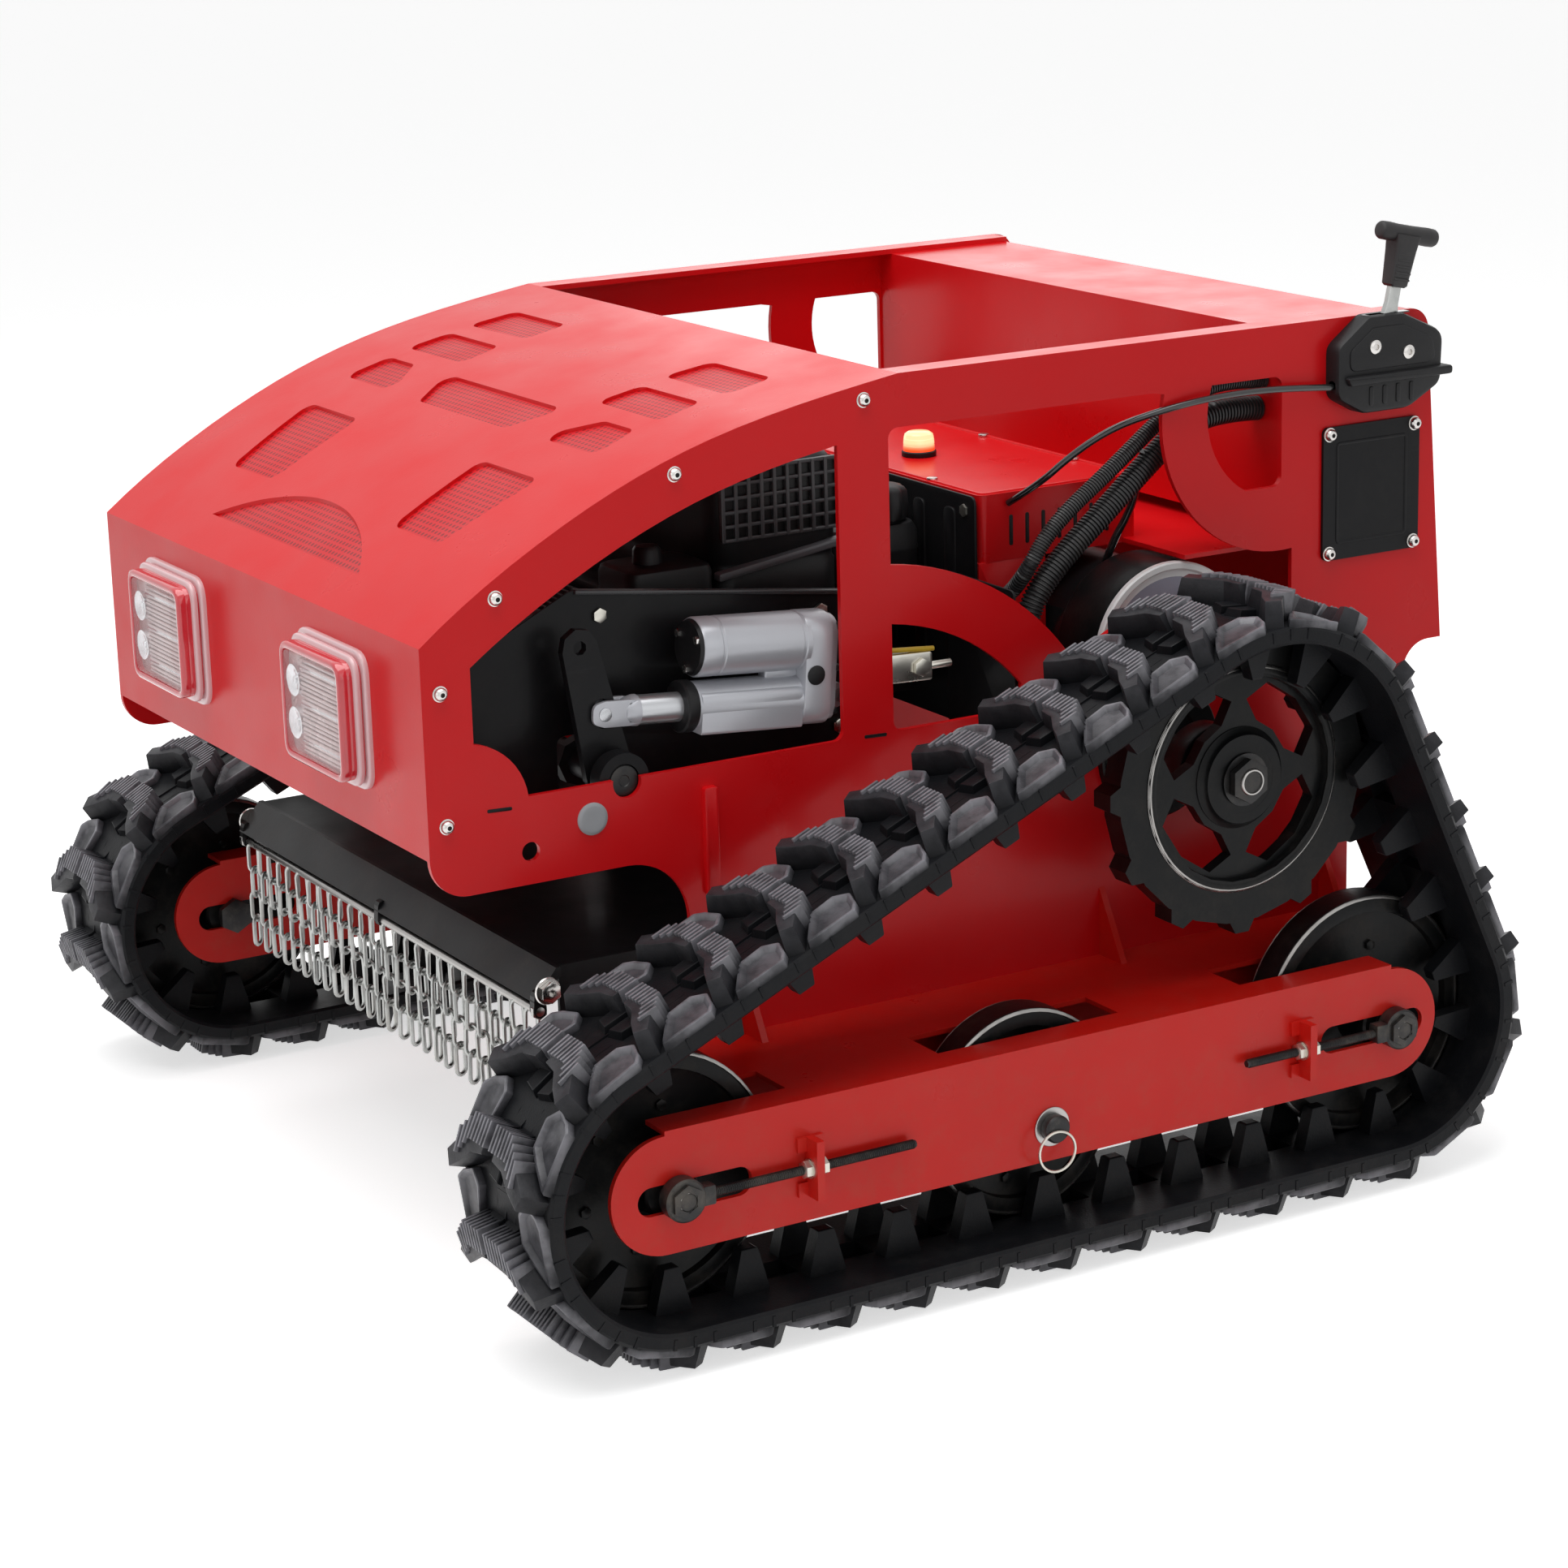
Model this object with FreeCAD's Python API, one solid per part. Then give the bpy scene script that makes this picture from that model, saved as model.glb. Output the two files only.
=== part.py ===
import FreeCAD, Part
import math
import os

# Remote control tracked lawn mower, in millimetres.
# Front is -Y, up is +Z, the ground is z = 0 and the middle plane is x = 0.
# The machine's left side is +X, and every right-hand piece is its mirror image.

# Body shell
BODY_HALF = 336.0
PLATE = 5.0
FRONT_Y = -495.0
FRONT_TOP_Z = 573.0
FRONT_LOW_Z = 400.0
TOP_Z = 742.0
HOOD_REAR_Y = -52.0
RAIL_REAR_Y = 503.0
REAR_LOW_Y = 524.4
REAR_LOW_Z = 438.0
REAR_STEP_Y = 492.0
REAR_FOOT_Y = 420.0
REAR_KNEE_Z = 289.0
REAR_CORNER_R = 20.0
REAR_STEP_R = 28.0
NOSE_R = 33.0
CHIN_Z = 367.0
ARCH_R = 56.0
FOOT_FRONT_Y = -263.5
HOOD_SHEET = 3.0
HOOD_FLANGE = 24.0
RAIL_FLANGE = 22.0
HOOD_SHARES = [(0.0, 0.0), (0.115, 0.215), (0.237, 0.404), (0.404, 0.618),
               (0.569, 0.775), (0.740, 0.885), (1.0, 1.0)]

# Side plate openings
WINDOW_MARGIN = 43.0
WINDOW_CORNER = 9.0
WINDOW_FRONT_Y = -456.0
WINDOW_REAR_Y = -112.0
WINDOW_LOW_Z = 440.0
BULGE_R = 58.0
BULGE_Y = -463.5
BULGE_Z = 433.0
BIG_FRONT_Y = -63.0
BIG_TOP_Z = 697.0
BIG_LOW_Z = 430.0
BIG_TOP_REAR_Y = 203.0
BIG_REAR_Y = 354.0
BAND_Y = -90.0
BAND_Z = 328.0
BAND_R = 256.0
BAND_WIDTH = 50.0
RING_Y = 341.5
RING_Z = 670.0
RING_R = 128.0
RING_WIDTH = 48.0
THIRD_LOW_Z = 440.0
THIRD_REAR_Y = 66.0
EYE_REAR_Y = 342.0
EYE_LOW_Z = 600.0
DRIVE_PAD_R = 122.0
TOW_HOLE_Y = -406.0
TOW_HOLE_Z = 394.0
TOW_HOLE_R = 8.0
TAB_SHEET = 4.0
CAP_R = 14.0
CAP_PROUD = 2.5

# Hood vents, as shares of the hood's half width and of its length
VENT_CORNER = 11.0
VENT_PAIR_SHARES = [
    [(0.735, 0.752), (0.72, 0.858), (0.41, 0.858), (0.395, 0.757)],
    [(0.735, 0.608), (0.72, 0.703), (0.41, 0.703), (0.395, 0.611)],
    [(0.745, 0.468), (0.72, 0.562), (0.562, 0.562), (0.43, 0.466)],
    [(0.650, 0.176), (0.695, 0.370), (0.375, 0.370), (0.38, 0.178)],
]
VENT_MIDDLE_SHARES = [(-0.255, 0.463), (0.255, 0.463), (0.350, 0.562), (-0.350, 0.562)]
MOON_HALF = 156.0
MOON_Y = -463.0
MOON_RISE = 47.0
MESH_SHEET = 1.2
MESH_IN = 68.0
MESH_HALF = BODY_HALF - MESH_IN
MESH_FRONT_Y = -476.0
MESH_REAR_Y = -98.0

# Headlamps
LAMP_X = 171.0
LAMP_Z = 493.0
LAMP_HALF_W = 60.0
LAMP_HALF_H = 50.0
LAMP_FACE_Y = -519.0
LAMP_LENS = 3.5
LAMP_CORNER = 14.0
LAMP_FLANGE_HALF_W = 68.0
LAMP_FLANGE_HALF_H = 58.0
LAMP_FLANGE = 4.0
LAMP_WALL = 3.0
LAMP_FLOOR = 5.0

# Rear box, covers and cross members
REARBOX_FRONT_Y = 344.0
REARBOX_REAR_Y = 482.0
REARBOX_LOW_Z = 560.0
REARBOX_SHEET = 3.0
REAR_WALL_LOW_Z = 440.0
COVER_FRONT_Y = 386.0
COVER_REAR_Y = 494.0
COVER_LOW_Z = 526.0
COVER_TOP_Z = 646.0
COVER_SHEET = 3.0
COVER_CORNER = 6.0
COVER_SCREW_IN = 6.5
CROSS_BAR = 24.0
FRONT_BAR_Y = -446.0
FRONT_BAR_Z = 420.0

# Track loop
TRACK_OUT = 114.0
TRACK_X = BODY_HALF + TRACK_OUT
TRACK_WIDTH = 150.0
BAND_THICK = 15.0
LUG_HEIGHT = 25.0
PITCH_LINE = 9.5
LINKS = 33
LINK_PITCH = 72.0
TEETH = 12
SPROCKET_Y = 206.5
SPROCKET_Z = 383.0
REAR_IDLER_Y = 337.0
IDLER_WHEEL_R = 107.5
WHEEL_GAP = 0.5
WHEEL_WIDTH = 32.0
FRONT_IDLER_GUESS_Y = -374.5
ROLLER_Y = -22.0
ROLLER_R = 90.5
GUIDE_OUT = 33.0
GUIDE_IN = 18.0
GUIDE_HEIGHT = 38.0
GUIDE_ROOT = 34.0
GUIDE_TIP = 16.0
WINDOW_WIDTH = 30.0
WINDOW_LENGTH = 38.0
SINK = 5.0
LUG_SHARES = [(0.27, -0.444), (0.24, 0.0), (0.84, 0.208), (0.96, 0.083), (0.60, -0.083),
              (0.507, -0.389)]
PAD_SHARES = [(0.48, -0.208), (0.95, -0.14), (0.95, -0.70), (0.56, -0.79)]
PAD_HEIGHT = 4.0
LUG_TOP_SHARE = 0.82

# Sprockets and drive
SPROCKET_WIDTH = 28.0
TOOTH_RISE = 9.5
SPROCKET_WEB_R = 99.0
SPROCKET_WEB = 12.0
TOOTH_WIDTH = 24.0
TOOTH_ROOT_HALF = 15.0
TOOTH_TIP_HALF = 7.0
HUB_R = 38.0
KIDNEY_R = 68.0
KIDNEY_HALF_W = 17.0
KIDNEY_ANGLE = 48.0
KIDNEYS = 4
SHAFT_R = 17.0
HUB_NUT_AF = 40.0
RIM_RING = 9.0
BOSS_PROUD = 8.0
SEAT_RING = 6.0
MOTOR_COVER_RING = 8.0
HUB_NUT = 14.0
HUB_BACK = 26.0
MOTOR_Y = 231.5
MOTOR_Z = 465.0
MOTOR_RING_R = 79.0
MOTOR_R = 70.0
MOTOR_LENGTH = 150.0
GEARBOX_SEAT = 11.0
GEARBOX_FACE = BODY_HALF - PLATE - GEARBOX_SEAT
GEARBOX_DEPTH = 58.0
GEARBOX_LOW_R = 55.0
FLANGE_R = 62.0
MOTOR_FACE = 3.0
RUN = 0.05

# Track frames
FRAME_PLATE = 5.0
FRAME_HALF = 55.6
FRAME_LOW_Z = 101.0
FRAME_TOP_Z = 200.0
FRAME_FRONT_Y = -385.0
FRAME_REAR_Y = 335.0
FLANGE_SHEET = 4.0
WHEEL_SLOT_HALF = 24.0
FRONT_SLOT_END_Y = -257.0
REAR_SLOT_END_Y = 195.0
MID_SLOT_FRONT_Y = -112.0
MID_SLOT_REAR_Y = 68.0
AXLE_SLOT_FRONT_Y = -411.0
AXLE_SLOT_REAR_Y = -308.0
REAR_AXLE_SLOT_FRONT_Y = 259.0
REAR_AXLE_SLOT_REAR_Y = 370.0
GUSSET_YS = [-215.0, 148.0, 390.5]
GUSSET_OUT = 34.0
GUSSET_RISE = 62.0
GUSSET_SHEET = 6.0

# Axles and chain adjusters
AXLE_R = 12.0
AXLE_NUT_AF = 30.0
AXLE_NUT = 9.0
AXLE_OUT = 18.4
AXLE_END = TRACK_X + FRAME_HALF + AXLE_OUT
SLOT_GAP = 0.2
ADJUST_R = 4.0
ADJUST_NUT_AF = 13.0
ADJUST_NUT = 8.0
ADJUST_OUT = 7.6
ADJUST_X = TRACK_X + FRAME_HALF + ADJUST_OUT
TAB_Y_FRONT = -255.0
TAB_Y_REAR = 237.0
TAB_HALF_Z = 25.0
TAB_FOOT_HALF = 12.0
TAB_EAR = 7.0
ADJUST_END_FRONT_Y = -160.0
ADJUST_END_REAR_Y = 173.0
EYE_R = 18.0
TAB_FOOT = 3.0
SEAT_GAP = 0.3
SHELF_LEAD = 22.0
WHEEL_WEB = 12.0
WHEEL_RIM = 16.0
PULL_RING_R = 20.0
PULL_WIRE_R = 1.8
BOSS_DEPTH = 18.0
CLEVIS_GAP = 11.0
RECOIL_R = 56.0
RECOIL_RISE = 12.0
CORD_BEND_SHARE = 0.45
PLUG_FRONT_Y = -350.0
PLUG_FRONT_Z = 412.0
PLUG_REAR_Y = 4.0
PLUG_REAR_Z = 419.5
PIN_R = 9.0
PIN_HEAD_AF = 24.0
PIN_HEAD = 10.0
WASHER_R = 17.0
WASHER = 2.0
BUSH_R = 26.0
BUSH_GAP = 4.0

# Deck lift
ARM = 200.0
ARM_SHEET = 12.0
ARM_HEIGHT = 30.0
FRONT_PIVOT_Y = -317.0
FRONT_PIVOT_Z = 437.0
REAR_PIVOT_Y = -70.0
REAR_PIVOT_Z = 330.0
ROCK_R = 13.0
STUB_R = 9.0
STUB_BOSS_R = 19.0
EAR_SHEET = 12.0
EAR_HALF = 22.0
SIDE_GAP = 1.0
LEVER_IN = 33.0
LEVER_X = BODY_HALF - LEVER_IN
LEVER_SHEET = 8.0
LEVER_TOP_Y = -340.0
LEVER_TOP_Z = 546.0
LEVER_HALF = 16.0
ROD_PIN_Y = -322.0
ROD_PIN_Z = 489.0
ROD_PIN_R = 6.0
SLOT_PLAY = 0.6
SLOT_HALF = 12.0
ACTUATOR_TILT = 4.6
TAIL_PIN_BACK = 225.0
ROD_R = 10.0
ROD_HIDDEN = 60.0
TUBE_R = 22.0
TUBE_FRONT = 71.0
TUBE_BACK = 184.0
TUBE_BORE = 100.0
GEARCASE_HALF = 22.0
GEARCASE_TOP = 74.0
GEARCASE_BACK = 216.0
MOTOR_CAN_R = 25.0
MOTOR_CAN_FRONT = 78.0
MOTOR_CAN_RISE = 49.0
CLEVIS_EAR = 4.0
CLEVIS_R = 11.0

# Deck, skirt and chains
DECK_TOP_Z = 283.0
DECK_LOW_Z = 222.0
DECK_GAP = 31.0
DECK_HALF = BODY_HALF - DECK_GAP
EAR_IN = 71.0
EAR_X = DECK_HALF - EAR_IN
ARM_STEP = 17.0
ARM_X = EAR_X + ARM_STEP
DECK_FRONT_Y = -371.0
DECK_SHEET = 4.0
SPINDLE_Y = -70.0
SPINDLE_R = 60.0
SPINDLE_BASE_R = 92.0
SPINDLE_BASE = 10.0
SKIRT_LOW_Y = -397.0
SKIRT_LOW_Z = 257.0
SKIRT_HALF = DECK_HALF + DECK_SHEET
SKIRT_SHEET = 4.0
CHAIN_ROD_R = 4.0
CHAIN_ROD_Z = 248.0
CHAIN_ROD_Y = -391.0
CHAIN_COUNT = 26
CHAIN_IN = 17.0
CHAIN_SPAN = SKIRT_HALF - CHAIN_IN
CHAIN_LENGTH = 104.0
CHAIN_LINK = 24.0
CHAIN_WIRE = 4.5
CHAIN_OUT = 15.0
CHAIN_OVERLAP = 5.5
CHAIN_EYE_R = 7.5
CHAIN_EYE = 5.0

# Blade
BLADE_DISC_R = 150.0
BLADE_DISC = 8.0
BLADE_DISC_Z = 236.0
BLADE_R = 285.0
BLADE_SHEET = 5.0
BLADE_WIDTH = 52.0
BLADES = 3
BLADE_PIVOT_R = 132.0
BLADE_SHAFT_R = 15.0
BLADE_NUT_AF = 34.0
BLADE_NUT = 14.0

# Engine
ENGINE_PLATE_Z = 426.0
ENGINE_PLATE = 8.0
ENGINE_PLATE_HALF = 176.0
ENGINE_FRONT_Y = -232.0
ENGINE_REAR_Y = 62.0
CASE_HALF = 118.0
CASE_FRONT_Y = -178.0
CASE_REAR_Y = 44.0
CASE_HEIGHT = 92.0
CASE_CORNER = 30.0
FINS = 7
FIN_STEP = 11.0
FIN_SHEET = 4.0
FIN_OUT = 18.0
HEAD_HALF = 58.0
HEAD_FRONT_Y = -252.0
HEAD_LOW = 14.0
SHROUD_HALF = 196.0
SHROUD_FRONT_Y = -150.0
SHROUD_REAR_Y = -24.0
SHROUD_TOP_Z = 656.0
SHROUD_CORNER = 26.0
GRILLE_FRONT_Y = -128.0
GRILLE_REAR_Y = -46.0
GRILLE_LOW_Z = 598.0
GRILLE_TOP_Z = 648.0
GRILLE_DEPTH = 9.0
GRILLE_BARS = 5
GRILLE_ROWS = 4
GRILLE_BAR = 4.0
TANK_FRONT_Y = -20.0
TANK_REAR_Y = 74.0
TANK_HALF = 172.0
TANK_TOP_Z = 578.0
TANK_CORNER = 20.0
FILLER_X = 146.0
FILLER_Y = 42.0
FILLER_R = 19.0
FILLER_RISE = 10.0
CAP_OUT_R = 28.0
CAP_HEIGHT = 30.0
CAP_WALL = 4.0
CAP_GAP = 0.3
CAP_LOBES = 10
CAP_LOBE_R = 3.5
FILTER_X = 168.0
FILTER_HALF = 34.0
FILTER_FRONT_Y = -236.0
FILTER_REAR_Y = -154.0
FILTER_LOW_Z = 500.0
FILTER_TOP_Z = 574.0
FILTER_CORNER = 12.0
KNOB_R = 13.0
KNOB_HEIGHT = 16.0
MUFFLER_X = -158.0
MUFFLER_Y = -196.0
MUFFLER_Z = 500.0
MUFFLER_R = 40.0
MUFFLER_LENGTH = 72.0
MUFFLER_PIPE_R = 12.0

# Control box and beacon
CONTROL_HALF = 238.0
CONTROL_FRONT_Y = 90.0
CONTROL_REAR_Y = 257.0
CONTROL_LOW_Z = 546.0
CONTROL_TOP_Z = 606.0
CONTROL_CORNER = 8.0
CONTROL_EAR_SHEET = 4.0
CONTROL_EAR_REAR_Y = 376.0
BEACON_X = 43.0
BEACON_Y = 151.0
BEACON_R = 16.0
BEACON_BASE = 5.0
BEACON_HEIGHT = 23.0

# Throttle control on the left rail
THROTTLE_FRONT_Y = 390.0
THROTTLE_REAR_Y = 508.0
THROTTLE_LOW_Z = 657.0
THROTTLE_TOP_Z = 743.0
THROTTLE_SHEET = 18.0
THROTTLE_CORNER = 16.0
LEDGE_Z = 684.0
LEDGE = 8.0
LEDGE_OUT = 6.0
THROTTLE_PIVOT_Y = 448.0
THROTTLE_PIVOT_Z = 722.0
THROTTLE_PIN_R = 5.0
GATE_HALF = 30.0
LEVER_ANGLE = 77.6
LEVER_REACH = 91.0
LEVER_WIDTH = 10.0
LEVER_THICK = 6.0
LEVER_HUB_R = 12.0
GRIP_R = 8.0
GRIP_LENGTH = 64.0
GRIP_LEG = 48.0
GRIP_LEG_R = 10.5
GRIP_FRONT_SHARE = 0.44

# Cords on the body
THROTTLE_CORD_R = 3.0
CONDUIT_R = 11.0

# Fasteners
SCREW_R = 7.0
SCREW_HEAD = 6.0
HOOD_SCREW_SHARES = [0.18, 0.55, 0.944]
HOOD_SCREW_IN = 13.0
FRONT_SCREW_ZS = [535.0, 427.0]
FRONT_SCREW_Y = -479.0
OVER = 10.0

# Facets of round pieces that nothing turns on or in
FACET = 22.0
FEWEST_SIDES = 8

V = FreeCAD.Vector
X, Y, Z = V(1, 0, 0), V(0, 1, 0), V(0, 0, 1)
ORIGIN = V(0, 0, 0)
INNER = BODY_HALF - PLATE
GROUND_BAND_Z = LUG_HEIGHT + BAND_THICK
PITCH_R = TEETH * LINK_PITCH / (2 * math.pi)
SPROCKET_BAND_R = PITCH_R - PITCH_LINE
IDLER_BAND_R = IDLER_WHEEL_R + WHEEL_GAP
IDLER_Z = GROUND_BAND_Z + IDLER_BAND_R
ROLLER_Z = GROUND_BAND_Z + ROLLER_R + WHEEL_GAP
FRAME_END_R = (FRAME_TOP_Z - FRAME_LOW_Z) / 2
OUTER_FACE = TRACK_X + FRAME_HALF
FLANGE_TOP_Z = FRAME_TOP_Z + FLANGE_SHEET
ENGINE_Z = ENGINE_PLATE_Z + ENGINE_PLATE


def box(x0, x1, y0, y1, z0, z1):
    return Part.makeBox(x1 - x0, y1 - y0, z1 - z0, V(x0, y0, z0))


def rod(start, axis, radius, length):
    return Part.makeCylinder(radius, length, start, axis)


def rod_between(start, end, radius):
    return Part.makeCylinder(radius, (end - start).Length, start, end - start)


def sides_for(radius):
    return max(FEWEST_SIDES, 2 * round(math.pi * radius / FACET))


def bar(start, axis, radius, length, sides=0):
    """Many-sided bar whose corners lie on the radius."""
    count = sides or sides_for(radius)
    across = Z if axis.x else X
    over = axis.cross(across)
    points = []
    for i in range(count):
        a = 2 * math.pi * (i + 1 / 2) / count
        points.append(start + across * (radius * math.cos(a)) + over * (radius * math.sin(a)))
    return Part.Face(Part.makePolygon(points + points[:1])).extrude(axis * length)


def bar_between(start, end, radius):
    """Many-sided bar in a plane of constant X."""
    way = (end - start).normalize()
    over = way.cross(X)
    points = []
    for i in range(FEWEST_SIDES):
        a = 2 * math.pi * i / FEWEST_SIDES
        points.append(start + X * (radius * math.cos(a)) + over * (radius * math.sin(a)))
    return Part.Face(Part.makePolygon(points + points[:1])).extrude(end - start)


def block_between(low, high):
    """Solid between two rings that have the same number of corners and parallel sides."""
    faces = [Part.Face(Part.makePolygon(ring + ring[:1])) for ring in (low, high)]
    for i, corner in enumerate(low):
        j = (i + 1) % len(low)
        faces.append(Part.Face(Part.makePolygon([corner, low[j], high[j], high[i], corner])))
    solid = Part.Solid(Part.Shell(faces))
    if solid.Volume < 0:
        solid.reverse()
    return solid


def yz(x):
    return lambda y, z: V(x, y, z)


def xy(z):
    return lambda x, y: V(x, y, z)


def xz(y):
    return lambda x, z: V(x, y, z)


def outline(corners, place):
    """Closed wire; a corner is (u, v) or (u, v, radius), and place maps it to space."""
    cuts = []
    points = [place(c[0], c[1]) for c in corners]
    for i, corner in enumerate(corners):
        here = points[i]
        if len(corner) < 3 or not corner[2]:
            cuts.append((here, None, here))
            continue
        back = (points[i - 1] - here).normalize()
        ahead = (points[(i + 1) % len(points)] - here).normalize()
        half = back.getAngle(ahead) / 2
        run = corner[2] / math.tan(half)
        inward = (back + ahead).normalize()
        middle = here + inward * (corner[2] / math.sin(half) - corner[2])
        cuts.append((here + back * run, middle, here + ahead * run))
    edges = []
    for i, (first, middle, last) in enumerate(cuts):
        if middle:
            edges.append(Part.Arc(first, middle, last).toShape())
        following = cuts[(i + 1) % len(cuts)][0]
        if not following.isEqual(last, RUN / OVER):
            edges.append(Part.makeLine(last, following))
    return Part.Wire(edges)


def prism(corners, place, along):
    return Part.Face(outline(corners, place)).extrude(along)


def side_prism(corners, x0, x1):
    return prism(corners, yz(x0), V(x1 - x0, 0, 0))


def tall_prism(corners, z0, z1):
    return prism(corners, xy(z0), V(0, 0, z1 - z0))


def rounded_box(x0, x1, y0, y1, z0, z1, radius):
    corners = [(x0, y0, radius), (x1, y0, radius), (x1, y1, radius), (x0, y1, radius)]
    return tall_prism(corners, z0, z1)


def hexagon(centre, axis, across_flats, height):
    """Six-sided prism that stands on centre along X or Y."""
    radius = across_flats / math.sqrt(3)
    points = []
    for i in range(6):
        a = math.radians(60 * i)
        u, v = radius * math.cos(a), radius * math.sin(a)
        points.append(centre + (V(0, u, v) if axis.x else V(u, 0, v)))
    return Part.Face(Part.makePolygon(points + points[:1])).extrude(axis * height)


def mirrored(shape):
    return shape.mirror(ORIGIN, X)


def export(name, *solids):
    shape = solids[0] if len(solids) == 1 else Part.makeCompound(list(solids))
    shape.exportStep("parts/" + name + ".step")


def export_pair(name, *solids):
    export(name + "_left", *solids)
    export(name + "_right", *[mirrored(s) for s in solids])


def hood_curve(inset):
    """Points along the hood's curve, moved square to it by inset towards the inside."""
    length, rise = HOOD_REAR_Y - FRONT_Y, TOP_Z - FRONT_TOP_Z
    spline = Part.BSplineCurve()
    spline.interpolate([V(0, FRONT_Y + u * length, FRONT_TOP_Z + v * rise)
                        for u, v in HOOD_SHARES])
    points = []
    for i in range(len(HOOD_SHARES) * 2):
        t = spline.LastParameter * i / (len(HOOD_SHARES) * 2 - 1)
        way = spline.tangent(t)[0]
        points.append(spline.value(t) + V(0, way.z, -way.y) * inset)
    return points


def hood_block(inset, x0, x1, low_z):
    """Solid under the hood's skin: inset from its curve and from the front panel."""
    points = [p + V(x0, 0, 0) for p in hood_curve(inset)]
    skin = Part.BSplineCurve()
    skin.interpolate(points)
    rear = points[-1] + V(0, OVER, 0)
    rear_low = V(x0, rear.y, low_z)
    front_low = V(x0, points[0].y, low_z)
    ring = [points[-1], rear, rear_low, front_low, points[0]]
    face = Part.Face(Part.Wire([skin.toShape()] + Part.makePolygon(ring).Edges))
    block = face.extrude(V(x1 - x0, 0, 0))
    return block.common(box(x0, x1, FRONT_Y + inset, HOOD_REAR_Y, low_z, TOP_Z))


def side_outline(x0, x1):
    """The side plate's full silhouette, hood curve included."""
    lower = [
        (FRONT_Y, FRONT_TOP_Z), (FRONT_Y, CHIN_Z, NOSE_R),
        (FOOT_FRONT_Y, CHIN_Z, ARCH_R), (FOOT_FRONT_Y, FLANGE_TOP_Z),
        (REAR_FOOT_Y, FLANGE_TOP_Z), (REAR_FOOT_Y, REAR_KNEE_Z),
        (REAR_STEP_Y, REAR_LOW_Z, REAR_STEP_R), (REAR_LOW_Y, REAR_LOW_Z),
        (RAIL_REAR_Y, TOP_Z, REAR_CORNER_R), (HOOD_REAR_Y, TOP_Z),
    ]
    body = side_prism(lower, x0, x1)
    return body.fuse(hood_block(0, x0, x1, FRONT_LOW_Z)).removeSplitter()


def window_cuts(x0, x1):
    """What is cut out of a side plate between x0 and x1."""
    c = WINDOW_CORNER
    front = side_prism([(WINDOW_FRONT_Y, WINDOW_LOW_Z), (WINDOW_REAR_Y, WINDOW_LOW_Z, c),
                        (WINDOW_REAR_Y, TOP_Z), (WINDOW_FRONT_Y, TOP_Z)], x0, x1)
    front = front.common(hood_block(WINDOW_MARGIN, x0, x1, FRONT_LOW_Z))
    front = front.cut(rod(V(x0, BULGE_Y, BULGE_Z), X, BULGE_R, x1 - x0))
    big = side_prism([(BIG_FRONT_Y, BIG_LOW_Z), (BIG_REAR_Y, BIG_LOW_Z, c),
                      (BIG_REAR_Y, RING_Z), (BIG_TOP_REAR_Y, BIG_TOP_Z, c),
                      (BIG_FRONT_Y, BIG_TOP_Z, c)], x0, x1)
    band = rod(V(x0, BAND_Y, BAND_Z), X, BAND_R, x1 - x0)
    big = big.cut(band).cut(rod(V(x0, RING_Y, RING_Z), X, RING_R, x1 - x0))
    big = big.cut(rod(V(x0, SPROCKET_Y, SPROCKET_Z), X, DRIVE_PAD_R, x1 - x0))
    third = side_prism([(BIG_FRONT_Y, THIRD_LOW_Z, c), (THIRD_REAR_Y, THIRD_LOW_Z, c),
                        (THIRD_REAR_Y, BIG_TOP_Z), (BIG_FRONT_Y, BIG_TOP_Z)], x0, x1)
    third = third.common(rod(V(x0, BAND_Y, BAND_Z), X, BAND_R - BAND_WIDTH, x1 - x0))
    eye = side_prism([(RING_Y - RING_R, EYE_LOW_Z), (EYE_REAR_Y, EYE_LOW_Z, c),
                      (EYE_REAR_Y, BIG_TOP_Z, c), (RING_Y - RING_R, BIG_TOP_Z)], x0, x1)
    eye = eye.common(rod(V(x0, RING_Y, RING_Z), X, RING_R - RING_WIDTH, x1 - x0))
    hole = rod(V(x0, TOW_HOLE_Y, TOW_HOLE_Z), X, TOW_HOLE_R, x1 - x0)
    shaft = rod(V(x0, SPROCKET_Y, SPROCKET_Z), X, FLANGE_R, x1 - x0)
    return [front, big, third, eye, hole, shaft]


def pivot_cuts(x0, x1):
    """Bores for the front rock shaft and for the rear arms' stub pins."""
    rock = rod(V(x0, FRONT_PIVOT_Y, FRONT_PIVOT_Z), X, ROCK_R + RUN, x1 - x0)
    stub = rod(V(x0, REAR_PIVOT_Y, REAR_PIVOT_Z), X, STUB_R, x1 - x0)
    return [rock, stub]


def side_plate():
    plate = side_outline(INNER, BODY_HALF)
    flange = box(INNER - RAIL_FLANGE, INNER, HOOD_REAR_Y, RAIL_REAR_Y - REAR_CORNER_R,
                 TOP_Z - PLATE, TOP_Z)
    for cut in window_cuts(INNER - OVER, BODY_HALF + OVER):
        plate = plate.cut(cut)
    for cut in pivot_cuts(INNER - OVER, BODY_HALF + OVER):
        plate = plate.cut(cut)
    return plate.fuse(flange).removeSplitter()


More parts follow.
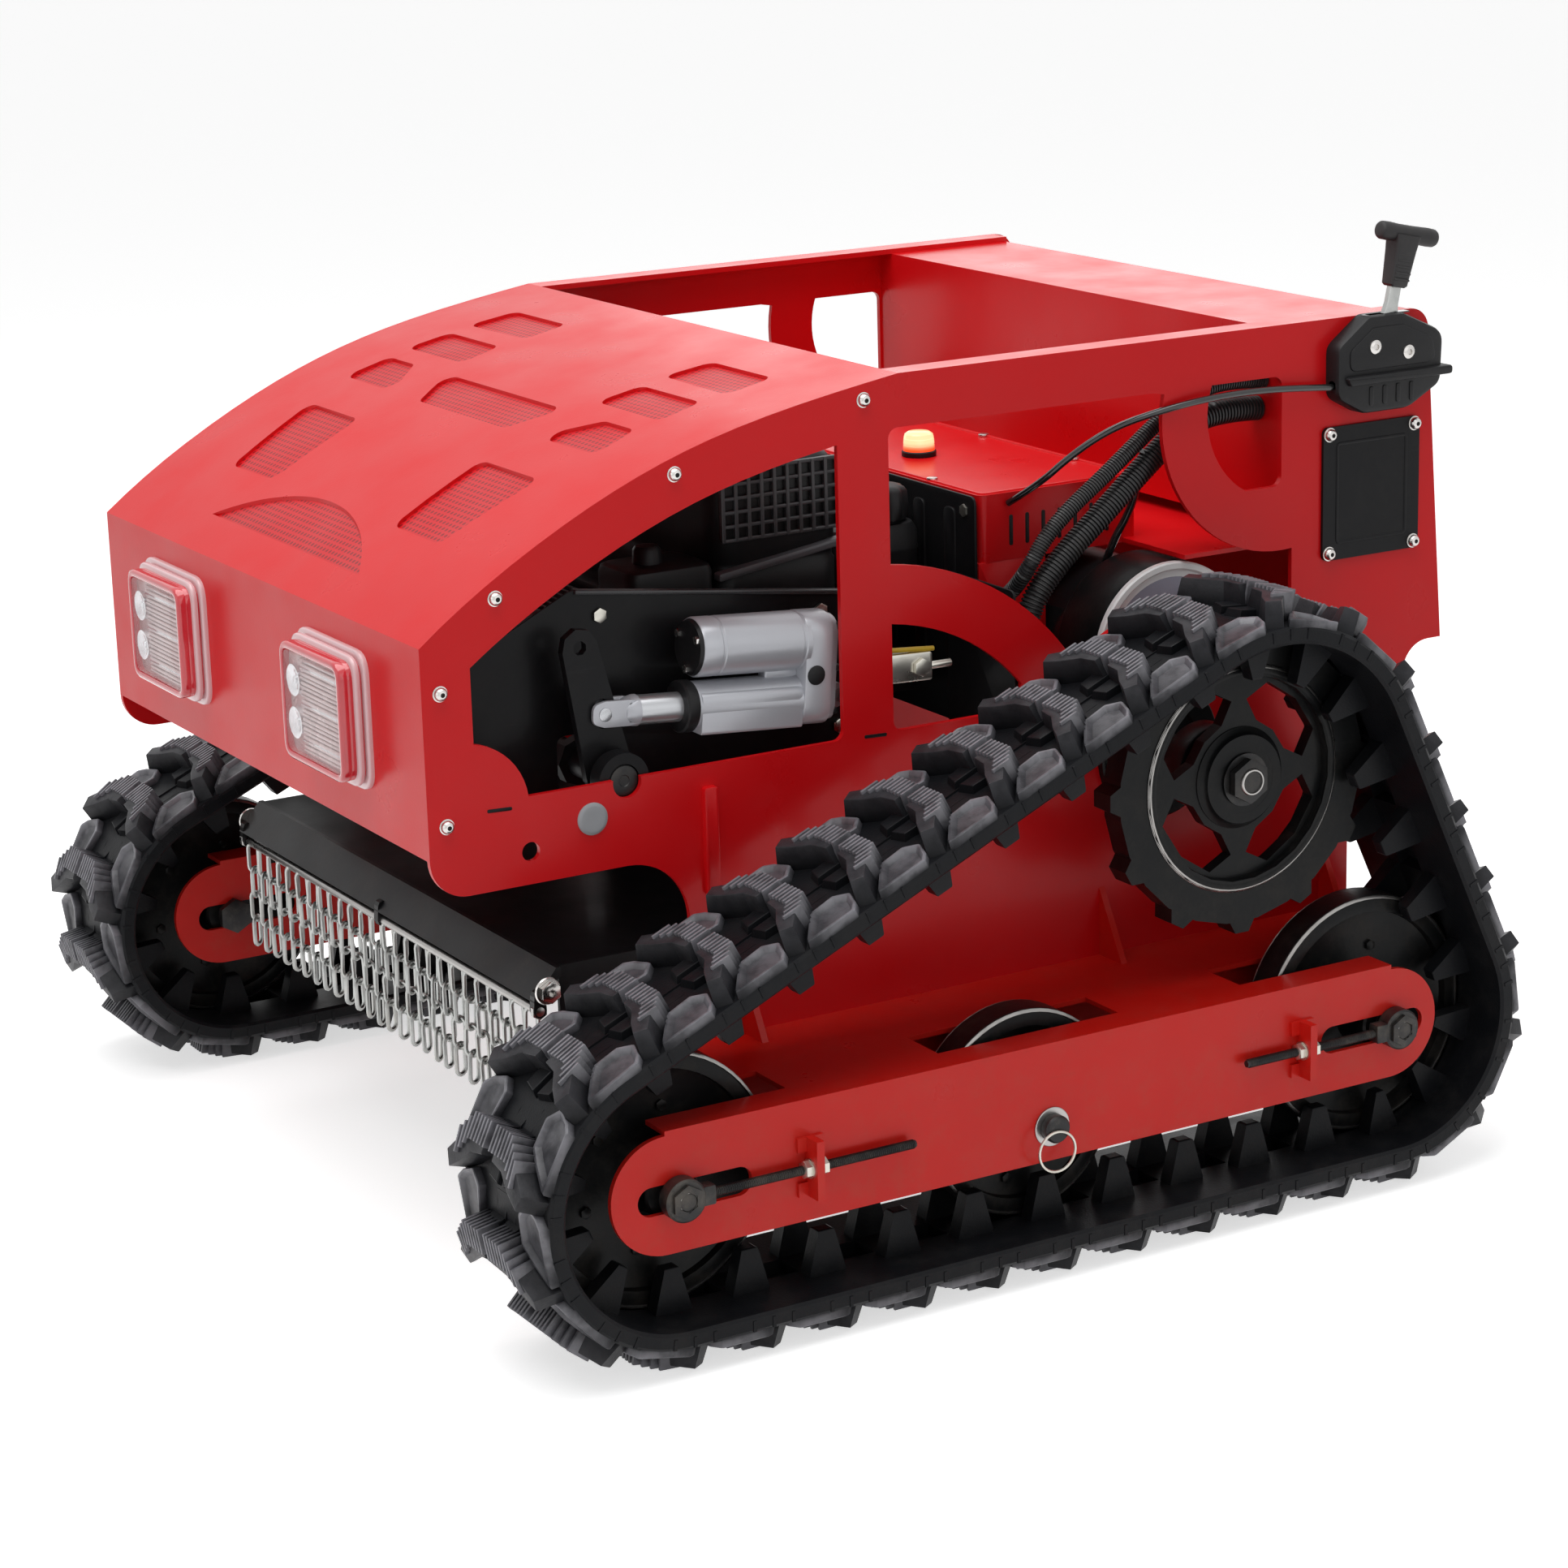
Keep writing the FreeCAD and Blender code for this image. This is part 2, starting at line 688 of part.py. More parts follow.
def vent_cuts():
    """Prisms that cut the hood's vents straight down."""
    length = HOOD_REAR_Y - FRONT_Y
    low, high = FRONT_LOW_Z, TOP_Z + OVER
    cuts = []
    for shares in VENT_PAIR_SHARES:
        corners = [(u * INNER, FRONT_Y + v * length, VENT_CORNER) for u, v in shares]
        vent = tall_prism(corners, low, high)
        cuts += [vent, mirrored(vent)]
    middle = [(u * INNER, FRONT_Y + v * length, VENT_CORNER) for u, v in VENT_MIDDLE_SHARES]
    cuts.append(tall_prism(middle, low, high))
    tips = [V(-MOON_HALF, MOON_Y, low), V(MOON_HALF, MOON_Y, low)]
    arc = Part.Arc(tips[0], V(0, MOON_Y + MOON_RISE, low), tips[1]).toShape()
    moon = Part.Face(Part.Wire([arc, Part.makeLine(tips[1], tips[0])]))
    cuts.append(moon.extrude(V(0, 0, high - low)))
    return cuts


def hood_panel():
    skin = hood_block(0, -INNER, INNER, FRONT_LOW_Z)
    skin = skin.cut(hood_block(HOOD_SHEET, -INNER, INNER, FRONT_LOW_Z - OVER))
    for cut in vent_cuts():
        skin = skin.cut(cut)
    for x0 in (-INNER, INNER - HOOD_SHEET):
        web = hood_block(HOOD_SHEET, x0, x0 + HOOD_SHEET, FRONT_LOW_Z)
        web = web.cut(hood_block(HOOD_FLANGE, x0, x0 + HOOD_SHEET, FRONT_LOW_Z - OVER))
        skin = skin.fuse(web)
    return skin.removeSplitter()


def hood_mesh():
    sheet = hood_block(HOOD_SHEET, -MESH_HALF, MESH_HALF, FRONT_LOW_Z)
    sheet = sheet.cut(hood_block(HOOD_SHEET + MESH_SHEET, -MESH_HALF, MESH_HALF,
                                 FRONT_LOW_Z - OVER))
    keep = box(-MESH_HALF, MESH_HALF, MESH_FRONT_Y, MESH_REAR_Y, FRONT_TOP_Z, TOP_Z)
    return sheet.common(keep)


def lamp_outline(half_w, half_h, radius):
    x, z = LAMP_X, LAMP_Z
    return [(x - half_w, z - half_h, radius), (x + half_w, z - half_h, radius),
            (x + half_w, z + half_h, radius), (x - half_w, z + half_h, radius)]


def headlamp():
    """Open-fronted lamp body on its flange."""
    lens_back = LAMP_FACE_Y + LAMP_LENS
    flange = prism(lamp_outline(LAMP_FLANGE_HALF_W, LAMP_FLANGE_HALF_H, LAMP_CORNER),
                   xz(FRONT_Y - LAMP_FLANGE), V(0, LAMP_FLANGE, 0))
    shell = prism(lamp_outline(LAMP_HALF_W, LAMP_HALF_H, LAMP_CORNER),
                  xz(lens_back), V(0, FRONT_Y - LAMP_FLANGE - lens_back, 0))
    inside = prism(lamp_outline(LAMP_HALF_W - LAMP_WALL, LAMP_HALF_H - LAMP_WALL,
                                LAMP_CORNER - LAMP_WALL),
                   xz(lens_back - OVER), V(0, FRONT_Y - LAMP_FLOOR - lens_back + OVER, 0))
    return shell.fuse(flange).cut(inside).removeSplitter()


def lamp_lens():
    return prism(lamp_outline(LAMP_HALF_W, LAMP_HALF_H, LAMP_CORNER), xz(LAMP_FACE_Y),
                 V(0, LAMP_LENS, 0))


def rear_box():
    """Welded box across the rear: top, front and rear walls between the side plates."""
    s = REARBOX_SHEET
    top_z = TOP_Z - PLATE
    top = box(-INNER, INNER, REARBOX_FRONT_Y, REARBOX_REAR_Y, top_z - s, top_z)
    front = box(-INNER, INNER, REARBOX_FRONT_Y, REARBOX_FRONT_Y + s, REARBOX_LOW_Z,
                top_z - s)
    rear = box(-INNER, INNER, REARBOX_REAR_Y - s, REARBOX_REAR_Y, REAR_WALL_LOW_Z,
               top_z - s)
    return top.fuse([front, rear]).removeSplitter()


def cover_plate():
    c = COVER_CORNER
    y0, y1, z0, z1 = COVER_FRONT_Y, COVER_REAR_Y, COVER_LOW_Z, COVER_TOP_Z
    return side_prism([(y0, z0, c), (y1, z0, c), (y1, z1, c), (y0, z1, c)], BODY_HALF,
                      BODY_HALF + COVER_SHEET)


def cross_members():
    """Front cross bar and the two brackets that carry the lift actuator's tail."""
    front = box(-INNER, INNER, FRONT_BAR_Y, FRONT_BAR_Y + CROSS_BAR, FRONT_BAR_Z,
                FRONT_BAR_Z + CROSS_BAR)
    inside = box(-INNER, INNER, FRONT_BAR_Y + TAB_SHEET,
                 FRONT_BAR_Y + CROSS_BAR - TAB_SHEET, FRONT_BAR_Z + TAB_SHEET,
                 FRONT_BAR_Z + CROSS_BAR - TAB_SHEET)
    return front.cut(inside)


def loop_circles(front_y, inset):
    """The belt's three circles, inset inwards from the inner face of its band."""
    return [(SPROCKET_Y, SPROCKET_Z, SPROCKET_BAND_R - inset),
            (front_y, IDLER_Z, IDLER_BAND_R - inset),
            (REAR_IDLER_Y, IDLER_Z, IDLER_BAND_R - inset)]


def loop_runs(front_y, inset):
    """Straight runs as (start, end), counter-clockwise seen from +X, top run first."""
    circles = loop_circles(front_y, inset)
    runs = []
    for i, (y0, z0, r0) in enumerate(circles):
        y1, z1, r1 = circles[(i + 1) % 3]
        dy, dz = y1 - y0, z1 - z0
        distance = math.hypot(dy, dz)
        lean = math.asin((r1 - r0) / distance)
        a = math.atan2(dz, dy) - math.pi / 2 - lean
        n = (math.cos(a), math.sin(a))
        runs.append(((y0 + n[0] * r0, z0 + n[1] * r0), (y1 + n[0] * r1, z1 + n[1] * r1)))
    return runs


def turn_between(i, front_y, inset):
    """Angle that the belt turns on circle i, and the angle where it arrives."""
    circles, runs = loop_circles(front_y, inset), loop_runs(front_y, inset)
    cy, cz, _ = circles[i]
    arrive, leave = runs[i - 1][1], runs[i][0]
    a0 = math.atan2(arrive[1] - cz, arrive[0] - cy)
    a1 = math.atan2(leave[1] - cz, leave[0] - cy)
    return a0, (a1 - a0) % (2 * math.pi)


def loop_length(front_y):
    total = 0
    for i in range(3):
        start, end = loop_runs(front_y, -PITCH_LINE)[i]
        total += math.dist(start, end)
        total += turn_between(i, front_y, -PITCH_LINE)[1] * \
            loop_circles(front_y, -PITCH_LINE)[i][2]
    return total


def front_idler_place():
    """Where the front idler stands so that the whole links just close the loop."""
    near, far = FRONT_IDLER_GUESS_Y + LINK_PITCH, FRONT_IDLER_GUESS_Y - LINK_PITCH
    for _ in range(LINKS + TEETH):
        middle = (near + far) / 2
        if loop_length(middle) < LINKS * LINK_PITCH:
            near = middle
        else:
            far = middle
    return middle


FRONT_IDLER_Y = front_idler_place()


def loop_wire(inset, x):
    """Closed belt line in the plane at x; inset is measured inwards from the band."""
    runs = loop_runs(FRONT_IDLER_Y, inset)
    circles = loop_circles(FRONT_IDLER_Y, inset)
    edges = []
    for i in range(3):
        cy, cz, r = circles[i]
        a0, turn = turn_between(i, FRONT_IDLER_Y, inset)
        arrive, leave = runs[i - 1][1], runs[i][0]
        mid = (cy + r * math.cos(a0 + turn / 2), cz + r * math.sin(a0 + turn / 2))
        edges.append(Part.Arc(V(x, *arrive), V(x, *mid), V(x, *leave)).toShape())
        edges.append(Part.makeLine(V(x, *leave), V(x, *runs[i][1])))
    return Part.Wire(edges)


def place_on_loop(distance):
    """Point on the pitch line, way along it and way outwards, at a distance from a tooth."""
    inset = -PITCH_LINE
    circles, runs = loop_circles(FRONT_IDLER_Y, inset), loop_runs(FRONT_IDLER_Y, inset)
    left = distance % (LINKS * LINK_PITCH)
    for i in range(3):
        cy, cz, r = circles[i]
        a0, turn = turn_between(i, FRONT_IDLER_Y, inset)
        if left <= turn * r:
            a = a0 + left / r
            out = V(0, math.cos(a), math.sin(a))
            return V(TRACK_X, cy, cz) + out * r, V(0, -out.z, out.y), out
        left -= turn * r
        start, end = V(TRACK_X, *runs[i][0]), V(TRACK_X, *runs[i][1])
        if left <= (end - start).Length:
            way = (end - start).normalize()
            return start + way * left, way, V(0, way.z, -way.y)
        left -= (end - start).Length
    return place_on_loop(0)


def tooth_phase():
    """Distance from the belt's arrival on the sprocket to its first window."""
    a0, turn = turn_between(0, FRONT_IDLER_Y, -PITCH_LINE)
    top_window = (math.pi / 2 - a0) * PITCH_R
    return top_window % LINK_PITCH


def shaped_on_belt(distance, corners, low, high, top_corners=None):
    """Block on the belt: corners are (across, along); low and high are from the pitch line."""
    centre, way, out = place_on_loop(distance)

    def ring(points, height):
        return [centre + X * a + way * b + out * height for a, b in points]

    return block_between(ring(corners, low), ring(top_corners or corners, high))


def shrunk(corners, share):
    """Corners drawn in towards their middle."""
    ma = sum(a for a, b in corners) / len(corners)
    mb = sum(b for a, b in corners) / len(corners)
    return [(ma + (a - ma) * share, mb + (b - mb) * share) for a, b in corners]


def track_belt():
    """Rubber band with drive windows, paired guide lugs and mirrored tread lugs."""
    x0 = TRACK_X - TRACK_WIDTH / 2
    outer = Part.Face(loop_wire(-BAND_THICK, x0)).extrude(V(TRACK_WIDTH, 0, 0))
    inner = Part.Face(loop_wire(0, x0 - OVER)).extrude(V(TRACK_WIDTH + 2 * OVER, 0, 0))
    band = outer.cut(inner)
    half = TRACK_WIDTH / 2
    phase = tooth_phase()
    windows, blocks = [], []
    hole = [(-WINDOW_WIDTH / 2, -WINDOW_LENGTH / 2), (WINDOW_WIDTH / 2, -WINDOW_LENGTH / 2),
            (WINDOW_WIDTH / 2, WINDOW_LENGTH / 2), (-WINDOW_WIDTH / 2, WINDOW_LENGTH / 2)]
    for k in range(LINKS):
        s = phase + k * LINK_PITCH
        windows.append(shaped_on_belt(s, hole, -BAND_THICK, BAND_THICK))
        for side in (-1, 1):
            root = [(side * GUIDE_IN, -GUIDE_ROOT / 2), (side * GUIDE_OUT, -GUIDE_ROOT / 2),
                    (side * GUIDE_OUT, GUIDE_ROOT / 2), (side * GUIDE_IN, GUIDE_ROOT / 2)]
            tip = [(a, b * GUIDE_TIP / GUIDE_ROOT) for a, b in root]
            blocks.append(shaped_on_belt(s + LINK_PITCH / 2, root, SINK - PITCH_LINE,
                                         -PITCH_LINE - GUIDE_HEIGHT, tip))
            lug = [(side * u * half, v * LINK_PITCH) for u, v in LUG_SHARES]
            top = BAND_THICK - PITCH_LINE
            blocks.append(shaped_on_belt(s + LINK_PITCH / 2, lug, top - SINK,
                                         top + LUG_HEIGHT, shrunk(lug, LUG_TOP_SHARE)))
            pad = [(side * u * half, v * LINK_PITCH) for u, v in PAD_SHARES]
            blocks.append(shaped_on_belt(s + LINK_PITCH / 2, pad, top - SINK,
                                         top + PAD_HEIGHT))
    return band.fuse(blocks).cut(windows)


def kidney(centre, start, depth):
    """Curved slot with pointed ends in the sprocket's web, cut along X."""
    sweep = math.radians(KIDNEY_ANGLE)
    outer, inner = KIDNEY_R + KIDNEY_HALF_W, KIDNEY_R - KIDNEY_HALF_W
    tip = KIDNEY_HALF_W / KIDNEY_R
    polar = [(outer, 0), (outer, sweep / 2), (outer, sweep), (KIDNEY_R, sweep + tip),
             (inner, sweep), (inner, sweep / 2), (inner, 0), (KIDNEY_R, -tip)]
    points = []
    for radius, turn in polar:
        a = start + turn
        points.append(centre + V(0, math.cos(a), math.sin(a)) * radius)
    return Part.Face(Part.makePolygon(points + points[:1])).extrude(X * depth)


def disc(centre, radius, reach, sides):
    """Many-sided disc square to X, reach to each side of its centre."""
    return bar(centre - X * reach, X, radius, reach * 2, sides)


def sprocket():
    """Toothed drive wheel with a raised ring, a recessed web and kidney holes."""
    centre = V(TRACK_X, SPROCKET_Y, SPROCKET_Z)
    rim_r = SPROCKET_BAND_R - WHEEL_GAP
    half, web, rim = SPROCKET_WIDTH / 2, SPROCKET_WEB / 2, TOOTH_WIDTH / 2
    ring_in = SPROCKET_WEB_R - RIM_RING
    sides = TEETH * 2
    wheel = disc(centre, rim_r, rim, sides).fuse(disc(centre, SPROCKET_WEB_R, half, sides))
    wheel = wheel.cut(disc(centre, ring_in, half, sides))
    wheel = wheel.fuse([disc(centre, ring_in, web, sides), disc(centre, HUB_R, half, TEETH)])
    wheel = wheel.cut(rod(centre - X * half, X, SHAFT_R, SPROCKET_WIDTH))
    teeth, cuts = [], []
    for i in range(TEETH):
        turn = 360 * i / TEETH
        x0 = TRACK_X - rim
        tip_z = SPROCKET_Z + rim_r + TOOTH_RISE
        tooth = side_prism([
            (SPROCKET_Y - TOOTH_ROOT_HALF, SPROCKET_Z + rim_r - SINK),
            (SPROCKET_Y + TOOTH_ROOT_HALF, SPROCKET_Z + rim_r - SINK),
            (SPROCKET_Y + TOOTH_TIP_HALF, tip_z), (SPROCKET_Y - TOOTH_TIP_HALF, tip_z)],
            x0, x0 + TOOTH_WIDTH)
        tooth.rotate(centre, X, turn)
        teeth.append(tooth)
    for i in range(KIDNEYS):
        start = 2 * math.pi * (i + 0.5) / KIDNEYS - math.radians(KIDNEY_ANGLE) / 2
        cuts.append(kidney(centre - X * half, start, SPROCKET_WIDTH))
    return wheel.fuse(teeth).cut(cuts).removeSplitter()


def drive_hub():
    """Output shaft with its flange behind the sprocket and its nut in front."""
    half = SPROCKET_WIDTH / 2
    start = GEARBOX_FACE - GEARBOX_DEPTH / 2
    y, z = SPROCKET_Y, SPROCKET_Z
    shaft = rod(V(start, y, z), X, SHAFT_R, TRACK_X + half - start)
    back = bar(V(TRACK_X - half - HUB_BACK, y, z), X, HUB_R, HUB_BACK, TEETH)
    nut = hexagon(V(TRACK_X + half, y, z), X, HUB_NUT_AF, HUB_NUT)
    return shaft.fuse([back, nut]).removeSplitter()


def link_plate(a, ra, b, rb, x0, x1, smooth=False):
    """Plate whose outline goes round two circles; a and b are (y, z)."""
    along = math.atan2(b[1] - a[1], b[0] - a[0])
    lean = math.acos((ra - rb) / math.dist(a, b))

    def at(centre, radius, angle):
        return V(x0, centre[0] + radius * math.cos(angle), centre[1] + radius * math.sin(angle))

    up, down = along + lean, along - lean
    if not smooth:
        points = []
        for centre, radius, first, sweep in ((b, rb, down, 2 * lean),
                                             (a, ra, up, 2 * (math.pi - lean))):
            steps = sides_for(radius) // 2
            points += [at(centre, radius, first + sweep * i / steps) for i in range(steps + 1)]
        return Part.Face(Part.makePolygon(points + points[:1])).extrude(V(x1 - x0, 0, 0))
    edges = [
        Part.makeLine(at(a, ra, down), at(b, rb, down)),
        Part.Arc(at(b, rb, down), at(b, rb, along), at(b, rb, up)).toShape(),
        Part.makeLine(at(b, rb, up), at(a, ra, up)),
        Part.Arc(at(a, ra, up), at(a, ra, along + math.pi), at(a, ra, down)).toShape(),
    ]
    return Part.Face(Part.Wire(edges)).extrude(V(x1 - x0, 0, 0))


def gearbox():
    """Reduction gear case on the side plate, with its output boss through the plate."""
    upper, lower = (MOTOR_Y, MOTOR_Z), (SPROCKET_Y, SPROCKET_Z)
    inner_x = GEARBOX_FACE - GEARBOX_DEPTH
    case = link_plate(upper, MOTOR_RING_R, lower, GEARBOX_LOW_R, inner_x, GEARBOX_FACE)
    seat = bar(V(GEARBOX_FACE, *lower), X, FLANGE_R + SEAT_RING, INNER - GEARBOX_FACE)
    boss = bar(V(INNER, *lower), X, FLANGE_R - SLOT_GAP, PLATE + BOSS_PROUD)
    bore = rod(V(inner_x + GEARBOX_DEPTH / 2 - OVER, *lower), X, SHAFT_R + RUN,
               BODY_HALF)
    return case.fuse([seat, boss]).cut(bore).removeSplitter()


def drive_motor():
    """Motor can with a stepped end bell, inboard of the gear case."""
    face = V(GEARBOX_FACE - GEARBOX_DEPTH, MOTOR_Y, MOTOR_Z)
    bell = MOTOR_LENGTH / 6
    can = bar(face - X * (MOTOR_LENGTH - bell), X, MOTOR_R, MOTOR_LENGTH - bell)
    return can.fuse(bar(face - X * MOTOR_LENGTH, X, MOTOR_R - bell / 2, bell)).removeSplitter()


def motor_cover():
    """Round cap on the gear case: a raised ring round a flat face."""
    face = V(GEARBOX_FACE, MOTOR_Y, MOTOR_Z)
    inside = bar(face + X * MOTOR_FACE, X, MOTOR_RING_R - MOTOR_COVER_RING, MOTOR_FACE,
                 sides_for(MOTOR_RING_R))
    seat = bar(V(GEARBOX_FACE, SPROCKET_Y, SPROCKET_Z), X, FLANGE_R + SEAT_RING + SEAT_GAP,
               INNER - GEARBOX_FACE, sides_for(FLANGE_R + SEAT_RING))
    return bar(face, X, MOTOR_RING_R, MOTOR_FACE * 2).cut([inside, seat])


def slot_prism(y0, y1, z, half, x0, x1):
    """Round-ended slot along Y; y0 and y1 are its ends."""
    return link_plate((y0 + half, z), half, (y1 - half, z), half - RUN / OVER, x0, x1, True)


def frame_wall(x0):
    r = FRAME_END_R
    y0, y1 = FRAME_FRONT_Y - r, FRAME_REAR_Y + r
    wall = side_prism([(y0, FRAME_LOW_Z, r), (y1, FRAME_LOW_Z, r),
                       (y1, FRAME_TOP_Z, r), (y0, FRAME_TOP_Z, r)], x0, x0 + FRAME_PLATE)
    over0, over1 = x0 - OVER, x0 + FRAME_PLATE + OVER
    half = AXLE_R + SLOT_GAP
    cuts = [slot_prism(AXLE_SLOT_FRONT_Y, AXLE_SLOT_REAR_Y, IDLER_Z, half, over0, over1),
            slot_prism(REAR_AXLE_SLOT_FRONT_Y, REAR_AXLE_SLOT_REAR_Y, IDLER_Z, half,
                       over0, over1),
            rod(V(over0, ROLLER_Y, ROLLER_Z), X, PIN_R, over1 - over0)]
    return wall.cut(cuts)


def adjuster_tab(y):
    """Ear welded on the frame's outer wall, with the adjuster's bore."""
    foot = box(OUTER_FACE, OUTER_FACE + TAB_FOOT, y - TAB_FOOT_HALF, y + TAB_FOOT_HALF,
               IDLER_Z - TAB_HALF_Z, IDLER_Z + TAB_HALF_Z)
    free = box(OUTER_FACE, OUTER_FACE + TAB_FOOT, y - TAB_FOOT_HALF, y + TAB_FOOT_HALF,
               IDLER_Z - ADJUST_NUT_AF, IDLER_Z + ADJUST_NUT_AF)
    ear = box(OUTER_FACE, AXLE_END, y - TAB_EAR / 2, y + TAB_EAR / 2,
              IDLER_Z - TAB_HALF_Z, IDLER_Z + TAB_HALF_Z)
    bore = rod(V(ADJUST_X, y - TAB_EAR, IDLER_Z), Y, ADJUST_R + RUN, TAB_EAR * 2)
    return foot.cut(free).fuse(ear).cut(bore)


def gusset(y):
    points = [V(BODY_HALF, y, FLANGE_TOP_Z), V(BODY_HALF + GUSSET_OUT, y, FLANGE_TOP_Z),
              V(BODY_HALF, y, FLANGE_TOP_Z + GUSSET_RISE)]
    web = Part.Face(Part.makePolygon(points + points[:1])).extrude(Y * GUSSET_SHEET)
    web.translate(-Y * GUSSET_SHEET / 2)
    return web


def track_frame():
    """Long frame box: two walls, a slotted top flange, gussets and adjuster tabs."""
    walls = [frame_wall(OUTER_FACE - FRAME_PLATE), frame_wall(TRACK_X - FRAME_HALF)]
    flange = box(INNER, OUTER_FACE, FRAME_FRONT_Y, FRAME_REAR_Y, FRAME_TOP_Z, FLANGE_TOP_Z)
    strip = box(INNER, TRACK_X - FRAME_HALF, FOOT_FRONT_Y, REAR_FOOT_Y, FRAME_TOP_Z,
                FLANGE_TOP_Z)
    x0, x1 = TRACK_X - WHEEL_SLOT_HALF, TRACK_X + WHEEL_SLOT_HALF
    low, high = FRAME_TOP_Z - OVER, FLANGE_TOP_Z + OVER
    front = box(x0, x1, FRAME_FRONT_Y - OVER, FRONT_SLOT_END_Y, low, high)
    rear = box(x0, x1, REAR_SLOT_END_Y, FRAME_REAR_Y + OVER, low, high)
    middle = box(x0, x1, MID_SLOT_FRONT_Y, MID_SLOT_REAR_Y, low, high)
    nose = box(INNER - OVER, TRACK_X - FRAME_HALF, FRAME_FRONT_Y - OVER,
               FOOT_FRONT_Y - SHELF_LEAD, low, high)
    parts = [strip] + [gusset(y) for y in GUSSET_YS]
    parts += [adjuster_tab(TAB_Y_FRONT), adjuster_tab(TAB_Y_REAR)]
    frame = flange.cut([front, rear, middle, nose]).fuse(walls + parts)
    return frame.removeSplitter()


def wheel(centre, radius, bore, hub_r):
    """Spool-shaped wheel with a recessed web and a long hub between the frame's walls."""
    half, web = WHEEL_WIDTH / 2, WHEEL_WEB / 2
    reach = FRAME_HALF - FRAME_PLATE - BUSH_GAP
    rim, sides = radius - WHEEL_RIM, sides_for(radius)
    spool = disc(centre, radius, half, sides).cut(disc(centre, rim, half, sides))
    spool = spool.fuse([disc(centre, rim, web, sides), disc(centre, hub_r, reach, sides_for(hub_r))])
    return spool.cut(rod(centre - X * reach, X, bore, reach * 2)).removeSplitter()


def idler(y):
    return wheel(V(TRACK_X, y, IDLER_Z), IDLER_WHEEL_R, AXLE_R + RUN, BUSH_R)


def mid_roller():
    return wheel(V(TRACK_X, ROLLER_Y, ROLLER_Z), ROLLER_R, PIN_R + RUN, BUSH_R)


def tensioner(y, end_y):
    """Idler axle with its end nuts and the threaded rod that pulls it along the frame."""
    inner_face, outer_face = TRACK_X - FRAME_HALF - SEAT_GAP, OUTER_FACE + SEAT_GAP
    z = IDLER_Z
    axle = rod(V(inner_face, y, z), X, AXLE_R, outer_face - inner_face)
    eye = bar(V(outer_face, y, z), X, EYE_R, (ADJUST_X - outer_face) * 2)
    screw = rod_between(V(ADJUST_X, y, z), V(ADJUST_X, end_y, z), ADJUST_R)
    outer_nut = hexagon(V(ADJUST_X * 2 - outer_face, y, z), X, AXLE_NUT_AF,
                        AXLE_END - ADJUST_X * 2 + outer_face)
    inner_nut = hexagon(V(inner_face - AXLE_NUT, y, z), X, AXLE_NUT_AF, AXLE_NUT)
    return axle.fuse([eye, screw, outer_nut, inner_nut]).removeSplitter()


def adjuster_nuts():
    """Two nuts on each adjuster, one on each side of its ear."""
    nuts = []
    for y in (TAB_Y_FRONT, TAB_Y_REAR):
        for start in (y - TAB_EAR / 2 - ADJUST_NUT, y + TAB_EAR / 2):
            nut = hexagon(V(ADJUST_X, start, IDLER_Z), Y, ADJUST_NUT_AF, ADJUST_NUT)
            bore = bar(V(ADJUST_X, start - OVER, IDLER_Z), Y,
                       (ADJUST_R + RUN) / math.cos(math.pi / FEWEST_SIDES),
                       ADJUST_NUT + 2 * OVER)
            nuts.append(nut.cut(bore))
    return nuts + [mirrored(n) for n in nuts]


def roller_pin():
    """Pin through both frame walls, with a washer and a hexagon head outside."""
    start = TRACK_X - FRAME_HALF
    pin = rod(V(start, ROLLER_Y, ROLLER_Z), X, PIN_R, FRAME_HALF * 2)
    washer = bar(V(OUTER_FACE, ROLLER_Y, ROLLER_Z), X, WASHER_R, WASHER, TEETH)
    head = hexagon(V(OUTER_FACE + WASHER, ROLLER_Y, ROLLER_Z), X, PIN_HEAD_AF, PIN_HEAD)
    return pin.fuse([washer, head]).removeSplitter()


def pull_ring():
    """Wire ring that hangs on the roller pin's head."""
    middle = V(OUTER_FACE + WASHER + PIN_HEAD, ROLLER_Y, ROLLER_Z - PULL_RING_R)
    wire = PULL_WIRE_R * 2
    ring = bar(middle, X, PULL_RING_R + PULL_WIRE_R, wire, TEETH)
    return ring.cut(bar(middle, X, PULL_RING_R - PULL_WIRE_R, wire, TEETH))


def pivot_bosses():
    """Front bearing bosses and rear stub pins on the side plates' inner faces."""
    front = bar(V(INNER - BOSS_DEPTH, FRONT_PIVOT_Y, FRONT_PIVOT_Z), X,
                STUB_BOSS_R + ROCK_R / 2, BOSS_DEPTH)
    front = front.cut(rod(V(INNER - BOSS_DEPTH, FRONT_PIVOT_Y, FRONT_PIVOT_Z), X,
                          ROCK_R + RUN, BOSS_DEPTH))
    start = ARM_X - ARM_SHEET / 2 - SIDE_GAP
    stub = rod(V(start, REAR_PIVOT_Y, REAR_PIVOT_Z), X, STUB_R, INNER - start)
    collar = bar(V(ARM_X + ARM_SHEET / 2 + SIDE_GAP, REAR_PIVOT_Y, REAR_PIVOT_Z), X,
                 STUB_BOSS_R - STUB_R / 2, INNER - ARM_X - ARM_SHEET / 2 - SIDE_GAP)
    rear = stub.fuse(collar).removeSplitter()
    return [front, rear, mirrored(front), mirrored(rear)]


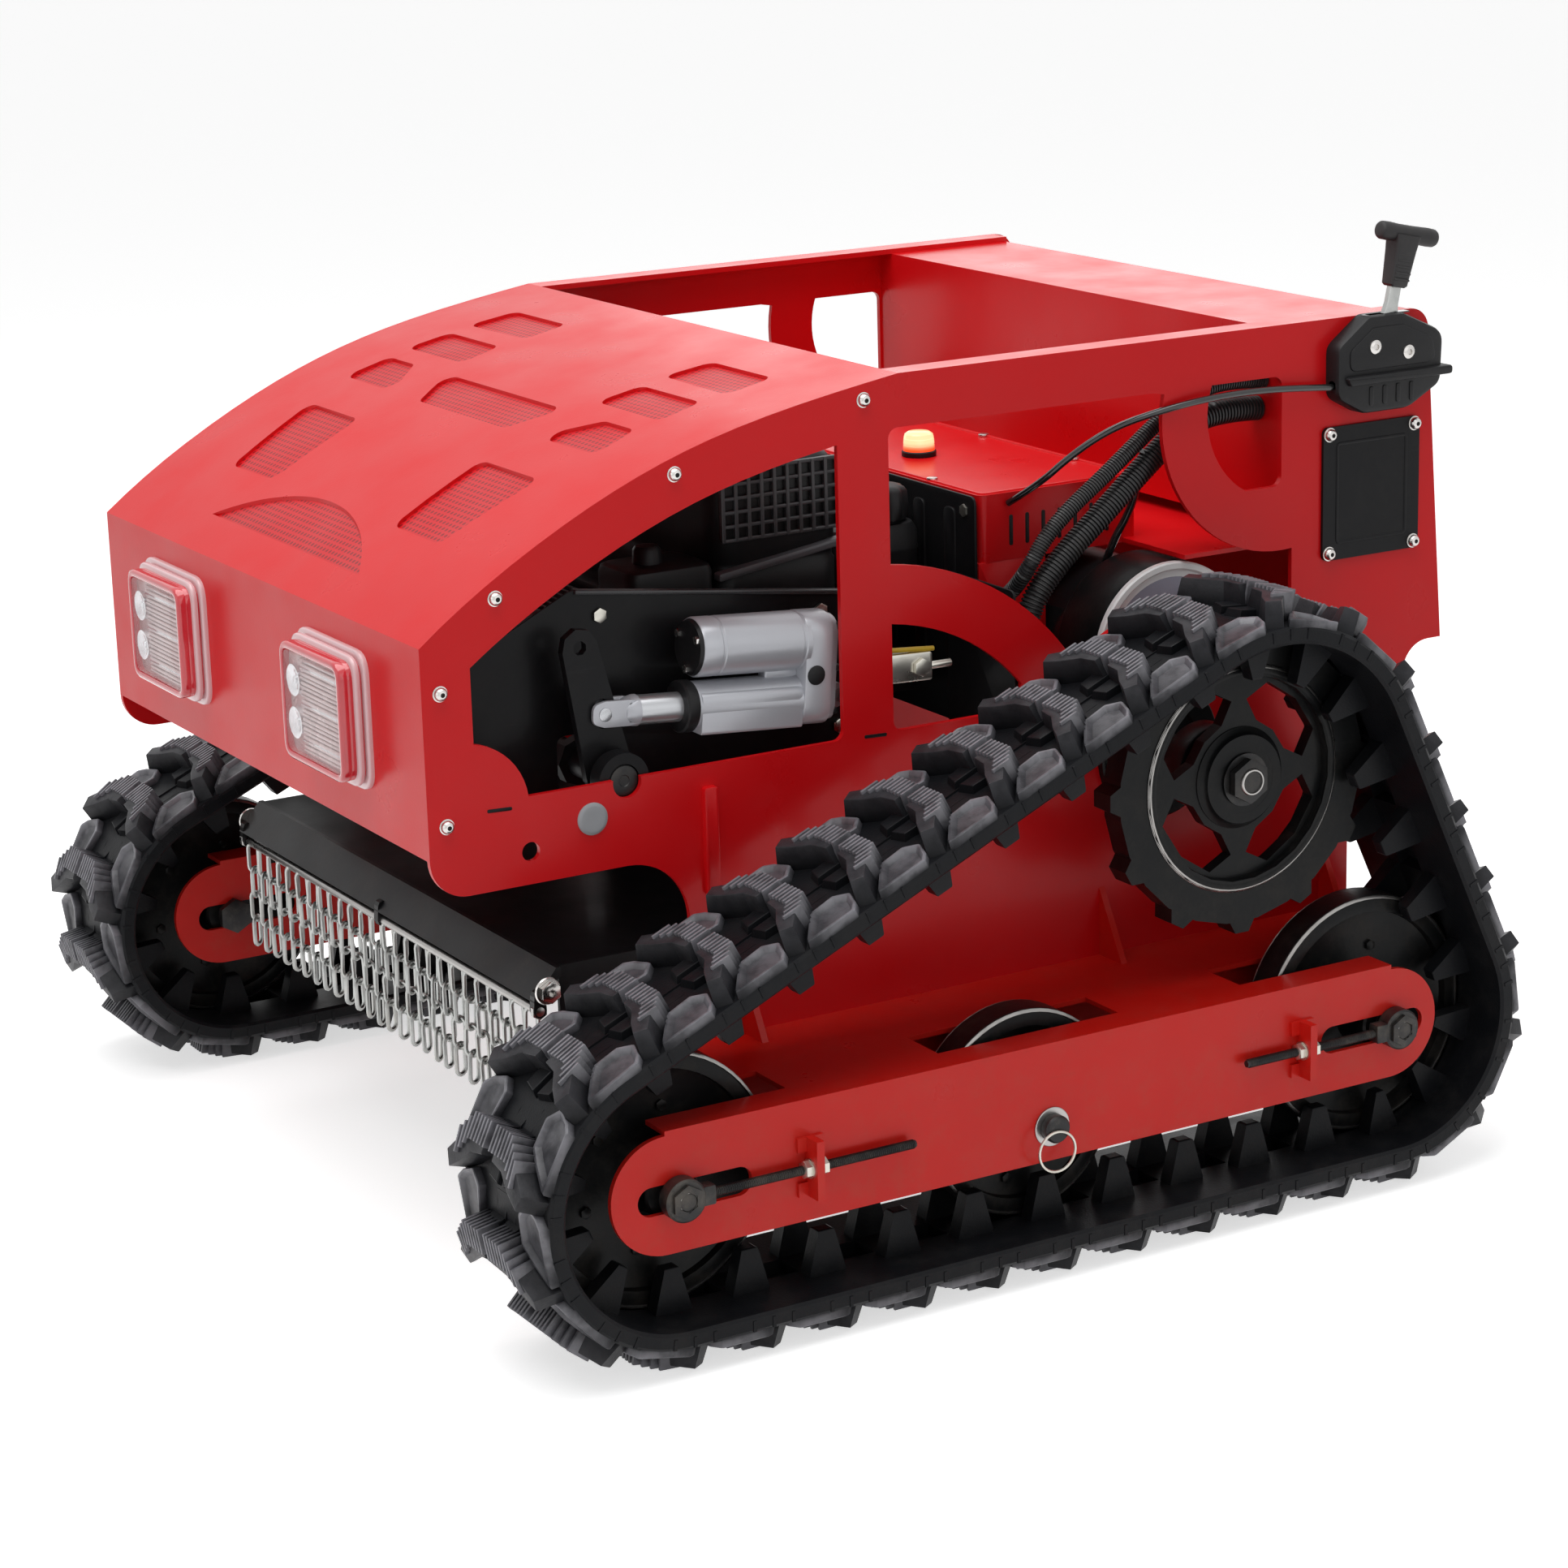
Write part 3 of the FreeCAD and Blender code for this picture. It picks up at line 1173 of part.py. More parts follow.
def front_arm():
    """Rock shaft with its two arms, their deck pins and the actuator's lever."""
    y, z = FRONT_PIVOT_Y, FRONT_PIVOT_Z
    half, top = ARM_SHEET / 2, ARM_HEIGHT / 2
    reach = INNER - SIDE_GAP
    pieces = []
    for side in (-1, 1):
        x = side * ARM_X
        arm = link_plate((y, z), top + ROCK_R / 2, (y + ARM, z), top, x - half, x + half)
        tip = x - side * (half + SIDE_GAP * 2 + EAR_SHEET)
        pieces += [arm, rod_between(V(x, y + ARM, z), V(tip, y + ARM, z), STUB_R)]
    x0, x1 = LEVER_X - LEVER_SHEET / 2, LEVER_X + LEVER_SHEET / 2
    lever = link_plate((y, z), top + ROCK_R / 2, (LEVER_TOP_Y, LEVER_TOP_Z), LEVER_HALF, x0, x1)
    way = math.atan2(ROD_PIN_Z - z, ROD_PIN_Y - y)
    slide = (SLOT_HALF * math.cos(way), SLOT_HALF * math.sin(way))
    play = ROD_PIN_R + SLOT_PLAY
    slot = link_plate((ROD_PIN_Y - slide[0] / 2, ROD_PIN_Z - slide[1] / 2), play,
                      (ROD_PIN_Y + slide[0] / 2, ROD_PIN_Z + slide[1] / 2), play - RUN / OVER,
                      x0 - OVER, x1 + OVER, True)
    spare = bar(V(x0 - OVER, LEVER_TOP_Y, LEVER_TOP_Z), X, ROD_PIN_R, LEVER_SHEET + 2 * OVER)
    shaft = rod(V(-reach, y, z), X, ROCK_R, reach * 2)
    return shaft.fuse(pieces + [lever.cut([slot, spare])]).removeSplitter()


def rear_arm():
    """Two arms on the stub pins, joined by the cross shaft that carries the deck's rear."""
    y, z = REAR_PIVOT_Y, REAR_PIVOT_Z
    half, top = ARM_SHEET / 2, ARM_HEIGHT / 2
    pieces = []
    for x in (-ARM_X, ARM_X):
        arm = link_plate((y, z), top, (y + ARM, z), top - RUN, x - half, x + half)
        pieces.append(arm.cut(rod(V(x - half - OVER, y, z), X, STUB_R + RUN,
                                  ARM_SHEET + 2 * OVER)))
    shaft = rod(V(-ARM_X, y + ARM, z), X, STUB_R, ARM_X * 2)
    return shaft.fuse(pieces).removeSplitter()


def actuator_frame(shape):
    """Turns a shape built level along +Y from the rod pin into the actuator's tilt."""
    shape.rotate(ORIGIN, X, -ACTUATOR_TILT)
    shape.translate(V(LEVER_X, ROD_PIN_Y, ROD_PIN_Z))
    return shape


def actuator_body():
    """Outer tube, gear case, motor can and tail eye with its pin."""
    tube = bar(V(0, TUBE_FRONT, 0), Y, TUBE_R, TUBE_BACK - TUBE_FRONT, TEETH)
    case = box(-GEARCASE_HALF, GEARCASE_HALF, TUBE_BACK - OVER / 2, GEARCASE_BACK,
               -GEARCASE_HALF, GEARCASE_TOP)
    can = bar(V(0, MOTOR_CAN_FRONT, MOTOR_CAN_RISE), Y, MOTOR_CAN_R,
              TUBE_BACK - MOTOR_CAN_FRONT, TEETH)
    tail = box(-CLEVIS_EAR, CLEVIS_EAR, GEARCASE_BACK - RUN, TAIL_PIN_BACK, -CLEVIS_R,
               CLEVIS_R)
    eye = bar(V(-CLEVIS_EAR, TAIL_PIN_BACK, 0), X, CLEVIS_R, CLEVIS_EAR * 2)
    pin = bar(V(-CLEVIS_R, TAIL_PIN_BACK, 0), X, ROD_PIN_R, CLEVIS_R + INNER - LEVER_X)
    bore = rod(V(0, TUBE_FRONT - OVER, 0), Y, ROD_R + RUN, TUBE_BORE + OVER)
    body = tube.fuse([case, can, tail, eye, pin]).cut(bore).removeSplitter()
    return actuator_frame(body)


def actuator_rod():
    """Push rod with its clevis and pin round the lever's slot."""
    inner = LEVER_SHEET / 2 + SIDE_GAP
    outer = inner + CLEVIS_EAR
    back = CLEVIS_R + CLEVIS_GAP
    stem = rod(V(0, back, 0), Y, ROD_R, TUBE_FRONT + ROD_HIDDEN - back)
    bridge = box(-outer, outer, back, back + CLEVIS_R, -CLEVIS_R, CLEVIS_R)
    pieces = [bridge, rod(V(-outer, 0, 0), X, ROD_PIN_R, outer * 2)]
    for x0 in (-outer, inner):
        pieces.append(bar(V(x0, 0, 0), X, CLEVIS_R, CLEVIS_EAR))
        pieces.append(box(x0, x0 + CLEVIS_EAR, 0, back, -CLEVIS_R, CLEVIS_R))
    return actuator_frame(stem.fuse(pieces).removeSplitter())


def deck_plan(inset, z0, z1):
    half, front = DECK_HALF - inset, DECK_FRONT_Y + inset
    rear = SPINDLE_Y + half
    points = [V(-half, SPINDLE_Y, z0), V(-half, front, z0), V(half, front, z0),
              V(half, SPINDLE_Y, z0)]
    bow = Part.Arc(points[3], V(0, rear, z0), points[0]).toShape()
    wire = Part.Wire(Part.makePolygon(points).Edges + [bow])
    return Part.Face(wire).extrude(V(0, 0, z1 - z0))


def deck_ear(x, y, z, bore):
    """Upright ear on the deck's top, with a bore for its arm's pin."""
    half = EAR_SHEET / 2
    ear = link_plate((y, z), EAR_HALF - ARM_HEIGHT / 6, (y, DECK_TOP_Z + EAR_HALF), EAR_HALF,
                     x - half, x + half)
    foot = box(x - half, x + half, y - EAR_HALF, y + EAR_HALF, DECK_TOP_Z - DECK_SHEET,
               DECK_TOP_Z + EAR_HALF)
    hole = rod(V(x - half - OVER, y, z), X, bore + RUN, EAR_SHEET + 2 * OVER)
    return ear.fuse(foot).cut(hole)


def deck_shell():
    """Pressed mowing deck, open below and at the front, with four lift ears."""
    shell = deck_plan(0, DECK_LOW_Z, DECK_TOP_Z)
    shell = shell.cut(deck_plan(DECK_SHEET, DECK_LOW_Z - OVER, DECK_TOP_Z - DECK_SHEET))
    mouth = box(-DECK_HALF + DECK_SHEET, DECK_HALF - DECK_SHEET, DECK_FRONT_Y - OVER,
                DECK_FRONT_Y + OVER, DECK_LOW_Z - OVER, SKIRT_LOW_Z)
    hole = rod(V(0, SPINDLE_Y, DECK_LOW_Z), Z, BLADE_SHAFT_R + RUN, DECK_TOP_Z)
    ears = []
    for x in (-EAR_X, EAR_X):
        ears.append(deck_ear(x, FRONT_PIVOT_Y + ARM, FRONT_PIVOT_Z, STUB_R))
        ears.append(deck_ear(x, REAR_PIVOT_Y + ARM, REAR_PIVOT_Z, STUB_R))
    shell = shell.cut([mouth, hole]).fuse(ears)
    return shell.removeSplitter()


def skirt_plate():
    """Slanted front plate that carries the chains' rod in end and middle eyes."""
    s = SKIRT_SHEET
    top_y = DECK_FRONT_Y - s
    plate = side_prism([
        (DECK_FRONT_Y, DECK_TOP_Z), (top_y, DECK_TOP_Z), (SKIRT_LOW_Y, SKIRT_LOW_Z),
        (SKIRT_LOW_Y + s, SKIRT_LOW_Z), (DECK_FRONT_Y, DECK_TOP_Z - s * 2)],
        -SKIRT_HALF, SKIRT_HALF)
    eyes = []
    for x0 in (-SKIRT_HALF, -s, SKIRT_HALF - s * 2):
        eye = link_plate((CHAIN_ROD_Y, CHAIN_ROD_Z), CHAIN_ROD_R + s / 2,
                         (CHAIN_ROD_Y, SKIRT_LOW_Z + s), CHAIN_ROD_R + s / 4, x0, x0 + s * 2)
        eyes.append(eye)
    bore = rod(V(-SKIRT_HALF - OVER, CHAIN_ROD_Y, CHAIN_ROD_Z), X, CHAIN_ROD_R + RUN,
               (SKIRT_HALF + OVER) * 2)
    return plate.fuse(eyes).cut(bore).removeSplitter()


def chain_link(x, top_z, flat):
    """One link as a four-cornered plate, its broad face turned to X or to Y."""
    w, h, t = CHAIN_OUT / 2, CHAIN_LINK, CHAIN_WIRE / 2
    shape = [(0, 0), (w, -h / 2), (0, -h), (-w, -h / 2)]
    if flat:
        return side_prism([(CHAIN_ROD_Y + a, top_z + b) for a, b in shape], x - t, x + t)
    return prism([(x + a, top_z + b) for a, b in shape], xz(CHAIN_ROD_Y - t), Y * CHAIN_WIRE)


def chain_curtain():
    """Hanging chains side by side on one rod, as links that cross at right angles."""
    reach = SKIRT_HALF
    step = 2 * CHAIN_SPAN / (CHAIN_COUNT - 1)
    pieces = []
    for i in range(CHAIN_COUNT):
        x = -CHAIN_SPAN + step * i
        pieces.append(bar(V(x - CHAIN_EYE / 2, CHAIN_ROD_Y, CHAIN_ROD_Z), X, CHAIN_EYE_R,
                          CHAIN_EYE))
        top = CHAIN_ROD_Z - CHAIN_EYE_R + CHAIN_OVERLAP / 2
        flat = False
        while top - CHAIN_LINK > CHAIN_ROD_Z - CHAIN_LENGTH:
            pieces.append(chain_link(x, top, flat))
            top -= CHAIN_LINK - CHAIN_OVERLAP
            flat = not flat
    s = SKIRT_SHEET
    for x in (-reach, -s, reach - s * 2):
        pieces.append(rod(V(x, CHAIN_ROD_Y, CHAIN_ROD_Z), X, CHAIN_ROD_R, s * 2))
    axle = bar(V(-reach, CHAIN_ROD_Y, CHAIN_ROD_Z), X, CHAIN_ROD_R - RUN * 2, reach * 2)
    return axle.fuse(pieces)


def spindle_housing():
    """Flanged spindle column with the engine's mounting plate on top."""
    base = bar(V(0, SPINDLE_Y, DECK_TOP_Z), Z, SPINDLE_BASE_R, SPINDLE_BASE)
    column = bar(V(0, SPINDLE_Y, DECK_TOP_Z), Z, SPINDLE_R, ENGINE_PLATE_Z - DECK_TOP_Z)
    plate = rounded_box(-ENGINE_PLATE_HALF, ENGINE_PLATE_HALF, ENGINE_FRONT_Y, ENGINE_REAR_Y,
                        ENGINE_PLATE_Z, ENGINE_Z, ENGINE_PLATE)
    ribs = []
    for turn in (45, 135):
        rib = box(-SPINDLE_BASE_R, SPINDLE_BASE_R, -SPINDLE_BASE / 2, SPINDLE_BASE / 2,
                  DECK_TOP_Z, ENGINE_PLATE_Z)
        rib.rotate(ORIGIN, Z, turn)
        rib.translate(V(0, SPINDLE_Y, 0))
        ribs.append(rib)
    bore = rod(V(0, SPINDLE_Y, DECK_TOP_Z - OVER), Z, BLADE_SHAFT_R + RUN,
               ENGINE_PLATE_Z - DECK_TOP_Z)
    return base.fuse([column, plate] + ribs).cut(bore).removeSplitter()


def blade_disc():
    """Carrier disc with its shaft up the spindle column and its nut below."""
    low = BLADE_DISC_Z
    plate = bar(V(0, SPINDLE_Y, low), Z, BLADE_DISC_R, BLADE_DISC)
    shaft = rod(V(0, SPINDLE_Y, low), Z, BLADE_SHAFT_R, ENGINE_PLATE_Z - low - 2 * OVER)
    points = []
    for i in range(6):
        a = math.radians(60 * i)
        r = BLADE_NUT_AF / math.sqrt(3)
        points.append(V(r * math.cos(a), SPINDLE_Y + r * math.sin(a), low - BLADE_NUT))
    nut = Part.Face(Part.makePolygon(points + points[:1])).extrude(Z * BLADE_NUT)
    return plate.fuse([shaft, nut]).removeSplitter()


def swing_blades():
    """Bar blades under the disc, each on its own bolt."""
    blades = []
    z = BLADE_DISC_Z - BLADE_SHEET
    for i in range(BLADES):
        half = BLADE_WIDTH / 2
        root = BLADE_PIVOT_R - half
        blank = tall_prism([(root, SPINDLE_Y - half, half / 2), (BLADE_R - half / 2, SPINDLE_Y - half),
                          (BLADE_R - half, SPINDLE_Y + half), (root, SPINDLE_Y + half, half / 2)],
                         z, BLADE_DISC_Z)
        bolt = bar(V(BLADE_PIVOT_R, SPINDLE_Y, z - BLADE_SHEET), Z, ROD_PIN_R * 2, BLADE_SHEET)
        blade = blank.fuse(bolt)
        blade.rotate(V(0, SPINDLE_Y, 0), Z, 360 * i / BLADES + 90)
        blades.append(blade)
    return blades


def engine_block():
    """Crankcase with the finned cylinder that points forward."""
    case = rounded_box(-CASE_HALF, CASE_HALF, CASE_FRONT_Y, CASE_REAR_Y, ENGINE_Z,
                       ENGINE_Z + CASE_HEIGHT, CASE_CORNER)
    low, high = ENGINE_Z + HEAD_LOW, ENGINE_Z + CASE_HEIGHT - HEAD_LOW / 2
    barrel = box(-HEAD_HALF, HEAD_HALF, HEAD_FRONT_Y, CASE_FRONT_Y, low + FIN_OUT / 2,
                 high - FIN_OUT / 2)
    fins = []
    for i in range(FINS):
        y = HEAD_FRONT_Y + i * FIN_STEP
        out = HEAD_HALF + FIN_OUT
        fins.append(box(-out, out, y, y + FIN_SHEET, low, high))
    return case.fuse([barrel] + fins).removeSplitter()


def grille_cuts(x0, x1):
    """Rows of louvre openings cut into the shroud's side face."""
    cuts = []
    dy = (GRILLE_REAR_Y - GRILLE_FRONT_Y + GRILLE_BAR) / GRILLE_BARS
    dz = (GRILLE_TOP_Z - GRILLE_LOW_Z + GRILLE_BAR) / GRILLE_ROWS
    for i in range(GRILLE_BARS):
        for j in range(GRILLE_ROWS):
            y, z = GRILLE_FRONT_Y + i * dy, GRILLE_LOW_Z + j * dz
            cuts.append(box(x0, x1, y, y + dy - GRILLE_BAR, z, z + dz - GRILLE_BAR))
    return cuts


def engine_shroud():
    """Blower housing with a louvred side and the recoil starter's round cover on top."""
    low = ENGINE_Z + CASE_HEIGHT
    shell = rounded_box(-SHROUD_HALF, SHROUD_HALF, SHROUD_FRONT_Y, SHROUD_REAR_Y, low,
                        SHROUD_TOP_Z, SHROUD_CORNER)
    middle_y = (SHROUD_FRONT_Y + SHROUD_REAR_Y) / 2
    cover = bar(V(0, middle_y, SHROUD_TOP_Z), Z, RECOIL_R, RECOIL_RISE)
    cuts = grille_cuts(SHROUD_HALF - GRILLE_DEPTH, SHROUD_HALF + OVER)
    return shell.fuse(cover).cut(cuts).removeSplitter()


def fuel_tank():
    low = ENGINE_Z + CASE_HEIGHT
    tank = rounded_box(-TANK_HALF, TANK_HALF, TANK_FRONT_Y, TANK_REAR_Y, low, TANK_TOP_Z,
                       TANK_CORNER)
    neck = bar(V(FILLER_X, FILLER_Y, TANK_TOP_Z - RUN), Z, FILLER_R, FILLER_RISE, TEETH)
    return tank.fuse(neck).removeSplitter()


def fuel_cap():
    """Screw cap over the filler neck, with finger lobes round its skirt."""
    base = TANK_TOP_Z + CAP_GAP
    points = []
    for i in range(CAP_LOBES * 2):
        a = math.pi * i / CAP_LOBES
        r = CAP_OUT_R - CAP_LOBE_R * (i % 2)
        points.append((FILLER_X + r * math.cos(a), FILLER_Y + r * math.sin(a)))
    cap = tall_prism(points, base, base + CAP_HEIGHT)
    return cap.cut(rod(V(FILLER_X, FILLER_Y, base - OVER), Z, FILLER_R + CAP_GAP,
                       OVER + FILLER_RISE))


def muffler():
    """Round silencer beside the cylinder, with its pipe to the head."""
    can = bar(V(MUFFLER_X, MUFFLER_Y - MUFFLER_LENGTH / 2, MUFFLER_Z), Y, MUFFLER_R,
              MUFFLER_LENGTH)
    pipe = bar(V(MUFFLER_X, MUFFLER_Y, MUFFLER_Z), X, MUFFLER_PIPE_R,
               -MUFFLER_X - HEAD_HALF - FIN_OUT)
    return can.fuse(pipe).removeSplitter()


def air_filter():
    """Air cleaner box with its clamp knob and the intake pipe to the head."""
    x0, x1 = FILTER_X - FILTER_HALF, FILTER_X + FILTER_HALF
    case = rounded_box(x0, x1, FILTER_FRONT_Y, FILTER_REAR_Y, FILTER_LOW_Z, FILTER_TOP_Z,
                       FILTER_CORNER)
    knob = bar(V(FILTER_X, FILTER_FRONT_Y + FILTER_HALF, FILTER_TOP_Z), Z, KNOB_R, KNOB_HEIGHT)
    y, z = (FILTER_FRONT_Y + FILTER_REAR_Y) / 2, FILTER_LOW_Z + MUFFLER_PIPE_R * 1.5
    pipe = bar(V(HEAD_HALF + FIN_OUT, y, z), X, MUFFLER_PIPE_R, x0 - HEAD_HALF - FIN_OUT)
    return case.fuse([knob, pipe]).removeSplitter()


def control_box():
    """Low electronics case on a shelf that reaches back between the side plates."""
    case = rounded_box(-CONTROL_HALF, CONTROL_HALF, CONTROL_FRONT_Y, CONTROL_REAR_Y,
                       CONTROL_LOW_Z, CONTROL_TOP_Z, CONTROL_CORNER)
    ear = box(-INNER, INNER, CONTROL_REAR_Y - CONTROL_CORNER * 2, CONTROL_EAR_REAR_Y,
              CONTROL_LOW_Z, CONTROL_LOW_Z + CONTROL_EAR_SHEET)
    return case.fuse(ear).removeSplitter()


def warning_beacon():
    """Round lamp: a flat base and a stepped lens."""
    low = V(BEACON_X, BEACON_Y, CONTROL_TOP_Z)
    base = bar(low, Z, BEACON_R, BEACON_BASE, TEETH)
    lens = bar(low, Z, BEACON_R - CAP_WALL / 2, BEACON_HEIGHT - CAP_WALL, TEETH)
    crown = bar(low, Z, BEACON_R - CAP_WALL, BEACON_HEIGHT, TEETH)
    return base.fuse([lens, crown]).removeSplitter()


def throttle_housing():
    """Lever gate on the left rail, slotted along its top for the lever."""
    c, x0, x1 = THROTTLE_CORNER, BODY_HALF, BODY_HALF + THROTTLE_SHEET
    y0, y1, low, high = THROTTLE_FRONT_Y, THROTTLE_REAR_Y, THROTTLE_LOW_Z, THROTTLE_TOP_Z
    body = side_prism([(y0, low + c, c), (y0 + c * 2, low), (y1 - c * 2, low), (y1, low + c),
                       (y1, high - c, c), (y1 - c * 2, high), (y0 + c * 2, high),
                       (y0, high - c * 2, c)], x0, x1)
    ledge = box(x0, x1 + LEDGE_OUT, y0 + c, y1 + LEDGE_OUT, LEDGE_Z, LEDGE_Z + LEDGE)
    middle = (x0 + x1) / 2
    half = LEVER_THICK / 2 + CAP_GAP * 2
    gate = box(middle - half, middle + half, THROTTLE_PIVOT_Y - GATE_HALF,
               THROTTLE_PIVOT_Y + GATE_HALF, THROTTLE_PIVOT_Z - LEVER_HUB_R - SIDE_GAP,
               high + OVER)
    pin = rod(V(x0, THROTTLE_PIVOT_Y, THROTTLE_PIVOT_Z), X, THROTTLE_PIN_R, THROTTLE_SHEET)
    return body.fuse(ledge).cut(gate).fuse(pin)


def lever_point(reach):
    """Point on the lever's middle line at a distance from its pivot."""
    lean = math.radians(LEVER_ANGLE)
    hub = V(BODY_HALF + THROTTLE_SHEET / 2, THROTTLE_PIVOT_Y, THROTTLE_PIVOT_Z)
    return hub + V(0, math.cos(lean), math.sin(lean)) * reach


def throttle_lever():
    """Flat lever on the gate's pin; its upper end sits inside the grip's leg."""
    hub, tip = lever_point(0), lever_point(LEVER_REACH - GRIP_LEG / 2)
    x0, x1 = hub.x - LEVER_THICK / 2, hub.x + LEVER_THICK / 2
    stem = link_plate((hub.y, hub.z), LEVER_HUB_R, (tip.y, tip.z), LEVER_WIDTH / 2, x0, x1)
    bore = rod(V(x0 - OVER, hub.y, hub.z), X, THROTTLE_PIN_R + RUN, LEVER_THICK + 2 * OVER)
    return stem.cut(bore)


def throttle_grip():
    """T-shaped handle: a leg over the lever's end and a cross bar square to it."""
    top = lever_point(LEVER_REACH)
    droop = math.radians(LEVER_ANGLE - 90)
    way = V(0, math.cos(droop), math.sin(droop))
    front = top - way * (GRIP_LENGTH * GRIP_FRONT_SHARE)
    leg = bar_between(lever_point(LEVER_REACH - GRIP_LEG), top, GRIP_LEG_R)
    handle = leg.fuse(bar_between(front, front + way * GRIP_LENGTH, GRIP_R))
    return handle.cut(throttle_lever())


def cord(points, radius):
    """Round cord through its points: straight runs joined by tangent arcs."""
    edges, last, turns = [], points[0], []
    for i in range(1, len(points) - 1):
        back = points[i - 1] - points[i]
        ahead = points[i + 1] - points[i]
        half = back.getAngle(ahead) / 2
        bend = CORD_BEND_SHARE * min(back.Length, ahead.Length) * math.tan(half)
        run = bend / math.tan(half)
        back.normalize()
        ahead.normalize()
        inward = (back + ahead).normalize()
        first, final = points[i] + back * run, points[i] + ahead * run
        middle = points[i] + inward * (bend / math.sin(half) - bend)
        edges.append(Part.makeLine(last, first))
        edges.append(Part.Arc(first, middle, final).toShape())
        turns.append(bend)
        last = final
    edges.append(Part.makeLine(last, points[-1]))
    way = (points[1] - points[0]).normalize()
    ring = Part.Wire(Part.makeCircle(radius, points[0], way))
    print("cord radius", radius, "length", round(sum(e.Length for e in edges), 1),
          "bends", [round(b, 1) for b in turns])
    return Part.Wire(edges).makePipeShell([ring], True, True)


def throttle_cable():
    points = [V(345, 389.7, 683), V(345, 348, 687), V(344, 300, 689), V(346, 252, 688),
              V(340, 210, 682), V(318, 174, 668), V(296, 146, 644), V(276, 126, 618),
              V(240.3, 118, 597)]
    return cord(points, THROTTLE_CORD_R)


def cable_conduit():
    points = [V(300, 343.7, 664), V(300, 296, 664), V(302, 252, 656), V(302, 216, 628),
              V(301, 186, 594), V(299, 158, 560), V(298, 138, 524), V(299, 122, 490),
              V(298, 113, 454), V(298, 118, 424), V(298, 146.3, 411)]
    return cord(points, CONDUIT_R)


def screw(x, y, z):
    """Screw head on a left-hand outer face."""
    return bar(V(x, y, z), X, SCREW_R, SCREW_HEAD)


def body_screws():
    """Socket screws along the hood's edges, at the front corners and on the covers."""
    places = []
    curve = hood_curve(HOOD_SCREW_IN)
    for share in HOOD_SCREW_SHARES:
        point = curve[round(share * (len(curve) - 1))]
        places.append((BODY_HALF, point.y, point.z))
    places += [(BODY_HALF, FRONT_SCREW_Y, z) for z in FRONT_SCREW_ZS]
    edge = COVER_SCREW_IN
    for y in (COVER_FRONT_Y + edge, COVER_REAR_Y - edge):
        for z in (COVER_LOW_Z + edge, COVER_TOP_Z - edge):
            places.append((BODY_HALF + COVER_SHEET, y, z))
    screws = [screw(*place) for place in places]
    return screws + [mirrored(s) for s in screws]


def end_caps():
    """Round plugs in the side plates."""
    caps = [bar(V(BODY_HALF, y, z), X, CAP_R, CAP_PROUD, TEETH)
            for y, z in ((PLUG_FRONT_Y, PLUG_FRONT_Z), (PLUG_REAR_Y, PLUG_REAR_Z))]
    return caps + [mirrored(c) for c in caps]


def both(shape):
    return [shape, mirrored(shape)]


def build():
    os.makedirs("parts", exist_ok=True)
    export_pair("side_plate", side_plate())
    export("hood_panel", hood_panel())
    export("hood_mesh", hood_mesh())
    export("headlamp_bodies", *both(headlamp()))
    export("lamp_lenses", *both(lamp_lens()))
    export("rear_box", rear_box())
    export("cover_plates", *both(cover_plate()))
    export("cross_bar", cross_members())
    export_pair("track_belt", track_belt())
    export_pair("track_frame", track_frame())
    export_pair("sprocket", sprocket())
    export_pair("drive_hub", drive_hub())
    export("gearboxes", *both(gearbox()))
    export("drive_motors", *both(drive_motor()))
    export("motor_covers", *both(motor_cover()))
    export_pair("front_idler", idler(FRONT_IDLER_Y))
    export_pair("rear_idler", idler(REAR_IDLER_Y))
    export_pair("mid_roller", mid_roller())
    export_pair("front_tensioner", tensioner(FRONT_IDLER_Y, ADJUST_END_FRONT_Y))
    export_pair("rear_tensioner", tensioner(REAR_IDLER_Y, ADJUST_END_REAR_Y))
    export("adjuster_nuts", *adjuster_nuts())
    export("roller_pins", *both(roller_pin()))
    export("pull_rings", *both(pull_ring()))
    export("pivot_bosses", *pivot_bosses())
    export("front_arm", front_arm())
    export("rear_arm", rear_arm())
    export("actuator_body", actuator_body())
    export("actuator_rod", actuator_rod())
    export("deck_shell", deck_shell())
    export("skirt_plate", skirt_plate())
    export("chain_curtain", chain_curtain())
    export("spindle_housing", spindle_housing())
    export("blade_disc", blade_disc())
    export("swing_blades", *swing_blades())
    export("engine_block", engine_block())
    export("engine_shroud", engine_shroud())
    export("fuel_tank", fuel_tank())
    export("fuel_cap", fuel_cap())
    export("muffler", muffler())
    export("air_filter", air_filter())
    export("control_box", control_box())
    export("warning_beacon", warning_beacon())
    export("throttle_housing", throttle_housing())
    export("throttle_lever", throttle_lever())
    export("throttle_grip", throttle_grip())
    export("throttle_cable", throttle_cable())
    export("cable_conduit", cable_conduit())
    export("body_screws", *body_screws())
    export("end_caps", *end_caps())


build()
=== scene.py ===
import bmesh
import bpy
from math import acos, cos, pi, radians, sin, tan
from functools import partial
from mathutils import Matrix, Vector
from mathutils.bvhtree import BVHTree


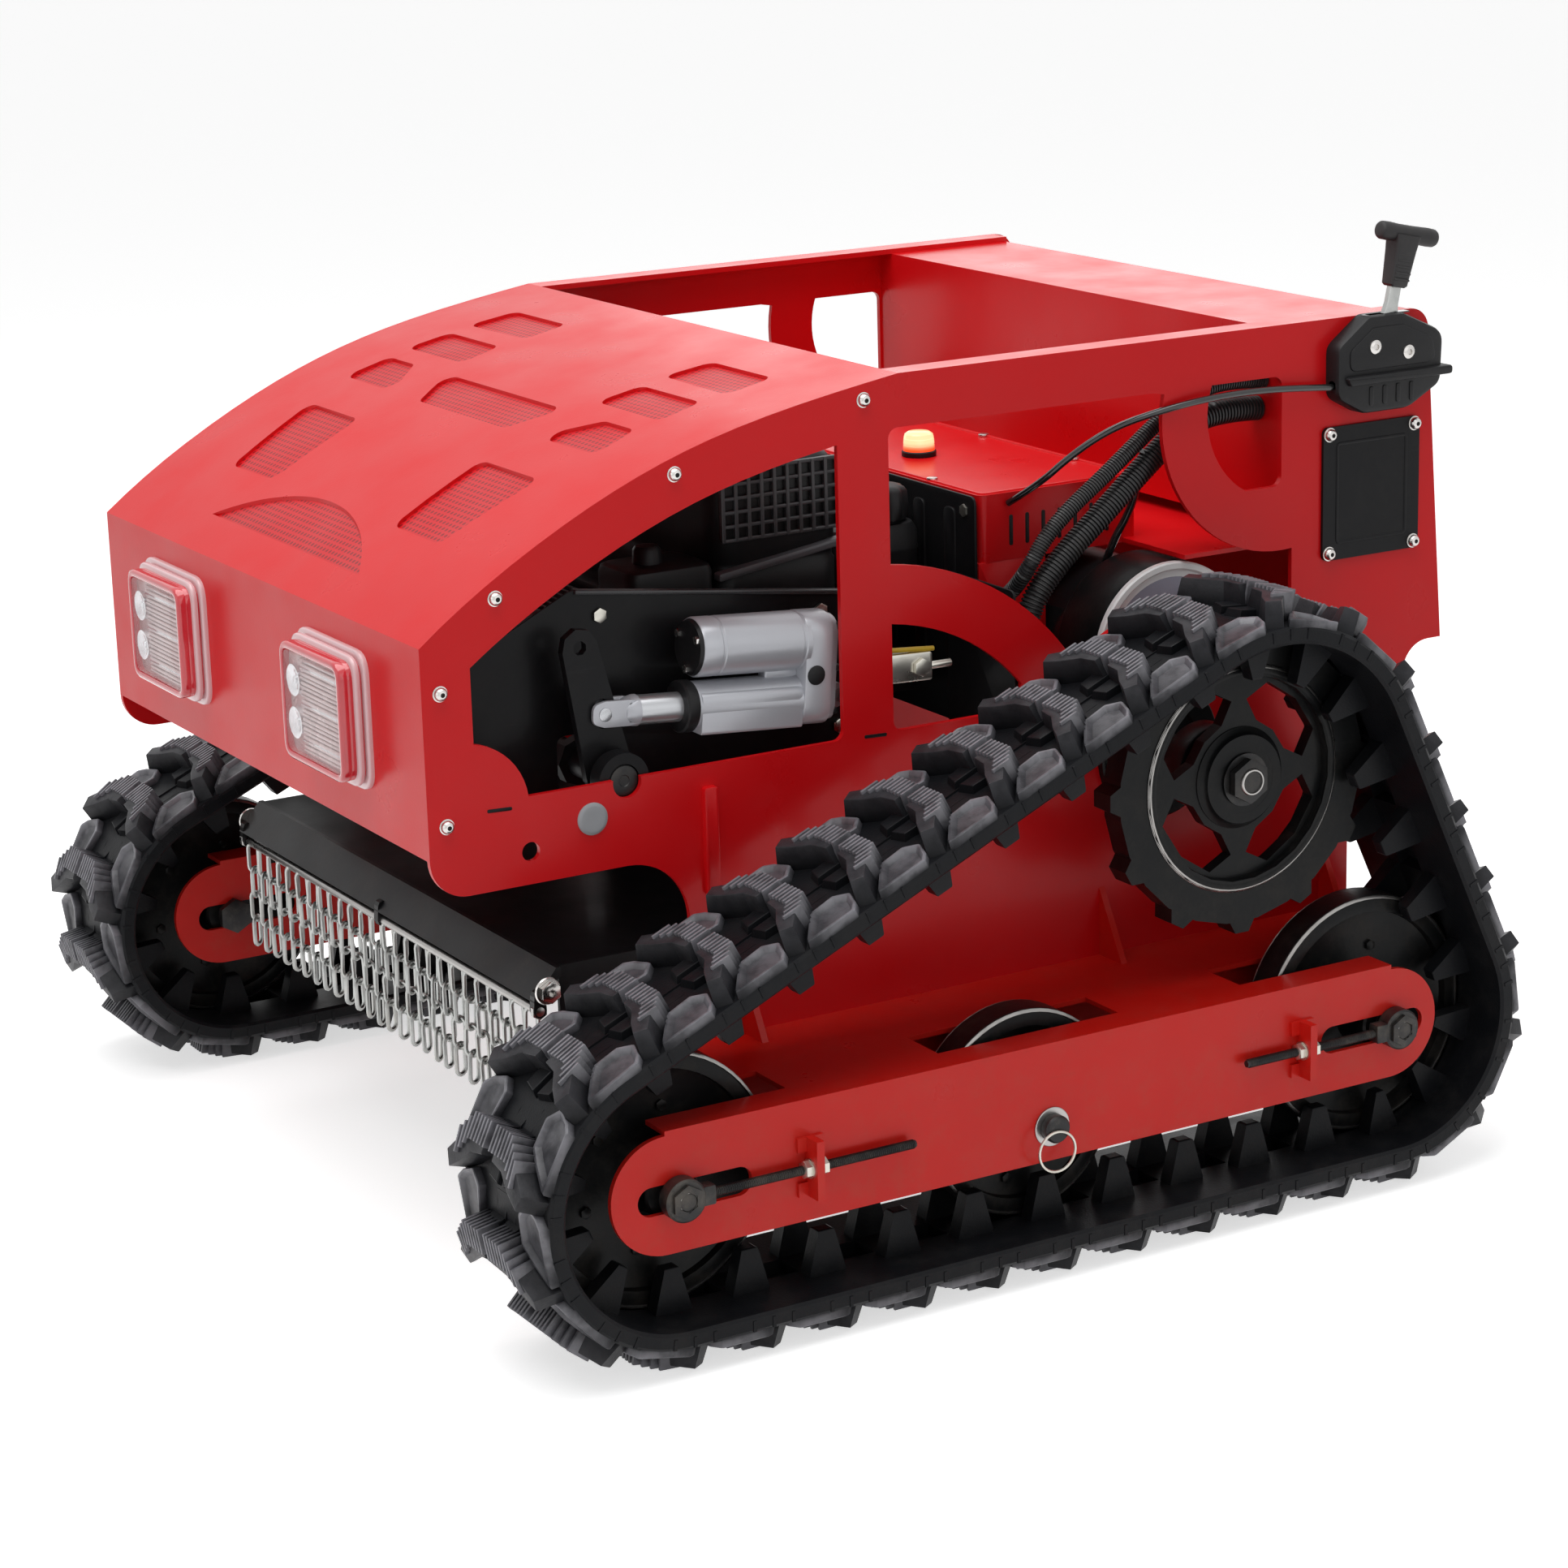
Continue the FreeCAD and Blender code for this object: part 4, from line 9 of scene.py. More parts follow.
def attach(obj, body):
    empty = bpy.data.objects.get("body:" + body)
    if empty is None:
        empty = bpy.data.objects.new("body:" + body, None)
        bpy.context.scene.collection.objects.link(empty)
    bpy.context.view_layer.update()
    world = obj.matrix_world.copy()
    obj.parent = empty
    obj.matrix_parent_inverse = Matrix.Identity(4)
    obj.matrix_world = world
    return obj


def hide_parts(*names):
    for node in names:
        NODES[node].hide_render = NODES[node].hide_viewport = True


# Looks of a remote control tracked lawn mower. Front is -Y, up is +Z, left is +X.
# Sizes are written in millimetres and turned into metres by mm() and at().
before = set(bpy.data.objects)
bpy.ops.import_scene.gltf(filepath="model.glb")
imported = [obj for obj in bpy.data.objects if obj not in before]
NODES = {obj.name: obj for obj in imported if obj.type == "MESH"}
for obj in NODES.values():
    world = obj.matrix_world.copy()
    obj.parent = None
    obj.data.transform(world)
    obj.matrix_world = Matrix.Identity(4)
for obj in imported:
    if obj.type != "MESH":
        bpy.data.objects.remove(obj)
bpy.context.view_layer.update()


def mm(value):
    return value / 1000


def at(x, y, z):
    return Vector((x / 1000, y / 1000, z / 1000))


def linked(name, data):
    obj = bpy.data.objects.new(name, data)
    bpy.context.scene.collection.objects.link(obj)
    return obj


# ---------------- camera, floor, light
def camera_at_photo_angle():
    turn, rise, roll = radians(60.0), radians(15.5), radians(-1.6)
    middle, distance = at(0, 23.1, 304.1), mm(3600.9)
    back = Vector((sin(turn) * cos(rise), -cos(turn) * cos(rise), sin(rise)))
    level = Vector((cos(turn), sin(turn), 0))
    upright = back.cross(level)
    right = level * cos(roll) + upright * sin(roll)
    up = upright * cos(roll) - level * sin(roll)
    data = bpy.data.cameras.new("photo_camera")
    data.sensor_width, data.lens = 36.0, 88.71
    data.clip_start, data.clip_end = 0.05, 60
    camera = linked("photo_camera", data)
    camera.matrix_world = Matrix.Translation(middle + back * distance) @ \
        Matrix((right, up, back)).transposed().to_4x4()
    bpy.context.scene.camera = camera


FLOOR_GLOW = 0.62   # lifts the floor to white for the camera, with the shadow kept
FLOOR_HALF = 45.0   # metres


def soft_box(name, place, size, power):
    data = bpy.data.lights.new(name, "AREA")
    data.shape, data.size, data.size_y, data.energy = "RECTANGLE", size[0], size[1], power
    lamp = linked(name, data)
    lamp.location = place
    towards = Vector((0, 0, 0.35)) - Vector(place)
    lamp.rotation_euler = towards.to_track_quat("-Z", "Y").to_euler()


def put(tree, socket, value):
    if isinstance(value, bpy.types.NodeSocket):
        tree.links.new(value, socket)
    else:
        socket.default_value = value


def feed(tree, node, **inputs):
    """Sets or links a node's inputs, with _ for a space in their names."""
    for key, value in inputs.items():
        put(tree, node.inputs[key.replace("_", " ")], value)
    return node


def add(tree, kind, settings=None, **inputs):
    node = tree.nodes.new(kind)
    for key, value in (settings or {}).items():
        setattr(node, key, value)
    return feed(tree, node, **inputs)


def calc(tree, operation, *values):
    node = tree.nodes.new("ShaderNodeMath")
    node.operation = operation
    for socket, value in zip(node.inputs, values):
        put(tree, socket, value)
    return node.outputs[0]


def between(tree, factor, first, second, way="MIX"):
    node = add(tree, "ShaderNodeMix", {"data_type": "RGBA", "blend_type": way})
    put(tree, node.inputs[0], factor)
    put(tree, node.inputs[6], first)
    put(tree, node.inputs[7], second)
    return node.outputs[2]


def spread(tree, value, low, high, to_low=0.0, to_high=1.0):
    node = add(tree, "ShaderNodeMapRange", {"interpolation_type": "SMOOTHSTEP"}, Value=value,
        From_Min=low, From_Max=high, To_Min=to_low, To_Max=to_high)
    return node.outputs[0]


def object_spot(tree):
    return tree.nodes.new("ShaderNodeTexCoord").outputs["Object"]


def new_material(name):
    material = bpy.data.materials.new(name)
    material.use_nodes = True
    return material, material.node_tree, material.node_tree.nodes["Principled BSDF"]


def studio():
    scene = bpy.context.scene
    scene.view_settings.view_transform = "Standard"
    world = bpy.data.worlds.new("pale_studio")
    scene.world = world
    world.use_nodes = True
    tree = world.node_tree
    tree.nodes.clear()
    path = tree.nodes.new("ShaderNodeLightPath")
    seen = calc(tree, "MAXIMUM", path.outputs["Is Camera Ray"],
        calc(tree, "MAXIMUM", path.outputs["Is Glossy Ray"], path.outputs["Is Transmission Ray"]))
    sky = add(tree, "ShaderNodeBackground", Color=(1, 1, 1, 1), Strength=0.30)
    backdrop = add(tree, "ShaderNodeBackground", Color=(1, 1, 1, 1), Strength=1.0)
    mix = tree.nodes.new("ShaderNodeMixShader")
    for socket, value in zip(mix.inputs, (seen, sky.outputs[0], backdrop.outputs[0])):
        put(tree, socket, value)
    add(tree, "ShaderNodeOutputWorld", Surface=mix.outputs[0])
    soft_box("overhead_sky", (0.3, -0.6, 3.4), (3.2, 3.2), 92)
    soft_box("side_fill", (3.6, 0.5, 1.6), (2.6, 2.0), 7)
    soft_box("front_fill", (0.4, -3.8, 1.4), (2.6, 1.6), 9)
    soft_box("back_fill", (-3.2, 2.6, 1.8), (2.4, 1.8), 12)
    mesh = bpy.data.meshes.new("studio_floor")
    mesh.from_pydata([(x * FLOOR_HALF, y * FLOOR_HALF, 0) for x, y in ((-1, -1), (1, -1), (1, 1),
        (-1, 1))], [], [(0, 1, 2, 3)])
    floor = linked("studio_floor", mesh)
    paint, tree, surface = new_material("floor_paint")
    path = tree.nodes.new("ShaderNodeLightPath")
    seen = calc(tree, "MAXIMUM", path.outputs["Is Camera Ray"], path.outputs["Is Glossy Ray"])
    feed(tree, surface, Base_Color=(0.9, 0.9, 0.9, 1), Roughness=0.85, Emission_Color=(1, 1, 1, 1),
        Emission_Strength=calc(tree, "MULTIPLY", seen, FLOOR_GLOW))
    mesh.materials.append(paint)


# ---------------- shared effects
def effect(name, inputs, outputs):
    tree = bpy.data.node_groups.new(name, "ShaderNodeTree")
    for label, value in inputs:
        colour = isinstance(value, tuple)
        socket = tree.interface.new_socket(label, in_out="INPUT", socket_type="NodeSocketColor"
            if colour else "NodeSocketFloat")
        socket.default_value = value
    for label, kind in outputs:
        tree.interface.new_socket(label, in_out="OUTPUT", socket_type="NodeSocket" + kind)
    given, result = tree.nodes.new("NodeGroupInput"), tree.nodes.new("NodeGroupOutput")
    return tree, given.outputs, result.inputs, object_spot(tree)


def make_tone_drift():
    """Slow change of a colour over a piece, lighter and darker by a share."""
    tree, given, result, spot = effect("tone_drift", [("Color", (0.5, 0.5, 0.5, 1)), ("Size", 5.0),
        ("Share", 0.15)], [("Color", "Color")])
    cloud = add(tree, "ShaderNodeTexNoise", Vector=spot, Scale=given["Size"], Detail=4.0,
        Roughness=0.6)
    gain = calc(tree, "MULTIPLY_ADD", calc(tree, "SUBTRACT", cloud.outputs[0], 0.5),
        calc(tree, "MULTIPLY", given["Share"], 2.0), 1.0)
    grey = add(tree, "ShaderNodeCombineColor", Red=gain, Green=gain, Blue=gain)
    tree.links.new(between(tree, 1.0, given["Color"], grey.outputs[0], "MULTIPLY"),
        result["Color"])
    return tree


def make_field_dust():
    """Dried dust in patches, thicker towards the ground."""
    tree, given, result, spot = effect("field_dust", [("Color", (0.5, 0.5, 0.5, 1)),
        ("Dust Color", (0.30, 0.26, 0.21, 1)), ("Amount", 0.3), ("Reach", 0.3),
        ("Patch Size", 30.0)], [("Color", "Color"), ("Mask", "Float")])
    height = add(tree, "ShaderNodeSeparateXYZ", Vector=spot).outputs["Z"]
    low = spread(tree, height, given["Reach"], 0.0, 0.25, 1.0)
    patch = add(tree, "ShaderNodeTexNoise", Vector=spot, Scale=given["Patch Size"], Detail=6.0,
        Roughness=0.7)
    mask = calc(tree, "MULTIPLY", spread(tree, patch.outputs[0], 0.42, 0.72), low)
    mask = calc(tree, "MULTIPLY", mask, given["Amount"])
    tree.links.new(between(tree, mask, given["Color"], given["Dust Color"]), result["Color"])
    tree.links.new(mask, result["Mask"])
    return tree


def make_surface_grain():
    """Height of a fine grain on a coarser wave, with a roughness that drifts with it."""
    tree, given, result, spot = effect("surface_grain",
        [("Grain Size", 800.0), ("Wave Size", 90.0), ("Wave Share", 0.4), ("Roughness", 0.4),
        ("Drift", 0.08)], [("Height", "Float"), ("Roughness", "Float")])
    fine = add(tree, "ShaderNodeTexNoise", Vector=spot, Scale=given["Grain Size"], Detail=2.0)
    wave = add(tree, "ShaderNodeTexNoise", Vector=spot, Scale=given["Wave Size"], Detail=1.0)
    tree.links.new(calc(tree, "MULTIPLY_ADD", wave.outputs[0], given["Wave Share"],
        fine.outputs[0]), result["Height"])
    smear = add(tree, "ShaderNodeTexNoise", Vector=spot, Scale=14.0, Detail=5.0)
    tree.links.new(calc(tree, "MULTIPLY_ADD", calc(tree, "SUBTRACT", smear.outputs[0], 0.5),
        calc(tree, "MULTIPLY", given["Drift"], 4.0), given["Roughness"]), result["Roughness"])
    return tree


def make_rub_marks():
    """Thin rubbed streaks, drawn out along one direction."""
    tree, given, result, spot = effect("rub_marks", [("Size", 60.0), ("Stretch", 12.0),
        ("Share", 0.2)], [("Mask", "Float")])
    parts = add(tree, "ShaderNodeSeparateXYZ", Vector=spot)
    drawn = add(tree, "ShaderNodeCombineXYZ", X=parts.outputs["X"],
        Y=calc(tree, "DIVIDE", parts.outputs["Y"], given["Stretch"]), Z=parts.outputs["Z"])
    lines = add(tree, "ShaderNodeTexNoise", Vector=drawn.outputs[0], Scale=given["Size"],
        Detail=7.0, Roughness=0.8)
    tree.links.new(calc(tree, "MULTIPLY", spread(tree, lines.outputs[0], 0.60, 0.78),
        given["Share"]), result["Mask"])
    return tree


EFFECTS = {tree.name: tree for tree in (make_tone_drift(), make_field_dust(), make_surface_grain(),
    make_rub_marks())}


def use(tree, name, **inputs):
    return add(tree, "ShaderNodeGroup", {"node_tree": EFFECTS[name]}, **inputs).outputs


# ---------------- finishes
FINISHES = {}
SOOT, RUBBED_BLACK = (0.10, 0.09, 0.08), (0.08, 0.08, 0.08)


def finish(name, colour, roughness, metallic=0.0, coat=0.0, coat_roughness=0.1, drift=0.12,
        drift_size=6.0, dust=0.2, dust_colour=(0.30, 0.26, 0.21), reach=0.35, grain=700.0,
        wave=80.0, wave_share=0.4, depth=0.00006, rub=0.0, rub_colour=(0.5, 0.5, 0.5), level=0.5):
    """A painted, cast, plated or moulded finish made from the shared effects."""
    material, tree, surface = new_material(name)
    tone = use(tree, "tone_drift", Color=(*colour, 1), Size=drift_size, Share=drift)["Color"]
    if rub:
        marks = use(tree, "rub_marks", Share=rub)["Mask"]
        tone = between(tree, marks, tone, (*rub_colour, 1))
    dusty = use(tree, "field_dust", Color=tone, Dust_Color=(*dust_colour, 1), Amount=dust,
        Reach=reach)
    skin = use(tree, "surface_grain", Grain_Size=grain, Wave_Size=wave, Wave_Share=wave_share,
        Roughness=roughness)
    rough = calc(tree, "MULTIPLY_ADD", dusty["Mask"], 0.5, skin["Roughness"])
    bump = add(tree, "ShaderNodeBump", Height=skin["Height"], Distance=depth, Strength=1.0)
    feed(tree, surface, Metallic=metallic, Coat_Weight=coat, Coat_Roughness=coat_roughness,
        Specular_IOR_Level=level, Base_Color=dusty["Color"], Roughness=calc(tree, "MINIMUM", rough,
        0.95), Normal=bump.outputs[0])
    FINISHES[name] = material
    return tree, surface, dusty["Color"]


def make_finishes():
    finish("red_powder_coat", (0.68, 0.005, 0.008), 0.32, coat=0.08, coat_roughness=0.14,
        drift=0.06, drift_size=3.0, dust=0.05, dust_colour=(0.42, 0.08, 0.06), reach=0.5,
        grain=420.0, wave=60.0, depth=0.00005, level=0.20)
    finish("orange_red_coat", (0.64, 0.012, 0.007), 0.33, coat=0.08, coat_roughness=0.16,
        drift=0.10, drift_size=4.0, dust=0.22, dust_colour=(0.36, 0.12, 0.08), reach=0.3,
        grain=420.0, wave=60.0, depth=0.00006, rub=0.2, rub_colour=(0.28, 0.02, 0.012), level=0.24)
    finish("black_satin_coat", (0.007, 0.007, 0.008), 0.40, coat=0.03, dust=0.15, dust_colour=SOOT,
        grain=500.0, depth=0.00006, rub=0.10, rub_colour=RUBBED_BLACK, level=0.14)
    finish("grey_paint", (0.10, 0.105, 0.115), 0.45, dust=0.25, grain=500.0)
    finish("skirt_coat", (0.008, 0.008, 0.009), 0.38, coat=0.05, dust=0.3, reach=0.4,
        dust_colour=(0.12, 0.10, 0.085), grain=300.0, rub=0.3, rub_colour=RUBBED_BLACK, level=0.2)
    finish("zinc_plate", (0.58, 0.56, 0.50), 0.30, metallic=1.0, drift=0.2, drift_size=30.0,
        dust=0.25, grain=900.0, depth=0.00003)
    finish("black_wheel_paint", (0.005, 0.0055, 0.006), 0.36, coat=0.02, dust=0.2, reach=0.5,
        dust_colour=(0.10, 0.085, 0.07), grain=260.0, wave=40.0, depth=0.00014, rub=0.15,
        rub_colour=(0.08, 0.075, 0.07), level=0.14)
    finish("worn_wheel_steel", (0.30, 0.29, 0.28), 0.30, metallic=1.0, drift=0.4, drift_size=26.0,
        dust=0.6, dust_colour=(0.05, 0.04, 0.035), grain=600.0, rub=0.6,
        rub_colour=(0.05, 0.04, 0.03))
    finish("turned_steel", (0.40, 0.39, 0.38), 0.30, metallic=1.0, drift=0.15, drift_size=25.0,
        dust=0.35, grain=900.0, rub=0.2, rub_colour=(0.15, 0.10, 0.07))
    finish("black_oxide", (0.020, 0.020, 0.021), 0.38, metallic=0.55, dust=0.3, grain=700.0,
        rub=0.3, rub_colour=(0.16, 0.15, 0.14))
    finish("silver_enamel", (0.52, 0.53, 0.57), 0.36, metallic=0.25, coat=0.2, drift=0.06,
        dust=0.15, grain=600.0, depth=0.00005)
    finish("engine_black", (0.007, 0.0068, 0.007), 0.40, coat=0.03, drift=0.2, dust=0.2,
        dust_colour=SOOT, grain=420.0, depth=0.00012, level=0.2)
    finish("moulded_black", (0.010, 0.010, 0.011), 0.44, drift=0.12, dust=0.15, grain=620.0,
        dust_colour=SOOT, depth=0.00010, level=0.25)
    finish("moulded_grey_black", (0.045, 0.046, 0.050), 0.42, drift=0.12, dust=0.25, grain=620.0,
        depth=0.00008)
    finish("gloss_black", (0.010, 0.010, 0.011), 0.16, coat=0.4, dust=0.12, grain=500.0,
        depth=0.00002)
    finish("white_enamel", (0.80, 0.79, 0.79), 0.34, coat=0.15, drift=0.05, dust=0.2,
        dust_colour=(0.35, 0.30, 0.26), grain=500.0)
    finish("grey_moulding", (0.34, 0.35, 0.37), 0.42, drift=0.06, dust=0.2, grain=620.0)
    finish("galvanised_steel", (0.42, 0.43, 0.42), 0.34, metallic=1.0, drift=0.35, drift_size=60.0,
        dust=0.35, reach=0.5, grain=500.0, depth=0.00008, rub=0.25, rub_colour=(0.16, 0.15, 0.13))
    finish("soft_grip_rubber", (0.016, 0.015, 0.016), 0.55, dust=0.15, grain=900.0, depth=0.00012,
        level=0.4)
    finish("hose_rubber", (0.011, 0.011, 0.012), 0.42, dust=0.2, grain=900.0, depth=0.00008)
    finish("chrome_ring", (0.75, 0.76, 0.78), 0.14, metallic=1.0, dust=0.05, grain=600.0,
        depth=0.00001)
    finish("lilac_paint", (0.30, 0.29, 0.36), 0.42, metallic=0.2, drift=0.12, dust=0.3,
        grain=420.0, rub=0.2, rub_colour=(0.12, 0.11, 0.12))
    finish("bright_screw", (0.62, 0.60, 0.58), 0.24, metallic=1.0, drift=0.15, drift_size=40.0,
        dust=0.15, grain=900.0, depth=0.00002)
    finish("frosted_flange", (0.78, 0.52, 0.54), 0.22, coat=0.6, drift=0.10, dust=0.08,
        grain=300.0, depth=0.00003)
    finish("red_lens", (0.62, 0.02, 0.035), 0.14, coat=0.9, coat_roughness=0.04, drift=0.15,
        drift_size=20.0, dust=0.05, grain=300.0, depth=0.00003)
    finish("ribbed_reflector", (0.66, 0.50, 0.49), 0.24, metallic=0.15, coat=0.5, drift=0.20,
        drift_size=30.0, dust=0.05, grain=400.0, depth=0.00006)
    finish("yellow_sleeve", (0.62, 0.40, 0.02), 0.4, drift=0.1, dust=0.1, grain=500.0)
    finish("brushed_rod", (0.50, 0.51, 0.53), 0.30, metallic=0.8, drift=0.1, dust=0.08,
        grain=700.0, depth=0.00003)
    finish("engine_fins", (0.10, 0.10, 0.105), 0.40, metallic=0.8, drift=0.2, dust=0.3,
        grain=300.0, depth=0.0002)
    finish("burnt_steel", (0.26, 0.20, 0.17), 0.42, metallic=0.9, drift=0.35, drift_size=16.0,
        dust=0.3, grain=300.0, rub=0.3, rub_colour=(0.10, 0.05, 0.03))
    track_rubber()
    perforated_mesh()
    lamp_glass()
    beacon_plastic()


def track_rubber():
    """Tread rubber: blue-grey, paler where the lugs rub and with a painted highlight on the lug
    tops and pad lips, dusty in the hollows.
    """
    tree, surface, before = finish("track_rubber", (0.0065, 0.007, 0.0085), 0.40, drift=0.25,
        drift_size=16.0, dust=0.18, dust_colour=(0.05, 0.046, 0.043), reach=0.6, grain=520.0,
        wave=110.0, depth=0.00016)
    wear_and_highlight = add(tree, "ShaderNodeAttribute", {"attribute_name": "tread_wear_and_highlight"}).outputs["Fac"]
    patch = add(tree, "ShaderNodeTexNoise", Scale=70.0, Detail=5.0, Vector=object_spot(tree))
    mask = calc(tree, "MULTIPLY", wear_and_highlight, spread(tree, patch.outputs[0], 0.25, 0.65, 0.45, 1.0))
    # the pale grey over this mask is partly real wear and partly painted highlight on the lug tops
    # and pad lips
    feed(tree, surface, Base_Color=between(tree, mask, before, (0.20, 0.197, 0.22, 1)),
        Specular_IOR_Level=spread(tree, mask, 0.0, 0.6, 0.13, 0.6))


def perforated_mesh():
    """Red sheet with rows of small round holes, drawn as darker red dots of painted shade."""
    tree, surface, before = finish("mesh_coat", (0.60, 0.006, 0.012), 0.42, dust=0.05, grain=600.0,
        level=0.3)
    spot = add(tree, "ShaderNodeSeparateXYZ", Vector=object_spot(tree))
    pitch, row, mask = mm(6.0), 1.732, None

    def from_hole(axis, size, shift):
        turn = calc(tree, "ADD", calc(tree, "DIVIDE", spot.outputs[axis], size), shift)
        return calc(tree, "SUBTRACT", calc(tree, "FRACT", turn), 0.5)

    for shift in (0.0, 0.5):
        du = from_hole("X", pitch, shift)
        dv = calc(tree, "MULTIPLY", from_hole("Y", pitch * row, shift), row)
        reach = calc(tree, "SQRT", calc(tree, "ADD", calc(tree, "MULTIPLY", du, du),
            calc(tree, "MULTIPLY", dv, dv)))
        hole_shade = spread(tree, reach, 0.30, 0.24)
        mask = hole_shade if mask is None else calc(tree, "MAXIMUM", mask, hole_shade)
    # the darker red in each hole is painted shade, not a cut hole
    feed(tree, surface, Base_Color=between(tree, mask, before, (0.24, 0.003, 0.005, 1)))


def lamp_glass():
    """Clear moulding: mostly see-through, hazier in places."""
    FINISHES["clear_lens"], tree, surface = new_material("clear_lens")
    haze = add(tree, "ShaderNodeTexNoise", Vector=object_spot(tree), Scale=60.0, Detail=5.0)
    tone = between(tree, spread(tree, haze.outputs[0], 0.3, 0.8), (0.92, 0.84, 0.85, 1),
        (0.86, 0.72, 0.74, 1))
    feed(tree, surface, Roughness=0.06, Base_Color=tone, Alpha=spread(tree, haze.outputs[0], 0.3,
        0.8, 0.10, 0.22))


def beacon_plastic():
    """Lit dome, paler towards its top."""
    tree, surface, _ = finish("lit_beacon", (0.75, 0.10, 0.02), 0.2, coat=0.5, dust=0.05,
        grain=400.0, depth=0.00002)
    height = add(tree, "ShaderNodeSeparateXYZ", Vector=object_spot(tree)).outputs["Z"]
    glow = spread(tree, height, mm(612), mm(620))
    feed(tree, surface, Emission_Strength=1.1, Emission_Color=between(tree, glow,
        (0.9, 0.06, 0.01, 1), (1.0, 0.78, 0.42, 1)))


# CAD nodes that are shown as they are; the others are replaced by a piece below.
NODE_FINISHES = {"red_powder_coat": ["side_plate_left", "side_plate_right", "hood_panel",
    "rear_box", "cross_bar", "control_box"], "orange_red_coat": ["track_frame_left",
    "track_frame_right"], "mesh_coat": ["hood_mesh"], "black_satin_coat": ["cover_plates",
    "front_arm", "rear_arm", "deck_shell", "spindle_housing"], "skirt_coat": ["skirt_plate"],
    "turned_steel": ["blade_disc", "swing_blades"], "black_wheel_paint": ["sprocket_left",
    "sprocket_right"],}


def coat(mesh, name):
    mesh.materials.clear()
    mesh.materials.append(FINISHES[name])


def dress_nodes():
    """Finishes of the CAD nodes that stay in sight."""
    for name, nodes in NODE_FINISHES.items():
        for node in nodes:
            coat(NODES[node].data, name)


# ---------------- mesh tools, in millimetres
X, Y, Z = Vector((1, 0, 0)), Vector((0, 1, 0)), Vector((0, 0, 1))


def circle(count, radius, start=0.0):
    """Offsets of places spaced evenly round a circle."""
    angles = [start + 2 * pi * k / count for k in range(count)]
    return [(radius * cos(a), radius * sin(a)) for a in angles]


def axes_about(axis):
    along = Vector(axis).normalized()
    up = Z if abs(along.z) < 0.9 else Y
    over = (up - along * along.dot(up)).normalized()
    return over, along.cross(over), along


def skin(bm, rings, tint=0, ends=True, loop=False):
    """Faces between rings of points; a ring of one point closes to a tip."""
    made = [[bm.verts.new(point) for point in ring] for ring in rings]
    pairs = list(zip(made, made[1:])) + ([(made[-1], made[0])] if loop else [])
    for low, high in pairs:
        count = max(len(low), len(high))
        for i in range(count):
            j = (i + 1) % count
            corners = [low[i % len(low)], low[j % len(low)], high[j % len(high)],
                high[i % len(high)]]
            corners = list(dict.fromkeys(corners))
            if len(corners) > 2:
                bm.faces.new(corners).material_index = tint
    if ends and not loop:
        for ring in (made[0], made[-1]):
            if len(ring) > 2:
                bm.faces.new(ring).material_index = tint
    return made


def lathe(bm, centre, axis, profile, tint=0, steps=40, loop=False):
    """Turned shape: profile points are (along the axis, radius)."""
    over, side, along = axes_about(axis)
    rings = []
    for reach, radius in profile:
        middle = Vector(centre) + along * reach
        if radius < 0.01:
            rings.append([middle])
            continue
        rings.append([middle + over * c + side * s for c, s in circle(steps, radius)])
    skin(bm, rings, tint, True, loop)


def soft_rod(bm, centre, axis, radius, length, tint=0, edge=1.5, steps=32):
    lathe(bm, centre, axis, [(0, radius - edge), (edge * 0.3, radius - edge * 0.3), (edge, radius),
        (length - edge, radius), (length - edge * 0.3, radius - edge * 0.3),
        (length, radius - edge)], tint, steps)


def nut(bm, centre, axis, flats, height, tint=0, bore=0.0):
    """Hexagon with its corners turned off, and a bore where one is given."""
    corner = flats / cos(pi / 6) / 2
    low, high = height * 0.12, height * 0.88
    profile = [(0, flats * 0.47), (low, corner), (high, corner), (height, flats * 0.47)]
    if bore:
        profile += [(height, bore), (height * 0.4, bore), (height * 0.4, 0)]
    lathe(bm, centre, axis, profile, tint, 6)


def rounded(points, radius, steps=4):
    """Outline with its corners rounded; a point may carry its own radius."""
    result = []
    for i, corner in enumerate(points):
        size = corner[2] if len(corner) > 2 else radius
        here = Vector(corner[:2])
        before, after = Vector(points[i - 1][:2]), Vector(points[(i + 1) % len(points)][:2])
        back, ahead = (before - here).normalized(), (after - here).normalized()
        half = acos(max(-1, min(1, back.dot(ahead)))) / 2
        if size < 0.01 or half > 1.55:
            result.append(tuple(here))
            continue
        reach = min(size / tan(half), (before - here).length / 2, (after - here).length / 2)
        for k in range(steps + 1):
            t = k / steps
            spot = (here + back * reach) * (1 - t) ** 2 + here * (2 * t * (1 - t)) + \
                (here + ahead * reach) * t ** 2
            result.append(tuple(spot))
    return result


def box_line(a0, a1, b0, b1, side=1):
    return [(side * a0, b0), (side * a1, b0), (side * a1, b1), (side * a0, b1)]


def oblong(a0, a1, b0, b1, radius, steps=4):
    return rounded(box_line(a0, a1, b0, b1), radius, steps)


def inwards(points, size):
    """Outline moved in by a size, with its corners kept."""
    area = sum(a[0] * b[1] - b[0] * a[1] for a, b in zip(points, points[1:] + points[:1]))
    sign = 1 if area > 0 else -1
    result = []
    for i, here in enumerate(points):
        before, after = Vector(points[i - 1]), Vector(points[(i + 1) % len(points)])
        way_in = (Vector(here) - before).normalized()
        way_out = (after - Vector(here)).normalized()
        first = Vector((-way_in.y, way_in.x)) * sign
        second = Vector((-way_out.y, way_out.x)) * sign
        both = first + second
        both = both / max(both.length_squared / 2, 0.3)
        result.append(tuple(Vector(here) + both * size))
    return result


def stack(bm, place, rings, tint=0, ends=True):
    """Skin over (outline, height) pairs; place turns (a, b, height) into a point."""
    skin(bm, [[place(a, b, height) for a, b in outline] for outline, height in rings], tint, ends)


